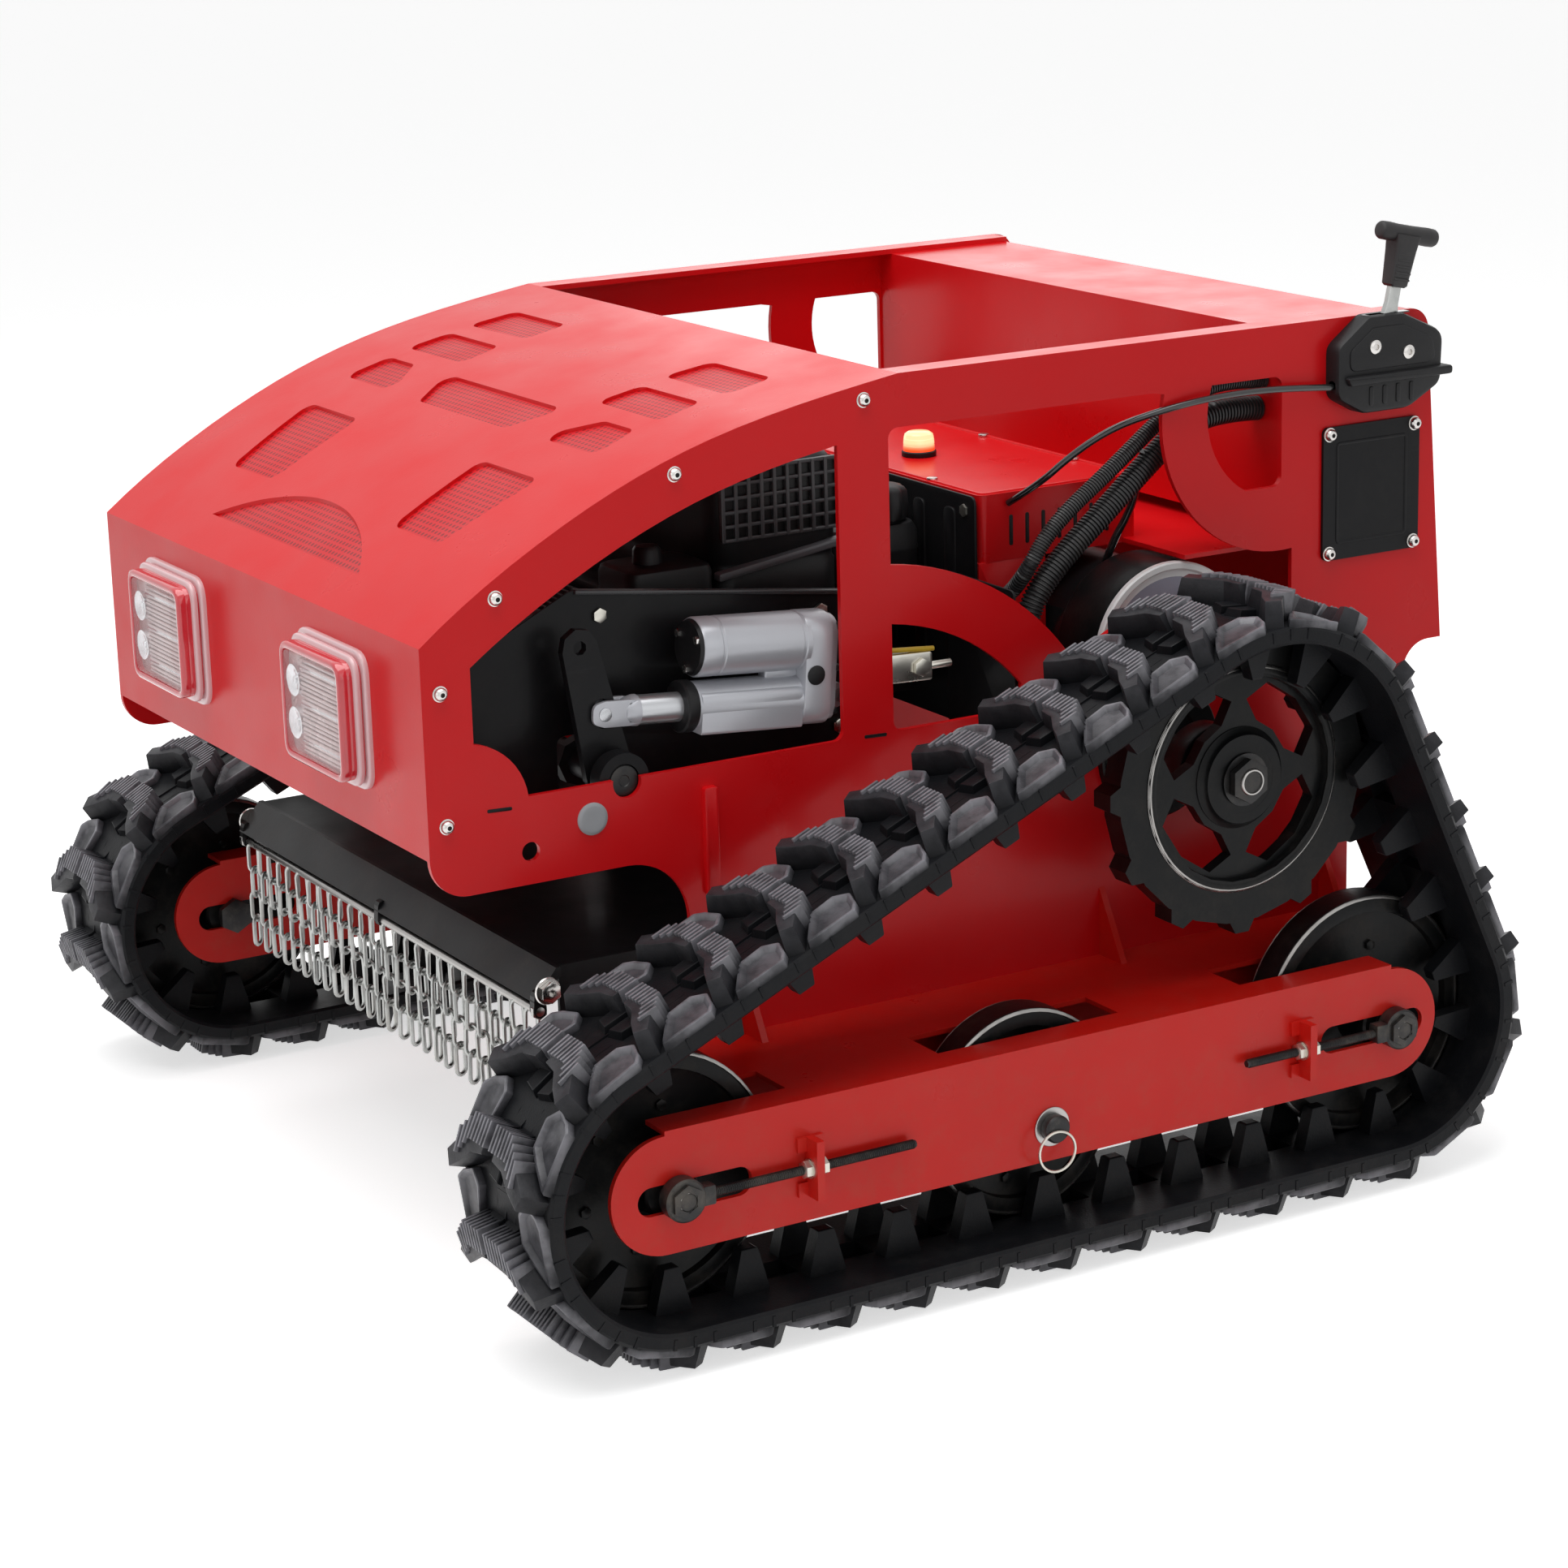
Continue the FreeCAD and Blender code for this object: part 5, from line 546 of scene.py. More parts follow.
def slab(bm, points, low, high, place, edge=1.0, tint=0, foot_edge=0.0):
    """Plate on an outline with rounded rims."""
    up = 1 if high > low else -1
    step, foot, layers = edge * up, foot_edge * up, [(low, 0)]
    if foot_edge:
        layers = [(low, foot_edge), (low + foot * 0.3, foot_edge * 0.3), (low + foot, 0)]
    layers += [(high - step, 0), (high - step * 0.3, edge * 0.3), (high, edge)]
    stack(bm, place, [(inwards(points, size), height) for height, size in layers], tint)


def on_x(a, b, height):
    return Vector((height, a, b))


def on_y(a, b, height):
    return Vector((a, height, b))


def on_z(a, b, height):
    return Vector((a, b, height))


def block(bm, x0, x1, y0, y1, z0, z1, edge=1.0, tint=0, corner=None):
    """Box with softened edges; corner rounds its upright edges."""
    outline = oblong(x0, x1, y0, y1, edge if corner is None else corner)
    slab(bm, outline, z0, z1, on_z, edge, tint, edge)


def wire(bm, points, radius, tint=0, steps=8, closed=False):
    """Round wire through points, kept from twisting."""
    spots = [Vector(p) for p in points]
    count = len(spots)
    rings, over = [], None
    for i, spot in enumerate(spots):
        before = spots[i - 1] if closed or i else spot
        after = spots[(i + 1) % count] if closed or i < count - 1 else spot
        along = (after - before).normalized()
        over = axes_about(along)[0] if over is None else \
            (over - along * along.dot(over)).normalized()
        side = along.cross(over)
        rings.append([spot + over * c + side * s for c, s in circle(steps, radius)])
    skin(bm, rings, tint, True, closed)


def mirror(bm, keep=True):
    """Adds the mirror image across the middle plane, or takes its place."""
    turned = list(bm.verts)
    if keep:
        copy = bmesh.ops.duplicate(bm, geom=[*bm.verts, *bm.edges, *bm.faces])["geom"]
        turned = [item for item in copy if isinstance(item, bmesh.types.BMVert)]
    for vert in turned:
        vert.co.x = -vert.co.x


def meshed(name, bm):
    """Mesh in metres from one drawn in millimetres."""
    bmesh.ops.recalc_face_normals(bm, faces=bm.faces)
    bm.transform(Matrix.Scale(0.001, 4))
    mesh = bpy.data.meshes.new(name)
    bm.to_mesh(mesh)
    bm.free()
    return mesh


def piece(name, body, finishes, bm, stands_for=(), sharp=38.0):
    """Turns a mesh in millimetres into a piece that rides on a body.

    It stands in for the named CAD nodes.
    """
    mesh = meshed(name, bm)
    for label in finishes:
        mesh.materials.append(FINISHES[label])
    settle(linked(name, mesh), body, stands_for, sharp)


def settle(obj, body, stands_for, sharp=38.0):
    if obj.type == "MESH":
        obj.data.shade_smooth()
        obj.data.set_sharp_from_angle(angle=radians(sharp))
    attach(obj, body)
    if stands_for:
        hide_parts(*stands_for)


SIDES = (("left", 1), ("right", -1))


def paired(name, bodies, finishes, build, stands_for=None, sharp=38.0):
    """The left piece and its mirror image on the right, each on its own body."""
    for side, sign in SIDES:
        bm = bmesh.new()
        build(bm)
        if sign < 0:
            mirror(bm, keep=False)
        nodes = (stands_for + "_" + side,) if stands_for else ()
        piece(name + "_" + side, bodies + "_" + side, finishes, bm, nodes,
            sharp)


# ---------------- repeats with Geometry Nodes
def node_tree(name, sockets):
    tree = bpy.data.node_groups.new(name, "GeometryNodeTree")
    tree.interface.new_socket("Geometry", in_out="INPUT", socket_type="NodeSocketGeometry")
    tree.interface.new_socket("Geometry", in_out="OUTPUT", socket_type="NodeSocketGeometry")
    for label, kind in sockets:
        tree.interface.new_socket(label, in_out="INPUT", socket_type="NodeSocket" + kind)
    return tree, tree.nodes.new("NodeGroupInput").outputs, tree.nodes.new("NodeGroupOutput")


def evaluated(obj):
    graph = bpy.context.evaluated_depsgraph_get()
    graph.update()
    return bpy.data.meshes.new_from_object(obj.evaluated_get(graph))


def grown(name, mesh, tree, values):
    """Mesh that a Geometry Nodes tree makes from another, with its modifier taken off."""
    source = linked(name + "_source", mesh)
    modifier = source.modifiers.new(name, "NODES")
    modifier.node_group = tree
    ids = {item.name: item.identifier for item in tree.interface.items_tree
        if item.in_out == "INPUT"}
    for label, value in values.items():
        modifier[ids[label]] = value
    result = evaluated(source)
    result.name = name
    bpy.data.objects.remove(source)
    return result


def stamp_tree():
    """Sets a copy of a stamp on each point, turned by the point's own angles."""
    tree, given, out = node_tree("stamp_on_points", [("Stamp", "Object"), ("Finish", "Material")])
    stamp = add(tree, "GeometryNodeObjectInfo", Object=given["Stamp"])
    angles = add(tree, "GeometryNodeInputNamedAttribute", {"data_type": "FLOAT_VECTOR"},
        Name="turn")
    turn = add(tree, "FunctionNodeEulerToRotation", Euler=angles.outputs[0])
    copies = add(tree, "GeometryNodeInstanceOnPoints", Points=given["Geometry"],
        Instance=stamp.outputs["Geometry"], Rotation=turn.outputs[0])
    real = add(tree, "GeometryNodeRealizeInstances", Geometry=copies.outputs[0])
    done = add(tree, "GeometryNodeSetMaterial", Geometry=real.outputs[0], Material=given["Finish"])
    tree.links.new(done.outputs[0], out.inputs[0])
    return tree


STAMP_TREE = stamp_tree()


def stamped(name, body, label, stamp, spots, stands_for=(), sharp=38.0):
    """Copies of one shape at (point, turn) spots, as one mesh on one body."""
    mesh = bpy.data.meshes.new(name + "_spots")
    mesh.from_pydata([Vector(point) / 1000 for point, turn in spots], [], [])
    angles = mesh.attributes.new("turn", "FLOAT_VECTOR", "POINT")
    for i, (point, turn) in enumerate(spots):
        angles.data[i].vector = turn
    die = linked(name + "_stamp", meshed(name + "_stamp", stamp))
    made = grown(name, mesh, STAMP_TREE, {"Stamp": die, "Finish": FINISHES[label]})
    bpy.data.objects.remove(die)
    coat(made, label)
    settle(linked(name, made), body, stands_for, sharp)


# ---------------- track belts
AXLE_Z, FRONT_Y, REAR_Y = 148.0, -374.8407, 337.0
SPROCKET_AT, ROLLER_AT = (206.5, 383.0), (-22.0, 131.0)
MOTOR_AT, ROCK_SHAFT_AT = (231.5, 465.0), (-317, 437)
SPROCKET_PITCH_R, IDLER_PITCH_R = 137.51, 117.5
LINK_PITCH, LINKS, TRACK_X = 72.0, 33, 450


def around(circles, steps=720):
    """Outline stretched round circles given as (y, z, radius), from the top."""
    points = []
    for way in circle(steps, 1.0, pi / 2):
        cy, cz, r = max(circles, key=lambda c: c[0] * way[0] + c[1] * way[1] + c[2])
        points.append((cy + r * way[0], cz + r * way[1]))
    return points


def belt_line():
    """Pitch line of the belt as a closed curve that starts on top of the sprocket."""
    points = [(0, y, z) for y,
        z in around([(*SPROCKET_AT, SPROCKET_PITCH_R), (FRONT_Y, AXLE_Z, IDLER_PITCH_R),
        (REAR_Y, AXLE_Z, IDLER_PITCH_R)])]
    curve = bpy.data.curves.new("belt_line", "CURVE")
    curve.dimensions = "3D"
    spline = curve.splines.new("POLY")
    spline.points.add(len(points) - 1)
    for target, spot in zip(spline.points, points):
        target.co = (*(Vector(spot) / 1000), 1)
    spline.use_cyclic_u = True
    return linked("belt_line", curve)


def belt_tree():
    """Repeats a link along Y, then bends the strip round the belt line."""
    tree, given, out = node_tree("bend_round_line", [("Line", "Object"), ("Count", "Int"),
        ("Pitch", "Float"), ("Across", "Float"), ("Finish", "Material")])
    step = add(tree, "ShaderNodeCombineXYZ", Y=given["Pitch"])
    row = add(tree, "GeometryNodeMeshLine", Count=given["Count"], Offset=step.outputs[0])
    copies = add(tree, "GeometryNodeInstanceOnPoints", Points=row.outputs[0],
        Instance=given["Geometry"])
    real = add(tree, "GeometryNodeRealizeInstances", Geometry=copies.outputs[0])
    line = add(tree, "GeometryNodeObjectInfo", Object=given["Line"])
    length = add(tree, "GeometryNodeCurveLength", Curve=line.outputs["Geometry"]).outputs[0]
    whole = calc(tree, "MULTIPLY", given["Count"], given["Pitch"])
    spot = add(tree, "ShaderNodeSeparateXYZ",
        Vector=tree.nodes.new("GeometryNodeInputPosition").outputs[0])
    part = calc(tree, "WRAP", calc(tree, "DIVIDE", spot.outputs["Y"], whole), 1.0, 0.0)
    sample = add(tree, "GeometryNodeSampleCurve", {"mode": "LENGTH"},
        Curves=line.outputs["Geometry"], Length=calc(tree, "MULTIPLY", part, length))
    way = add(tree, "ShaderNodeSeparateXYZ", Vector=sample.outputs["Tangent"])
    here = add(tree, "ShaderNodeSeparateXYZ", Vector=sample.outputs["Position"])
    place = add(tree, "ShaderNodeCombineXYZ", X=calc(tree, "ADD", spot.outputs["X"],
        given["Across"]), Y=calc(tree, "MULTIPLY_ADD", way.outputs["Z"], spot.outputs["Z"],
        here.outputs["Y"]), Z=calc(tree, "SUBTRACT", here.outputs["Z"],
        calc(tree, "MULTIPLY", way.outputs["Y"], spot.outputs["Z"])))
    bent = add(tree, "GeometryNodeSetPosition", Geometry=real.outputs[0],
        Position=place.outputs[0])
    joined = add(tree, "GeometryNodeMergeByDistance", Geometry=bent.outputs[0], Distance=0.00005)
    done = add(tree, "GeometryNodeSetMaterial", Geometry=joined.outputs[0],
        Material=given["Finish"])
    tree.links.new(done.outputs[0], out.inputs[0])
    return tree


def grid_solid(bm, xs, ys, present, top, bottom):
    """Solid over the cells of a grid, with walls where a cell has no neighbour."""
    lower, upper = {}, {}

    def vert(store, i, j, height):
        if (i, j) not in store:
            store[i, j] = bm.verts.new((xs[i], ys[j], height(xs[i])))
        return store[i, j]

    for i in range(len(xs) - 1):
        for j in range(len(ys) - 1):
            if not present(i, j):
                continue
            ring = [(i, j), (i + 1, j), (i + 1, j + 1), (i, j + 1)]
            bm.faces.new([vert(upper, a, b, top) for a, b in ring])
            bm.faces.new([vert(lower, a, b, bottom) for a, b in reversed(ring)])
            beside = [(i, j - 1), (i + 1, j), (i, j + 1), (i - 1, j)]
            for k, (a, b) in enumerate(beside):
                if b < 0 or b >= len(ys) - 1:
                    continue
                if a < 0 or a >= len(xs) - 1 or not present(a, b):
                    first, second = ring[k], ring[(k + 1) % 4]
                    bm.faces.new([vert(lower, *first, bottom), vert(lower, *second, bottom),
                        vert(upper, *second, top), vert(upper, *first, top)])


BAR = [(2, -32), (30, -30), (50, -14), (72, 3), (64, 16), (44, 7), (24, -6), (2, -9)]
SCOOP = [(36, -27), (50, -16), (73, 1), (73, -50), (64, -57), (46, -63), (34, -52)]
FOOT = [(2, -36), (24, -36), (20, 10), (2, 14)]


def link_mesh():
    """One link of the belt lying flat: across is X, along is Y, out from the line is Z."""
    bm = bmesh.new()
    xs = [-74.3, -72, -45, -15, 15, 45, 72, 74.3]
    ys = [-36, -27, -17, -8.5, 0, 8.5, 17, 27, 36]

    def present(i, j):
        return not (xs[i] == -15 and (ys[j] >= 17 or ys[j + 1] <= -17))

    grid_solid(bm, xs, ys, present, lambda x: 2.5 if abs(x) > 74 else 5.5,
        lambda x: -7.0 if abs(x) > 74 else -9.5)
    for low, high in ((-36, -16.6), (16.6, 36)):
        web = box_line(-15.6, 15.6, low, high)
        stack(bm, on_z, [(web, 1.9), (web, 5.7)])

    def shrunk(outline, share):
        ma = sum(a for a, b in outline) / len(outline)
        mb = sum(b for a, b in outline) / len(outline)
        return [(ma + (a - ma) * share, mb + (b - mb) * share) for a, b in outline]

    def tapered(outline, low, high, share, rim):
        small = shrunk(outline, share)
        stack(bm, on_z, [(outline, low), (small, high - rim), (inwards(small, rim * 0.3),
            high - rim * 0.3), (inwards(small, rim), high)])

    for side in (1, -1):
        bar, foot, scoop = ([(side * a, b) for a, b in line] for line in (BAR, FOOT, SCOOP))
        tapered(bar, 3.5, 27.4, 0.80, 0.9)
        tapered(foot, 3.5, 12.0, 0.86, 1.2)
        pad = rounded(scoop, 3, 2)
        rings = [(pad, 3.5), (shrunk(pad, 0.96), 11.6), (shrunk(pad, 0.93), 12.4),
            (shrunk(pad, 0.83), 12.2), (shrunk(pad, 0.66), 8.2), (shrunk(pad, 0.4), 7.8)]
        stack(bm, on_z, rings)
        for k in range(9):
            x = 4.0 + 5.3 * k
            y = -33.6 + 0.8 * max(0.0, x - 30)
            tapered(box_line(x, x + 2.9, y, y + 21, side), 6.0, 30.3, 0.84, 0.5)
        guide = box_line(18, 33, -17, 17, side)
        tip = box_line(18.6, 32, -8, 8, side)
        rings = [(guide, -8.5), (guide, -11.5), (tip, -45.3), (inwards(tip, 0.7), -46.8),
            (inwards(tip, 2.2), -47.5)]
        stack(bm, on_z, rings)
        for y in (-22.5, -4.5, 13.5):
            tapered(box_line(70, 74.9, y, y + 3, side), -5.0, 4.4, 0.97, 0.5)
    seam = box_line(-0.9, 0.9, -36, 36)
    stack(bm, on_z, [(seam, 5.0), ([(a * 0.5, b) for a, b in seam], 7.2)])
    mesh = meshed("belt_link", bm)
    wear_and_highlight = mesh.attributes.new("tread_wear_and_highlight", "FLOAT", "POINT")
    # wear share with painted highlight: full on the comb tops, rising towards each pad's lower lip
    for i, vert in enumerate(mesh.vertices):
        x, y, z = vert.co * 1000
        lip_highlight_share = max(0.0, min(1.0, (-y - 12) / 36))
        on_pad = abs(x) >= 33 and 7 < z < 13
        wear_and_highlight.data[i].value = 1.0 if z > 29 else 0.15 if z > 25 else \
            (0.25 + 0.75 * lip_highlight_share if z > 11 else 0.1 + 0.4 * lip_highlight_share) if on_pad else 0.0
    return mesh


def track_belts():
    line, tree = belt_line(), belt_tree()
    for side, sign in SIDES:
        made = grown("tread_belt_" + side, link_mesh(), tree, {"Line": line, "Count": LINKS,
            "Pitch": mm(LINK_PITCH), "Across": sign * mm(TRACK_X),
            "Finish": FINISHES["track_rubber"]})
        coat(made, "track_rubber")
        settle(linked("tread_belt_" + side, made), "chassis", ("track_belt_" + side,), 24.0)
    bpy.data.objects.remove(line)


# ---------------- chain curtain
ROD_Y, ROD_Z = -391, 248
STRANDS, ROW_HALF, CHAIN_PITCH = 26, 292, 24.0


def chain_link():
    """Welded link of round wire, drawn in the plane of X and Z about its top's inside."""
    bm = bmesh.new()
    half, straight, spots = 5.7, 8.4, []
    for start, middle in ((0.0, straight), (pi, -straight)):
        for k in range(8):
            a = start + pi * k / 7
            spots.append((half * cos(a), 0, middle + half * sin(a)))
    wire(bm, spots, 2.0, 0, 7, True)
    return bm


def chain_curtain():
    """Twenty-six short chains, each link square to the next and slightly astray."""
    spots = []
    for i in range(STRANDS):
        x = -ROW_HALF + 2 * ROW_HALF * i / (STRANDS - 1)
        lean = 0.05 * sin(i * 2.3)
        top, k = ROD_Z - 3.0, 0
        while top - 27.6 > 145.0:
            sway = 0.16 * sin(i * 5.1 + k * 2.9)
            turn = (0.0, lean, (pi / 2 if k % 2 else 0.0) + 0.55 + sway)
            spots.append(((x + lean * (ROD_Z - top) * 0.4, ROD_Y + 0.8 * sin(i + k * 1.7),
                top - 11.4), turn))
            top -= CHAIN_PITCH
            k += 1
    stamped("hanging_chains", "chain_curtain", "galvanised_steel", chain_link(), spots,
        ("chain_curtain",))
    bm = bmesh.new()
    soft_rod(bm, (-309, ROD_Y, ROD_Z), X, 4.0, 618, 0, 0.8, 20)
    for x in (-308.9, 302.9):
        nut(bm, (x, ROD_Y, ROD_Z), X, 12.5, 6)
    piece("chain_rod", "chain_curtain", ["turned_steel"], bm)


# ---------------- wheels and drive
def spool(bm, y, z, r):
    rim = r - 16
    lathe(bm, (TRACK_X, y, z), X, [(-46.6, 0), (-46.6, 22), (-44.6, 24), (-22, 24), (-12, 27),
        (-6, 36), (-5, rim - 8), (-8, rim), (-15, rim + 1), (-15, r - 5), (-13, r - 0.4),
        (13, r - 0.4), (15, r - 5), (15, rim + 1), (8, rim), (5, rim - 8), (6, 36), (12, 27),
        (22, 24), (44.6, 24), (46.6, 22), (46.6, 0)], 0, 64)
    for sign in (-1, 1):
        lathe(bm, (TRACK_X, y, z), X * sign, [(13.4, r - 0.8), (14.4, r - 0.5), (15.6, r - 1.8),
            (15.8, r - 3), (14.5, r - 3.4)], 1, 64, True)
        for dy, dz in circle(6, 60, 0.3):
            nut(bm, (TRACK_X + sign * 5.2, y + dy, z + dz), X * sign, 8.5, 3.4)


def wheels():
    for name, y, z, r in (("front_idler", FRONT_Y, AXLE_Z, 107.5), ("rear_idler", REAR_Y, AXLE_Z,
            107.5), ("mid_roller", *ROLLER_AT, 90.5)):
        paired("turned_" + name, name, ["black_wheel_paint", "worn_wheel_steel"],
            partial(spool, y=y, z=z, r=r), name)


def sprocket_dress(bm):
    """Rolled ring, hub boss and weld bead over the sprocket's flat faces."""
    y, z = SPROCKET_AT
    for sign in (-1, 1):
        lathe(bm, (TRACK_X, y, z), X * sign, [(5.5, 88.6), (10.5, 88.8), (13.4, 90.2), (14.3, 93),
            (14.3, 96.5), (13.2, 99.2), (11, 100.2), (5.5, 100.6)], 0, 72, True)
        lathe(bm, (TRACK_X, y, z), X * sign, [(13.6, 96.6), (14.4, 96.6), (14.3, 97.6),
            (12.8, 99.6), (12.2, 99.4)], 1, 72, True)
        lathe(bm, (TRACK_X, y, z), X * sign, [(4, 45), (7, 44.5), (9.5, 41), (11.5, 39.5),
            (14.1, 38.6), (14.1, 30), (4, 30)], 0, 48, True)


def drive_hub(bm):
    """Shaft, flange and end nut of a sprocket."""
    y, z = SPROCKET_AT
    soft_rod(bm, (335, y, z), X, 17, 131, 0, 1, 32)
    soft_rod(bm, (397, y, z), X, 38.2, 26.6, 0, 2.5, 48)
    lathe(bm, (464, y, z), X, [(0, 0), (0, 21.5), (1.4, 23), (2.2, 23), (2.2, 0)], 0, 40)
    nut(bm, (466.2, y, z), X, 34, 8.6, 0)
    lathe(bm, (474.6, y, z), X, [(0, 9.4), (0, 12), (1.6, 11.8), (2.4, 11), (2.4, 9.8),
        (1.2, 9.4)], 1, 32, True)
    lathe(bm, (474.6, y, z), X, [(0, 0), (0, 9.3), (1.0, 9.3), (1.0, 0)], 0, 32)


def sprockets():
    paired("sprocket_ring", "sprocket", ["black_wheel_paint", "worn_wheel_steel"], sprocket_dress,
        None)
    paired("hub_and_nut", "sprocket", ["black_oxide", "turned_steel"], drive_hub, "drive_hub")


def drives():
    bm = bmesh.new()
    y, z = MOTOR_AT
    lathe(bm, (262, y, z), -X, [(0, 0), (0, 69), (1, 70), (3, 70), (4, 68.6), (9, 68.6), (10, 70),
        (118, 70), (119, 68.4), (124, 68.4), (125, 70), (133, 68), (147, 58), (150, 50), (150, 0)],
        0, 64)
    for dy, dz in circle(4, 66.5, pi / 4):
        soft_rod(bm, (262, y + dy, z + dz), -X, 3.4, 140, 0, 0.8, 12)
    mirror(bm)
    piece("motor_cans", "chassis", ["gloss_black"], bm, ("drive_motors",), 42)
    bm = bmesh.new()
    lathe(bm, (320, y, z), X, [(0, 60), (0, 79), (4.6, 79), (6, 77.6), (6, 73), (4.8, 71.6),
        (3.2, 71), (3.0, 60)], 0, 72, True)
    lathe(bm, (320, y, z), X, [(0.2, 0), (0.2, 70.6), (3.1, 70.6), (3.1, 0)], 1, 64)
    for dy, dz in circle(6, 52, 0.2):
        lathe(bm, (322.8, y + dy, z + dz), X, [(0, 0), (0, 6.4), (1.1, 6.4), (1.3, 5.6),
            (0.6, 4.8), (0.6, 0)], 2, 20)
    mirror(bm)
    piece("motor_end_rings", "chassis", ["white_enamel", "lilac_paint", "black_satin_coat"], bm,
        ("motor_covers",))
    bm = bmesh.new()
    slab(bm, around([(y, z, 79), (*SPROCKET_AT, 55)], 96), 262, 319.6, on_x, 2.5, 0, 2.5)
    lathe(bm, (320, *SPROCKET_AT), X, [(-2, 0), (-2, 68), (11, 68), (11, 61.8), (22.5, 61.8),
        (24, 60.2), (24, 40), (22, 38), (22, 18.6), (12, 18.6), (12, 0)], 0, 72)
    for dy, dz in circle(6, 50):
        nut(bm, (344, SPROCKET_AT[0] + dy, SPROCKET_AT[1] + dz), X, 13, 5, 1)
    mirror(bm)
    piece("gear_cases", "chassis", ["black_wheel_paint", "zinc_plate"], bm, ("gearboxes",))


# ---------------- track frame hardware
def adjuster(bm, y, end_y):
    """Axle with its eye, threaded rod and end nuts."""
    way = 1 if end_y > y else -1
    soft_rod(bm, (394.1, y, AXLE_Z), X, 12, 112, 0, 1, 28)
    lathe(bm, (505.9, y, AXLE_Z), X, [(0, 0), (0, 17.2), (1.2, 18), (13, 18), (14.6, 16.4),
        (14.6, 0)], 0, 40)
    block(bm, 506.4, 519.6, min(y, y + way * 27), max(y, y + way * 27), 139.6, 156.4, 2.0)
    nut(bm, (520.2, y, AXLE_Z), X, 25, 3.6, 0, 8.6)
    lathe(bm, (521.4, y, AXLE_Z), X, [(0, 7.2), (0, 8.5), (1.4, 8.4), (1.8, 7.6)], 1, 36, True)
    lathe(bm, (520.2, y, AXLE_Z), X, [(0, 0), (0, 7.1), (2.4, 7.1), (2.6, 6), (2.6, 0)], 0, 28)
    nut(bm, (394.1, y, AXLE_Z), -X, 30, 9, 0)
    start, reach = y + way * 25, abs(end_y - y) - 25
    thread, along = [(0, 3.2)], 0.0
    while along < reach - 1.4:
        thread += [(along + 0.1, 4.0), (along + 0.5, 4.0), (along + 0.95, 3.35),
            (along + 1.2, 3.35)]
        along += 1.3
    lathe(bm, (513.2, start, AXLE_Z), Y * way, thread + [(reach, 3.0)], 0, 14)


def frame_hardware():
    for place, y, end_y in (("front", FRONT_Y, -160.0), ("rear", REAR_Y, 173.0)):
        paired(place + "_adjuster", place + "_tensioner", ["black_oxide", "turned_steel"],
            partial(adjuster, y=y, end_y=end_y), place + "_tensioner")
    bm = bmesh.new()
    for y in (-255.0, 237.0):
        for side in (-1, 1):
            nut(bm, (513.2, y + side * 3.6, AXLE_Z), Y * side, 13, 7.6)
            lathe(bm, (513.2, y + side * 3.5, AXLE_Z), Y * side, [(0, 4.4), (0, 8.4), (1.5, 8.4),
                (1.5, 4.4)], 0, 28, True)
    mirror(bm)
    piece("adjuster_hex_nuts", "chassis", ["zinc_plate"], bm, ("adjuster_nuts",))
    bm = bmesh.new()
    soft_rod(bm, (394.4, *ROLLER_AT), X, 9, 112, 0, 1, 24)
    lathe(bm, (505.7, *ROLLER_AT), X, [(0, 0), (0, 17), (1.4, 17), (1.9, 16.4), (1.9, 0)], 1, 40)
    lathe(bm, (507.6, *ROLLER_AT), X, [(0, 0), (0, 11.6), (1, 12), (7.4, 12), (9.4, 10.4),
        (9.8, 8), (9.8, 0)], 0, 36)
    mirror(bm)
    piece("roller_bolts", "chassis", ["black_oxide", "turned_steel"], bm, ("roller_pins",))
    bm = bmesh.new()
    wire(bm, [(519.3 + y / 29, -25.5 + y, 113.6 + z) for z, y in circle(32, 17.4)], 1.2, 0, 8,
        True)
    mirror(bm)
    piece("split_rings", "chassis", ["zinc_plate"], bm, ("pull_rings",))
    bm = bmesh.new()
    for low, high in islands("pivot_bosses"):
        sign, middle = (1 if low.x > 0 else -1), (low + high) / 2
        base = (0, middle.y, middle.z)
        near, far = sorted((abs(low.x), abs(high.x)))
        if middle.y < -200:
            lathe(bm, base, X * sign, [(near, 14), (near, 21), (near + 2, 23), (far, 23),
                (far, 14)], 0, 48, True)
        else:
            lathe(bm, base, X * sign, [(near, 0), (near, 8), (near + 1, 9), (257.6, 9),
                (257.6, 14), (far, 14), (far, 0)], 0, 40)
    piece("round_pivot_bosses", "chassis", ["black_satin_coat"], bm, ("pivot_bosses",))
    bm = bmesh.new()
    for sign in (-1, 1):
        lathe(bm, (sign * 329.4, *ROCK_SHAFT_AT), X * sign, [(0, 0), (0, 12.6), (1.2, 12.4),
            (1.6, 11), (1.6, 5), (0.8, 4.4), (0.8, 0)], 0, 36)
    piece("rock_shaft_caps", "front_arm", ["black_oxide"], bm)


# ---------------- screws, plugs, covers
def islands(node):
    """Box of each separate solid of a CAD node, in millimetres."""
    bm = bmesh.new()
    bm.from_mesh(NODES[node].data)
    bmesh.ops.remove_doubles(bm, verts=bm.verts, dist=1e-6)
    found, seen = [], set()
    for first in bm.verts:
        if first in seen:
            continue
        todo, low, high = [first], first.co.copy(), first.co.copy()
        seen.add(first)
        while todo:
            vert = todo.pop()
            for k in range(3):
                low[k], high[k] = min(low[k], vert.co[k]), max(high[k], vert.co[k])
            for edge in vert.link_edges:
                other = edge.other_vert(vert)
                if other not in seen:
                    seen.add(other)
                    todo.append(other)
        found.append((low * 1000, high * 1000))
    bm.free()
    return found


def seats(node):
    """Side, seat place, radius and height of each screw or plug of a CAD node."""
    for low, high in islands(node):
        sign, middle = (1 if low.x > 0 else -1), (low + high) / 2
        yield (sign, low.x if sign > 0 else high.x, middle.y, middle.z, (high.y - low.y) / 2,
            high.x - low.x)


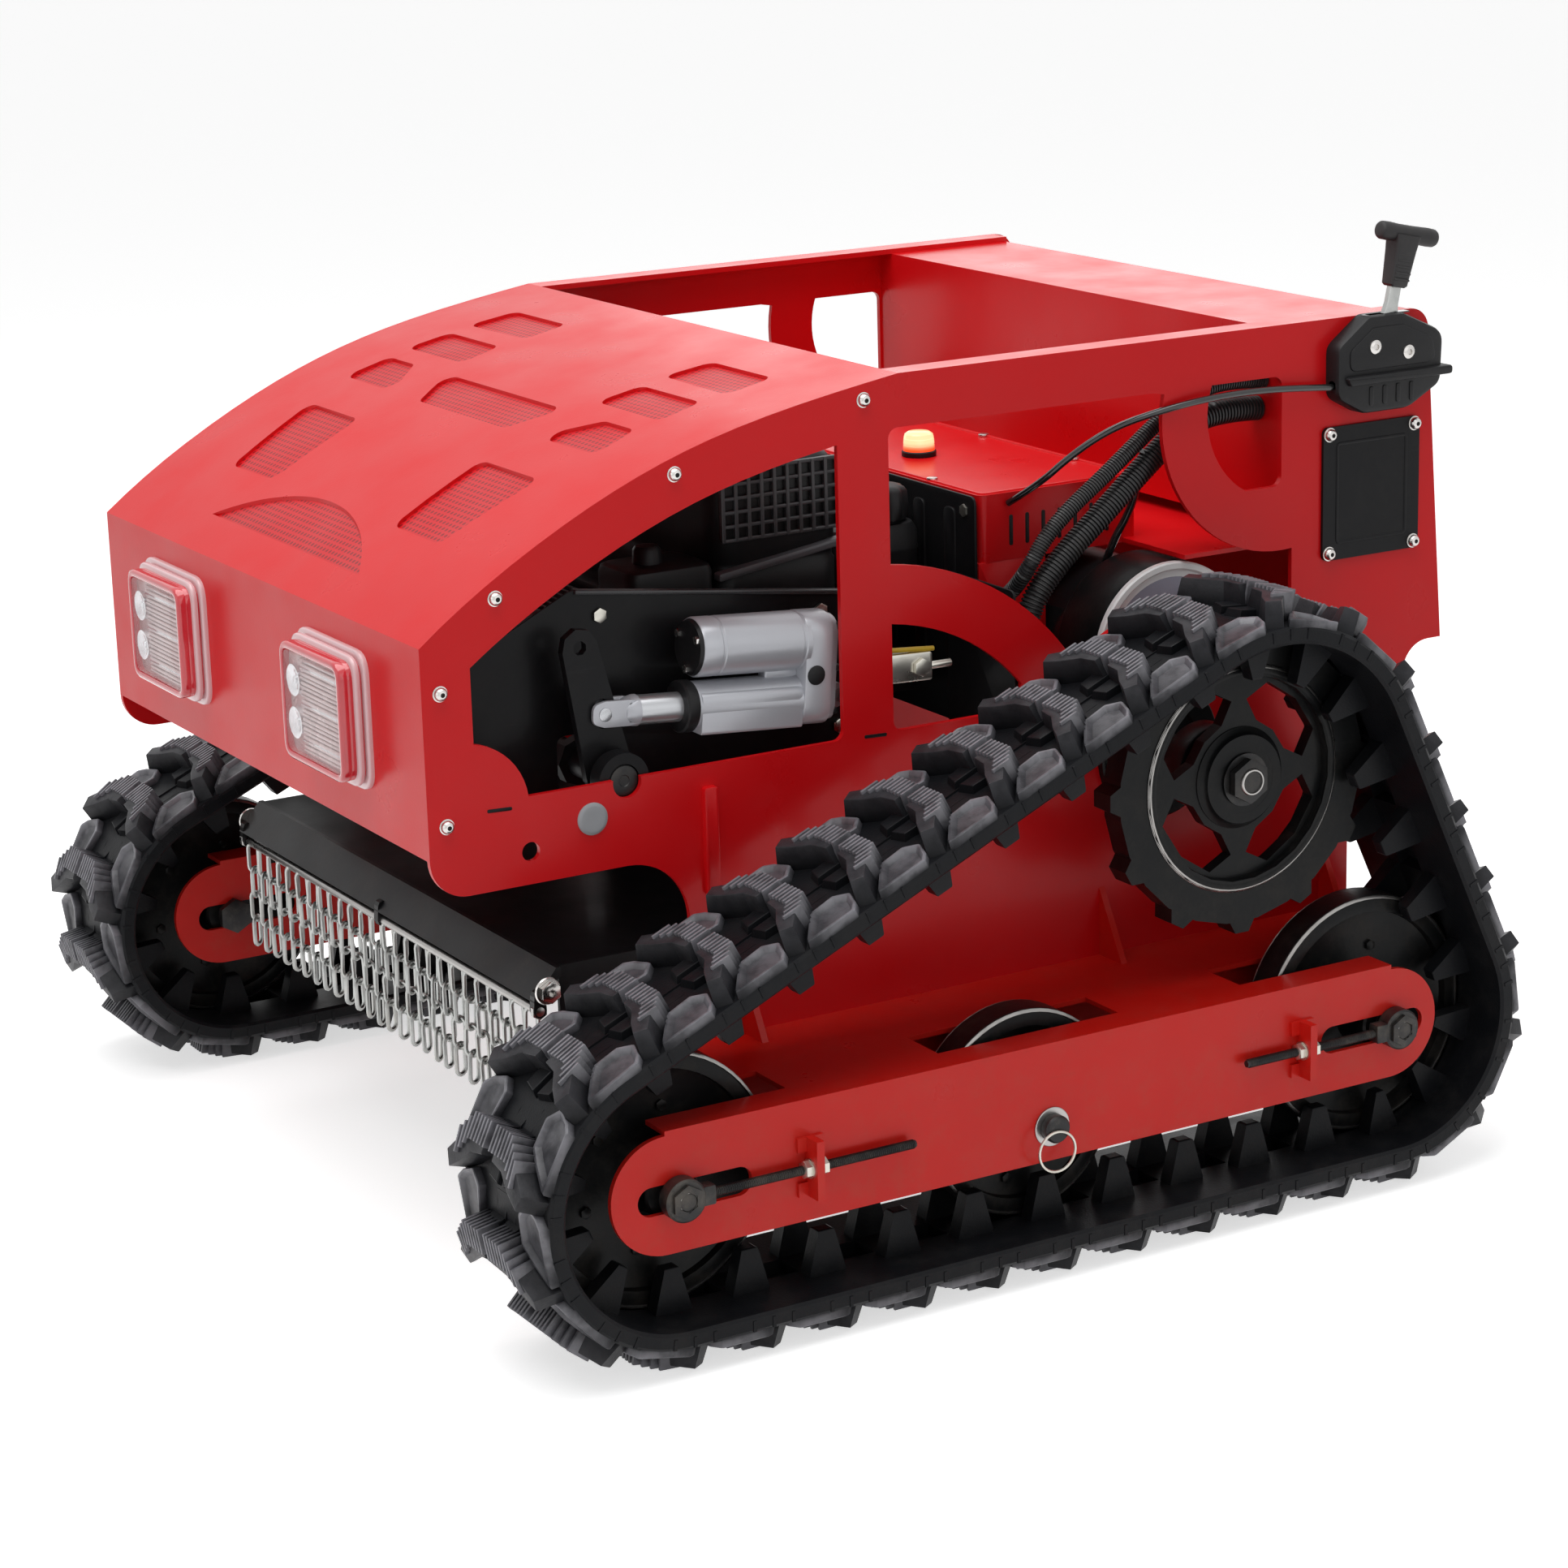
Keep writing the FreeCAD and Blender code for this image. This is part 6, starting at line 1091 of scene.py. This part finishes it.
def screws():
    bm = bmesh.new()
    for sign, base, y, z, r, h in seats("body_screws"):
        lathe(bm, (base, y, z), X * sign, [(0, 0), (0, r), (0.9, r), (1.0, r * 0.86),
            (h * 0.55, r * 0.84), (h * 0.85, r * 0.66), (h, r * 0.46), (h, r * 0.3),
            (h * 0.5, r * 0.26), (h * 0.5, 0)], 0, 26)
        nut(bm, (base + sign * h * 0.5, y, z), X * sign, r * 0.5, h * 0.1, 1)
    piece("button_screws", "chassis", ["bright_screw", "black_oxide"], bm, ("body_screws",))
    bm = bmesh.new()
    for sign, base, y, z, r, h in seats("end_caps"):
        lathe(bm, (base, y, z), X * sign, [(0, 0), (0, r), (1.2, r), (2.2, r * 0.9),
            (2.5, r * 0.75), (2.2, r * 0.4), (2.1, 0)], 0, 40)
    piece("round_plugs", "chassis", ["grey_moulding"], bm, ("end_caps",))


# ---------------- headlamps
LAMP_X, LAMP_Z = 171, 493


def lamps():
    """Stepped lamps: a pale flange, a groove, a red body and a ribbed reflector."""
    bm = bmesh.new()

    def plate(x, half_w, half_h, corner, y0, y1, tint, edge=1.2, foot=0.0):
        outline = oblong(x - half_w, x + half_w, LAMP_Z - half_h, LAMP_Z + half_h, corner, 6)
        slab(bm, outline, y0, y1, on_y, edge, tint, foot)

    for x in (-LAMP_X, LAMP_X):
        plate(x, 68, 58, 20, -495, -499.5, 0, 1.6)
        plate(x, 62, 52, 18, -498, -503, 1, 0.5)
        plate(x, 64.5, 54.5, 18, -501.5, -506.5, 0, 1.8, 1.0)
        plate(x, 60, 50, 16, -505, -511.5, 1, 0.8)
        outer = oblong(x - 60, x + 60, LAMP_Z - 50, LAMP_Z + 50, 15, 6)
        rings = [(outer, -511), (outer, -516.8), (inwards(outer, 0.8), -518.4),
            (inwards(outer, 2.4), -519), (inwards(outer, 5.0), -519),
            (inwards(outer, 6.2), -518.2), (inwards(outer, 6.6), -512.5)]
        stack(bm, on_y, rings, 1)
        plate(x, 53.5, 43.5, 9, -511.4, -512.7, 2, 0.4)
        for k in range(21):
            z = 452.5 + 3.85 * k
            low = x - 26 + (2 if k % 2 else 0)
            outline = oblong(low, x + 51.5, z, z + 2.9, 1.0, 2)
            slab(bm, outline, -512.6, -515.6 - 0.6 * (k % 2), on_y, 0.9, 2)
        for z in (475, 511):
            lathe(bm, (x - 39, -512.8, z), -Y, [(0, 13.5), (3.6, 13.5), (4.0, 12.4), (1.2, 7.5),
                (0.6, 3.5), (2.2, 3.0), (2.8, 0), (0, 0)], 3, 30)
        for k in range(3):
            z = 462 + 31 * k
            lathe(bm, (x - 27, -513, z), X, [(0, 2.2), (0.4, 2.6), (77, 2.6), (77.6, 2.2)], 3, 12)
    piece("lamp_units", "chassis", ["frosted_flange", "red_lens", "ribbed_reflector",
        "chrome_ring"], bm, ("headlamp_bodies",), 50)
    bm = bmesh.new()
    for x in (-LAMP_X, LAMP_X):
        outline = oblong(x - 53, x + 53, LAMP_Z - 43, LAMP_Z + 43, 9, 6)
        slab(bm, outline, -517.2, -518.3, on_y, 0.4, 0, 0.3)
    piece("lamp_panes", "chassis", ["clear_lens"], bm, ("lamp_lenses",), 50)


# ---------------- lift actuator
ACTUATOR_TILT = radians(4.6)
ACTUATOR_AT = (303, -322, 489)


def in_actuator_frame(bm):
    bm.transform(Matrix.Translation(ACTUATOR_AT) @ Matrix.Rotation(-ACTUATOR_TILT, 4, "X"))


def actuator():
    bm = bmesh.new()
    lathe(bm, (0, 71, 0), Y, [(11, 13), (11, 20.6), (105, 20.6), (112, 21.8), (114, 21.8),
        (114, 0)], 0, 48)
    lathe(bm, (0, 71, 0), Y, [(0, 12.6), (0, 20.6), (1.4, 22), (9.6, 22), (11, 21), (11, 12.6)], 1,
        48, True)
    body = rounded([(-20.4, -21.4, 3), (20.4, -21.4, 3), (20.4, 14, 9), (-20.4, 14, 9)], 4, 5)
    slab(bm, body, 84, 180, on_y, 1.0, 0, 1.0)
    case = rounded([(-22, -22, 18), (22, -22, 18), (22, 74, 21), (-22, 74, 21)], 20, 8)
    slab(bm, case, 180, 206, on_y, 2.0, 0, 1.5)
    small = rounded([(-19, -19, 15), (19, -19, 15), (19, 71, 18), (-19, 71, 18)], 17, 8)
    slab(bm, small, 206, 212, on_y, 1.4, 0, 0)
    for a, b in ((-16, -10), (16, -10), (-16, 62), (16, 62), (-17, 27), (17, 27)):
        soft_rod(bm, (a, 211, b), Y, 3.2, 3.2, 1, 0.8, 14)
    lathe(bm, (0, 78, 49), Y, [(4, 0), (4, 24), (6, 25), (21, 25), (22, 24.2), (24, 24.2),
        (25, 25), (98, 25), (99, 24), (101, 24), (102, 25), (106, 25), (106, 0)], 0, 48)
    lathe(bm, (0, 78, 49), Y, [(0, 0), (0, 12), (1, 22), (3.9, 23.6), (3.9, 0)], 1, 48)
    for k in range(3):
        a = 0.5 + 2.1 * k
        nut(bm, (18 * cos(a), 79.2, 49 + 18 * sin(a)), -Y, 6.5, 3, 2)
    block(bm, -6, 6, 150, 184, 17, 28, 2, 0)
    lathe(bm, (0, 190, 22.6), X, [(21.8, 0), (21.8, 8), (22.6, 8.4), (23.2, 7), (23.2, 0)], 1, 20)
    slab(bm, rounded([(212, -11, 3), (225, -11, 11), (236, 0, 6), (225, 11, 11), (212, 11, 3)], 8,
        5), -4, 4, on_x, 0.8, 0, 0.8)
    soft_rod(bm, (-11, 225, 0), X, 6, 39, 2, 0.8, 24)
    soft_rod(bm, (25.5, 225, 0), X, 8, 3, 2, 0.8, 24)
    loop = [(26.5, 225 + 7.5 * sin(t * 0.7), -2 - 5.2 * t) for t in range(-1, 7)]
    wire(bm, loop, 0.9, 3, 6)
    wire(bm, [(26.8, 225 - 1.2 * t, -5.2 * t) for t in range(7)], 0.9, 3, 6)
    in_actuator_frame(bm)
    piece("actuator_housing", "chassis", ["silver_enamel", "moulded_black", "bright_screw",
        "zinc_plate"], bm, ("actuator_body",))
    bm = bmesh.new()
    soft_rod(bm, (0, 28, 0), Y, 12.4, 103, 0, 0.8, 40)
    lathe(bm, (0, 20, 0), Y, [(0, 0), (0, 9.8), (1.4, 11), (9, 13.2), (12, 13.2), (12, 0)], 1, 32)
    for sign in (-1, 1):
        cheek = rounded([(-11, -8, 8), (0, -11, 10), (24, -11, 3), (33, -9, 3), (33, 9, 3),
            (24, 11, 3), (0, 11, 10), (-11, 8, 8)], 6, 4)
        slab(bm, cheek, sign * 5, sign * 9, on_x, 0.7, 1, 0.5)
        soft_rod(bm, (sign * 9, 0, 0), X * sign, 5.8, 1.0, 0, 0.4, 20)
    block(bm, -9, 9, 21, 32, -9.5, 9.5, 1.5, 1)
    soft_rod(bm, (-9, 0, 0), X, 5.8, 18, 0, 0.5, 24)
    in_actuator_frame(bm)
    piece("actuator_piston", "actuator_rod", ["brushed_rod", "silver_enamel"], bm,
        ("actuator_rod",))


# ---------------- engine
def swollen(bm, x, y, half_x, half_y, corner, layers):
    """Moulded box whose size changes with its height: (z, share along X, share along Y)."""
    stack(bm, on_z,
        [(oblong(x - half_x * k, x + half_x * k, y - half_y * s, y + half_y * s, corner, 6), z)
        for z, k, s in layers])


def engine():
    bm = bmesh.new()
    block(bm, -118, 118, -178, 44, 434, 526, 6, 0, 30)
    for z in (452, 482, 508):
        outline = oblong(-120.5, 120.5, -180, 46, 32, 6)
        slab(bm, outline, z, z + 3.4, on_z, 1, 0, 1)
    for k in range(7):
        y = -252 + 11 * k
        outline = rounded([(-76, 448, 12), (76, 448, 12), (76, 519, 16), (-76, 519, 16)], 12, 5)
        slab(bm, outline, y, y + 3.4, on_y, 0.7, 1, 0.7)
    block(bm, -56, 56, -251, -176, 458, 509, 4, 1)
    for x in (-40, 40):
        for z in (462, 504):
            nut(bm, (x, -249, z), -Y, 11, 3)
    soft_rod(bm, (0, -250, 484), -Y, 9, 2, 2, 0.6, 20)
    piece("engine_castings", "deck", ["engine_black", "engine_fins", "white_enamel"], bm,
        ("engine_block",))

    bm = bmesh.new()
    swollen(bm, 0, -87, 196, 63, 26, ((526, 0.985, 0.97), (530, 1, 1), (560, 1, 1),
        (563, 0.99, 0.98), (568, 0.99, 0.98), (571, 1, 1), (640, 1, 1), (648, 0.99, 0.975),
        (653, 0.97, 0.93), (656, 0.93, 0.84)))
    grille = oblong(-146, -28, 588, 651, 4, 3)
    slab(bm, grille, 194, 196.4, on_x, 0.4, 1, 0)
    for k in range(10):
        y = -146 + 12.7 * k
        fin = oblong(y, y + 3.6, 588, 651, 1.0, 3)
        slab(bm, fin, 195.8, 200.4, on_x, 0.6, 3, 0)
    for k in range(6):
        z = 588 + 12 * k
        bar = oblong(-146, -28, z, z + 3.2, 1.0, 2)
        slab(bm, bar, 195.8, 199.8, on_x, 0.5, 3, 0)
    lip = rounded([(-152, 556), (-22, 574), (-22, 581), (-152, 563)], 2, 3)
    slab(bm, lip, 194, 204, on_x, 1.5, 4, 0)
    lathe(bm, (0, -87, 655.4), Z, [(0, 0), (0, 56), (4, 56), (6, 54), (6, 46), (8, 44), (11, 38),
        (12.4, 20), (12.6, 0)], 0, 56)
    for x, y in circle(18, 50):
        lathe(bm, (x, y - 87, 661.8), Z, [(-1, 0), (-1, 3.4), (0.4, 3.4), (0.9, 2.6), (0.9, 0)], 1,
            8)
    for x, y in ((-150, -134), (150, -134), (-150, -42), (150, -42)):
        soft_rod(bm, (x, y, 651), Z, 6, 3.6, 2, 1, 20)
    piece("blower_housing", "deck", ["moulded_black", "engine_black", "zinc_plate",
        "moulded_grey_black", "grey_paint"], bm, ("engine_shroud",))

    bm = bmesh.new()
    swollen(bm, 0, 27, 172, 47, 20, ((526, 0.96, 0.9), (529, 0.99, 0.97), (534, 1, 1), (549, 1, 1),
        (551, 1.003, 1.008), (554, 1.003, 1.008), (556, 1, 1), (568, 1, 1), (575, 0.98, 0.94),
        (578, 0.93, 0.84)))
    lathe(bm, (146, 42, 576), Z, [(0, 22), (3, 20), (3.5, 19), (11.6, 19), (11.9, 17), (11.9, 0),
        (0, 0)], 0, 40)
    piece("fuel_tank_shell", "deck", ["moulded_black"], bm, ("fuel_tank",))

    bm = bmesh.new()
    rings = []
    for z, r, depth in ((578.4, 25, 0), (579.5, 27, 2.4), (590, 27.4, 3), (603, 26.4, 3),
            (606.2, 24, 2), (607.8, 19, 0.4), (608.2, 12, 0)):
        reach = [r - depth * (0.5 + 0.5 * cos(pi * k / 3)) for k in range(60)]
        rings.append([(146 + c * size, 42 + s * size, z) for size,
            (c, s) in zip(reach, circle(60, 1.0))])
    skin(bm, rings)
    piece("ribbed_fuel_cap", "fuel_cap", ["moulded_black"], bm, ("fuel_cap",), 60)

    bm = bmesh.new()
    lathe(bm, (-158, -232, 500), Y, [(0, 0), (0, 30), (2.5, 36), (6, 38.4), (22, 38.4), (23, 40),
        (26, 40), (27, 38.4), (46, 38.4), (47, 40), (50, 40), (51, 38.4), (66, 38.4), (70, 36),
        (72, 30), (72, 0)], 0, 48)
    soft_rod(bm, (-150, -196, 500), X, 12, 74, 0, 2, 28)
    for dx, dz in circle(12, 22):
        lathe(bm, (-158 + dx, -231.6, 500 + dz), -Y, [(0, 0), (0, 2.6), (0.4, 2.2), (0.4, 0)], 1,
            12)
    piece("silencer", "deck", ["burnt_steel", "engine_black"], bm, ("muffler",))

    bm = bmesh.new()
    swollen(bm, 168, -195, 34, 41, 13, [(z, k, k) for z, k in ((500, 0.93), (503, 1), (540, 1),
        (541, 0.97), (544, 0.97), (545, 1), (567, 1), (572, 0.96), (574, 0.88))])
    lathe(bm, (168, -202, 573), Z, [(0, 13), (13, 12.4), (16, 10), (17, 0), (0, 0)], 0, 10)
    soft_rod(bm, (76, -195, 518), X, 12, 62, 0, 1.5, 24)
    for k in range(5):
        y = -228 + 15 * k
        rib = oblong(y, y + 6, 508, 536, 2, 3)
        slab(bm, rib, 199, 202, on_x, 1, 0, 0)
    piece("air_cleaner", "deck", ["moulded_black"], bm, ("air_filter",))


# ---------------- beacon, throttle
def beacon():
    bm = bmesh.new()
    lathe(bm, (43, 151, 606), Z, [(0, 0), (0, 15.6), (1, 16), (4.4, 16), (5.2, 15), (5.2, 0)], 0,
        40)
    lathe(bm, (43, 151, 611), Z, [(0, 14.6), (5, 14.4), (5.6, 13.8), (6.2, 14.3), (11, 14),
        (11.6, 13.4), (12.2, 13.8), (15.2, 13), (17.4, 10), (18, 5), (18, 0), (0, 0)], 1, 48)
    piece("glowing_beacon", "chassis", ["moulded_black", "lit_beacon"], bm, ("warning_beacon",))


def throttle():
    bm = bmesh.new()
    body = rounded([(390, 673, 14), (420, 657, 20), (470, 657, 26), (506, 676, 14), (508, 722, 16),
        (462, 743, 10), (424, 743, 12), (390, 718, 14)], 12, 6)
    slab(bm, body, 336, 354, on_x, 4.5, 0, 0)
    ledge = rounded([(400, 684, 3), (514, 684, 3), (514, 692, 3), (396, 692, 3)], 3, 3)
    slab(bm, ledge, 336, 360, on_x, 2.0, 0, 0)
    lid = rounded([(402, 696, 8), (498, 696, 8), (494, 719, 12), (460, 733, 8), (428, 733, 8),
        (402, 714, 8)], 8, 5)
    slab(bm, lid, 353, 355.6, on_x, 1.2, 0, 0)
    for k in range(4):
        y = 424 + 15 * k
        rib = oblong(y, y + 5, 664, 681, 2, 3)
        slab(bm, rib, 353.4, 355, on_x, 0.8, 0, 0)
    lathe(bm, (345, 394, 683), -Y, [(0, 0), (0, 6.5), (3.6, 6.5), (4, 5.6), (4, 0)], 0, 20)
    for y, z in ((428.7, 716), (466, 708)):
        lathe(bm, (355.4, y, z), X, [(0, 0), (0, 6.4), (1.6, 6.2), (2.8, 4.6), (2.8, 2.6),
            (1.2, 2.2), (1.2, 0)], 1, 24)
    gate = oblong(424, 472, 741.8, 743, 0.4, 2)
    slab(bm, gate, 341, 349, on_x, 0.3, 2, 0)
    piece("throttle_case", "chassis", ["moulded_black", "bright_screw", "gloss_black"], bm,
        ("throttle_housing",))

    lean = radians(77.6)
    hub = Vector((345, 448, 722))
    up = Vector((0, cos(lean), sin(lean)))
    ahead = Vector((0, -sin(lean), cos(lean)))

    def on_lever(a, b, height):
        """a is up the lever, b towards the front, height along X."""
        return hub + up * a + ahead * b + Vector((height, 0, 0))

    bm = bmesh.new()
    stem = rounded([(-11, -8, 7), (-11, 8, 7), (12, 9, 3), (30, 6, 3), (66, 6, 3), (66, -6, 3),
        (30, -6, 3), (12, -9, 3)], 4, 4)
    slab(bm, stem, -3, 3, on_lever, 0.7, 0, 0.7)
    piece("lever_blade", "throttle_lever", ["galvanised_steel"], bm, ("throttle_lever",))
    bm = bmesh.new()
    layers = [(44, 7.6, 6.6), (46, 9.4, 8), (60, 10.2, 8.8), (76, 11.2, 9.6), (84, 12.2, 9.9),
        (90, 13.6, 9.9)]
    rings = []
    for a, half, deep in layers:
        shape = oblong(-half, half, -deep, deep, 3.4, 4)
        rings.append([hub + up * a + ahead * b + Vector((h, 0, 0)) for b, h in shape])
    skin(bm, rings)
    start = hub + up * 91 + ahead * 28.4
    lathe(bm, start, -ahead, [(0, 0), (0, 5), (0.8, 7), (2.4, 8.0), (10, 8.3), (20, 7.7),
        (36, 7.7), (54, 8.3), (61, 8.0), (63, 7), (64, 5), (64, 0)], 0, 28)
    for k in range(5):
        a = 50 + 5.6 * k
        band = oblong(a, a + 2, -8.4, 8.4, 0.8, 2)
        slab(bm, band, 8.2, 9.6, on_lever, 0.5, 0, 0)
    piece("tee_handle", "throttle_lever", ["soft_grip_rubber"], bm, ("throttle_grip",))


# ---------------- cords on the body
def nurbs(name, points):
    """Spline along a route in metres."""
    curve = bpy.data.curves.new(name, "CURVE")
    curve.dimensions = "3D"
    spline = curve.splines.new("NURBS")
    spline.points.add(len(points) - 1)
    for target, point in zip(spline.points, points):
        target.co = (*point, 1)
    spline.order_u = 3
    spline.use_endpoint_u = True
    spline.resolution_u = 12
    return linked(name, curve)


def cord(name, points, radius, stands_for):
    """Plain round cord on the chassis."""
    obj = nurbs(name, points)
    obj.data.bevel_depth, obj.data.bevel_resolution = mm(radius), 5
    obj.data.use_fill_caps = True
    obj.data.materials.append(FINISHES["gloss_black"])
    settle(obj, "chassis", stands_for)


def spots_along(name, points):
    """Points read from the NURBS, in millimetres, for a hose that follows it."""
    obj = nurbs(name, points)
    spots = [vert.co * 1000 for vert in evaluated(obj).vertices]
    bpy.data.objects.remove(obj)
    return spots


def ribbed_hose(bm, spots, radius, depth, pitch):
    """Corrugated hose along a spline's own points: a crest and a trough per rib."""
    total, marks = 0.0, [0.0]
    for a, b in zip(spots, spots[1:]):
        total += (b - a).length
        marks.append(total)

    def spot_at(distance):
        for i in range(len(marks) - 1):
            if distance <= marks[i + 1] or i == len(marks) - 2:
                share = (distance - marks[i]) / (marks[i + 1] - marks[i])
                return spots[i].lerp(spots[i + 1], share), (spots[i + 1] - spots[i]).normalized()
        return spots[-1], (spots[-1] - spots[-2]).normalized()

    rings, over = [], None
    count = int(total / pitch)
    for k in range(count):
        for share, drop in ((0.0, depth), (0.22, depth), (0.4, 0.0), (0.78, 0.0)):
            spot, along = spot_at(min(total, (k + share) * total / count))
            over = axes_about(along)[0] if over is None else \
                (over - along * along.dot(over)).normalized()
            side = along.cross(over)
            rings.append([spot + over * c + side * s for c, s in circle(20, radius - drop)])
    skin(bm, rings)


def cords():
    route = [(0.345, 0.3897, 0.683), (0.345, 0.348, 0.687), (0.344, 0.300, 0.689),
        (0.346, 0.252, 0.688), (0.340, 0.210, 0.682), (0.318, 0.174, 0.668), (0.296, 0.146, 0.644),
        (0.276, 0.126, 0.618), (0.2403, 0.118, 0.597)]
    cord("throttle_line", route, 3, ("throttle_cable",))
    route = [(0.300, 0.3437, 0.664), (0.300, 0.298, 0.667), (0.302, 0.256, 0.655),
        (0.301, 0.214, 0.622), (0.300, 0.176, 0.590), (0.299, 0.139, 0.561), (0.298, 0.108, 0.530),
        (0.297, 0.095, 0.498), (0.297, 0.092, 0.466), (0.297, 0.102, 0.436), (0.298, 0.122, 0.417),
        (0.298, 0.1463, 0.411)]
    spots = spots_along("hose_line", route)
    bm = bmesh.new()
    ribbed_hose(bm, spots, 11, 1.7, 3.4)
    lathe(bm, (298, 147.6, 411), -Y, [(0, 0), (0, 13.2), (9, 13.2), (10, 12), (10, 0)], 0, 24)
    piece("ribbed_hose", "chassis", ["hose_rubber"], bm, ("cable_conduit",), 60)
    route = [(0.309, 0.3436, 0.690), (0.309, 0.302, 0.694), (0.308, 0.264, 0.686),
        (0.306, 0.230, 0.665), (0.304, 0.199, 0.641), (0.303, 0.169, 0.619), (0.301, 0.141, 0.599),
        (0.300, 0.116, 0.577), (0.299, 0.098, 0.550), (0.280, 0.094, 0.528), (0.252, 0.103, 0.517),
        (0.2385, 0.107, 0.516)]
    spots = spots_along("second_hose_line", route)
    bm = bmesh.new()
    ribbed_hose(bm, spots, 7.2, 1.2, 2.6)
    piece("thin_ribbed_hose", "chassis", ["hose_rubber"], bm, sharp=60)
    route = [(0.300, 0.219, 0.640), (0.290, 0.222, 0.618), (0.280, 0.224, 0.595),
        (0.270, 0.222, 0.575), (0.262, 0.216, 0.558), (0.256, 0.212, 0.540), (0.250, 0.214, 0.534)]
    cord("motor_lead", route, 3.5, ())


def liners():
    """Black bulkhead as painted shade over the control box front, engine guards and their clamps,
    and the red aprons.
    """
    # black sheet over the control box front and black wings beside it: painted shade where these
    # faces lie in shadow
    bm = bmesh.new()
    sheet = oblong(-238, 238, 398, 605.5, 8, 4)
    slab(bm, sheet, 86.5, 84, on_y, 0.6, 0, 0.4)
    for k in range(9):
        x = -200 + 50 * k
        rib = oblong(x - 9, x + 9, 448, 592, 7, 4)
        slab(bm, rib, 84.2, 81.6, on_y, 1.2, 0)
    for x in (-222, 222):
        for z in (446, 592):
            nut(bm, (x, 84, z), -Y, 10, 2.2, 1)
    for sign in (-1, 1):
        wing = oblong(sign * 226, sign * 331, 396, 542, 6, 4)
        slab(bm, wing, 64.4, 62, on_y, 0.6, 0, 0.4)
    piece("black_bulkhead", "chassis", ["black_satin_coat", "zinc_plate"], bm)
    bm = bmesh.new()
    guard = rounded([(-452, 418, 4), (-343, 418, 4), (-343, 463, 8), (-291, 463, 8),
        (-291, 418, 4), (-54, 418, 4), (-54, 500, 10), (-64, 549, 4), (-324, 584, 20),
        (-400, 548, 30), (-452, 520, 12)], 6, 5)
    slab(bm, guard, 262, 264.2, on_x, 0.6, 0, 0.4)
    fold = rounded([(-322, 580), (-66, 545.6), (-65.4, 549.6), (-321.4, 584)], 1.2, 3)
    slab(bm, fold, 258, 267, on_x, 1.4, 1, 1.0)
    for y, z in ((-430, 432), (-430, 505), (-300, 560), (-90, 535), (-75, 432)):
        nut(bm, (264.2, y, z), X, 11, 4, 2)
    mirror(bm)
    piece("engine_guards", "chassis", ["black_satin_coat", "moulded_grey_black", "zinc_plate"], bm)
    bm = bmesh.new()
    sheet = rounded([(88, 402, 12), (158, 402, 12), (158, 546.4, 1), (88, 546.4, 1)], 6, 4)
    slab(bm, sheet, 234.6, 237.8, on_x, 0.6, 0, 0.4)
    mirror(bm)
    piece("box_aprons", "chassis", ["red_powder_coat"], bm)
    bm = bmesh.new()
    slab(bm, rounded([(-62, 479), (-20, 477), (-20, 502), (-62, 504)], 3, 3), 318, 330.8, on_x,
        1.5, 0, 1.5)
    nut(bm, (330.6, -32, 490), X, 14, 4.4, 0)
    soft_rod(bm, (324, -22, 488), Y, 3.4, 24, 0, 0.8, 16)
    wire(bm, [(327, -62 + 9 * k, 507.4 - 0.8 * k) for k in range(6)], 2.2, 1, 10)
    piece("cable_clamp", "chassis", ["zinc_plate", "yellow_sleeve"], bm)


# ---------------- small fittings
def fittings():
    """Weld beads, slots, vents and lips on the sheet metal."""
    bm = bmesh.new()
    for k in range(7):
        y = 120 + 17 * k
        slot = oblong(y, y + 4, 558.5, 586, 1.9, 3)
        slab(bm, slot, 237.4, 238.3, on_x, 0.3, 0)
    for x in (-150, 0, 150):
        soft_rod(bm, (x, 250, 606), Z, 5, 2.6, 1, 0.8, 18)
        soft_rod(bm, (x, 97, 606), Z, 5, 2.6, 1, 0.8, 18)
    lip = oblong(-236, 236, 92, 255, 8, 4)
    skin(bm, [[on_z(a, b, z) for a, b in inwards(lip, s)] for z, s in ((606.0, 0.5), (607.4, 1.2),
        (607.8, 2.6), (607.2, 4.2), (606.0, 4.6))], 2, False)
    piece("control_box_trim", "chassis", ["moulded_black", "bright_screw", "red_powder_coat"], bm)
    bm = bmesh.new()
    for y0, y1, z0, z1 in ((-249, -236, 330, 422), (-97, -85, 330, 380)):
        slab(bm, oblong(y0, y1, z0, z1, 3, 3), 335.8, 342, on_x, 1.6, 0, 0)
    for y, z in ((-443, 432), (-92, 438)):
        slot = rounded([(y, z), (y + 22, z - 1), (y + 22, z + 2), (y, z + 3)], 1.4, 3)
        slab(bm, slot, 335.8, 336.3, on_x, 0.2, 1, 0)
    mirror(bm)
    piece("side_ribs", "chassis", ["red_powder_coat", "black_satin_coat"], bm)
    bm = bmesh.new()
    for sign in (-1, 1):
        lathe(bm, (sign * 309, -384, 265), X * sign, [(0, 0), (0, 11.4), (1.2, 12), (2.4, 11),
            (2.6, 0)], 0, 32)
        nut(bm, (sign * 311, -384, 265), X * sign, 16, 7, 0, 3)
    piece("skirt_bolts", "deck", ["bright_screw"], bm)
    bm = bmesh.new()
    outline = oblong(400, 480, 540, 632, 5)
    stack(bm, on_x, [(inwards(outline, size), x) for size, x in ((0, 338.9), (0.4, 339.6),
        (1.6, 339.9), (2.8, 339.5), (3.2, 338.9))], 0, False)
    mirror(bm)
    piece("cover_rib", "chassis", ["black_satin_coat"], bm)


camera_at_photo_angle()
studio()
make_finishes()
dress_nodes()
track_belts()
chain_curtain()
wheels()
sprockets()
drives()
frame_hardware()
screws()
lamps()
actuator()
engine()
beacon()
throttle()
cords()
liners()
fittings()
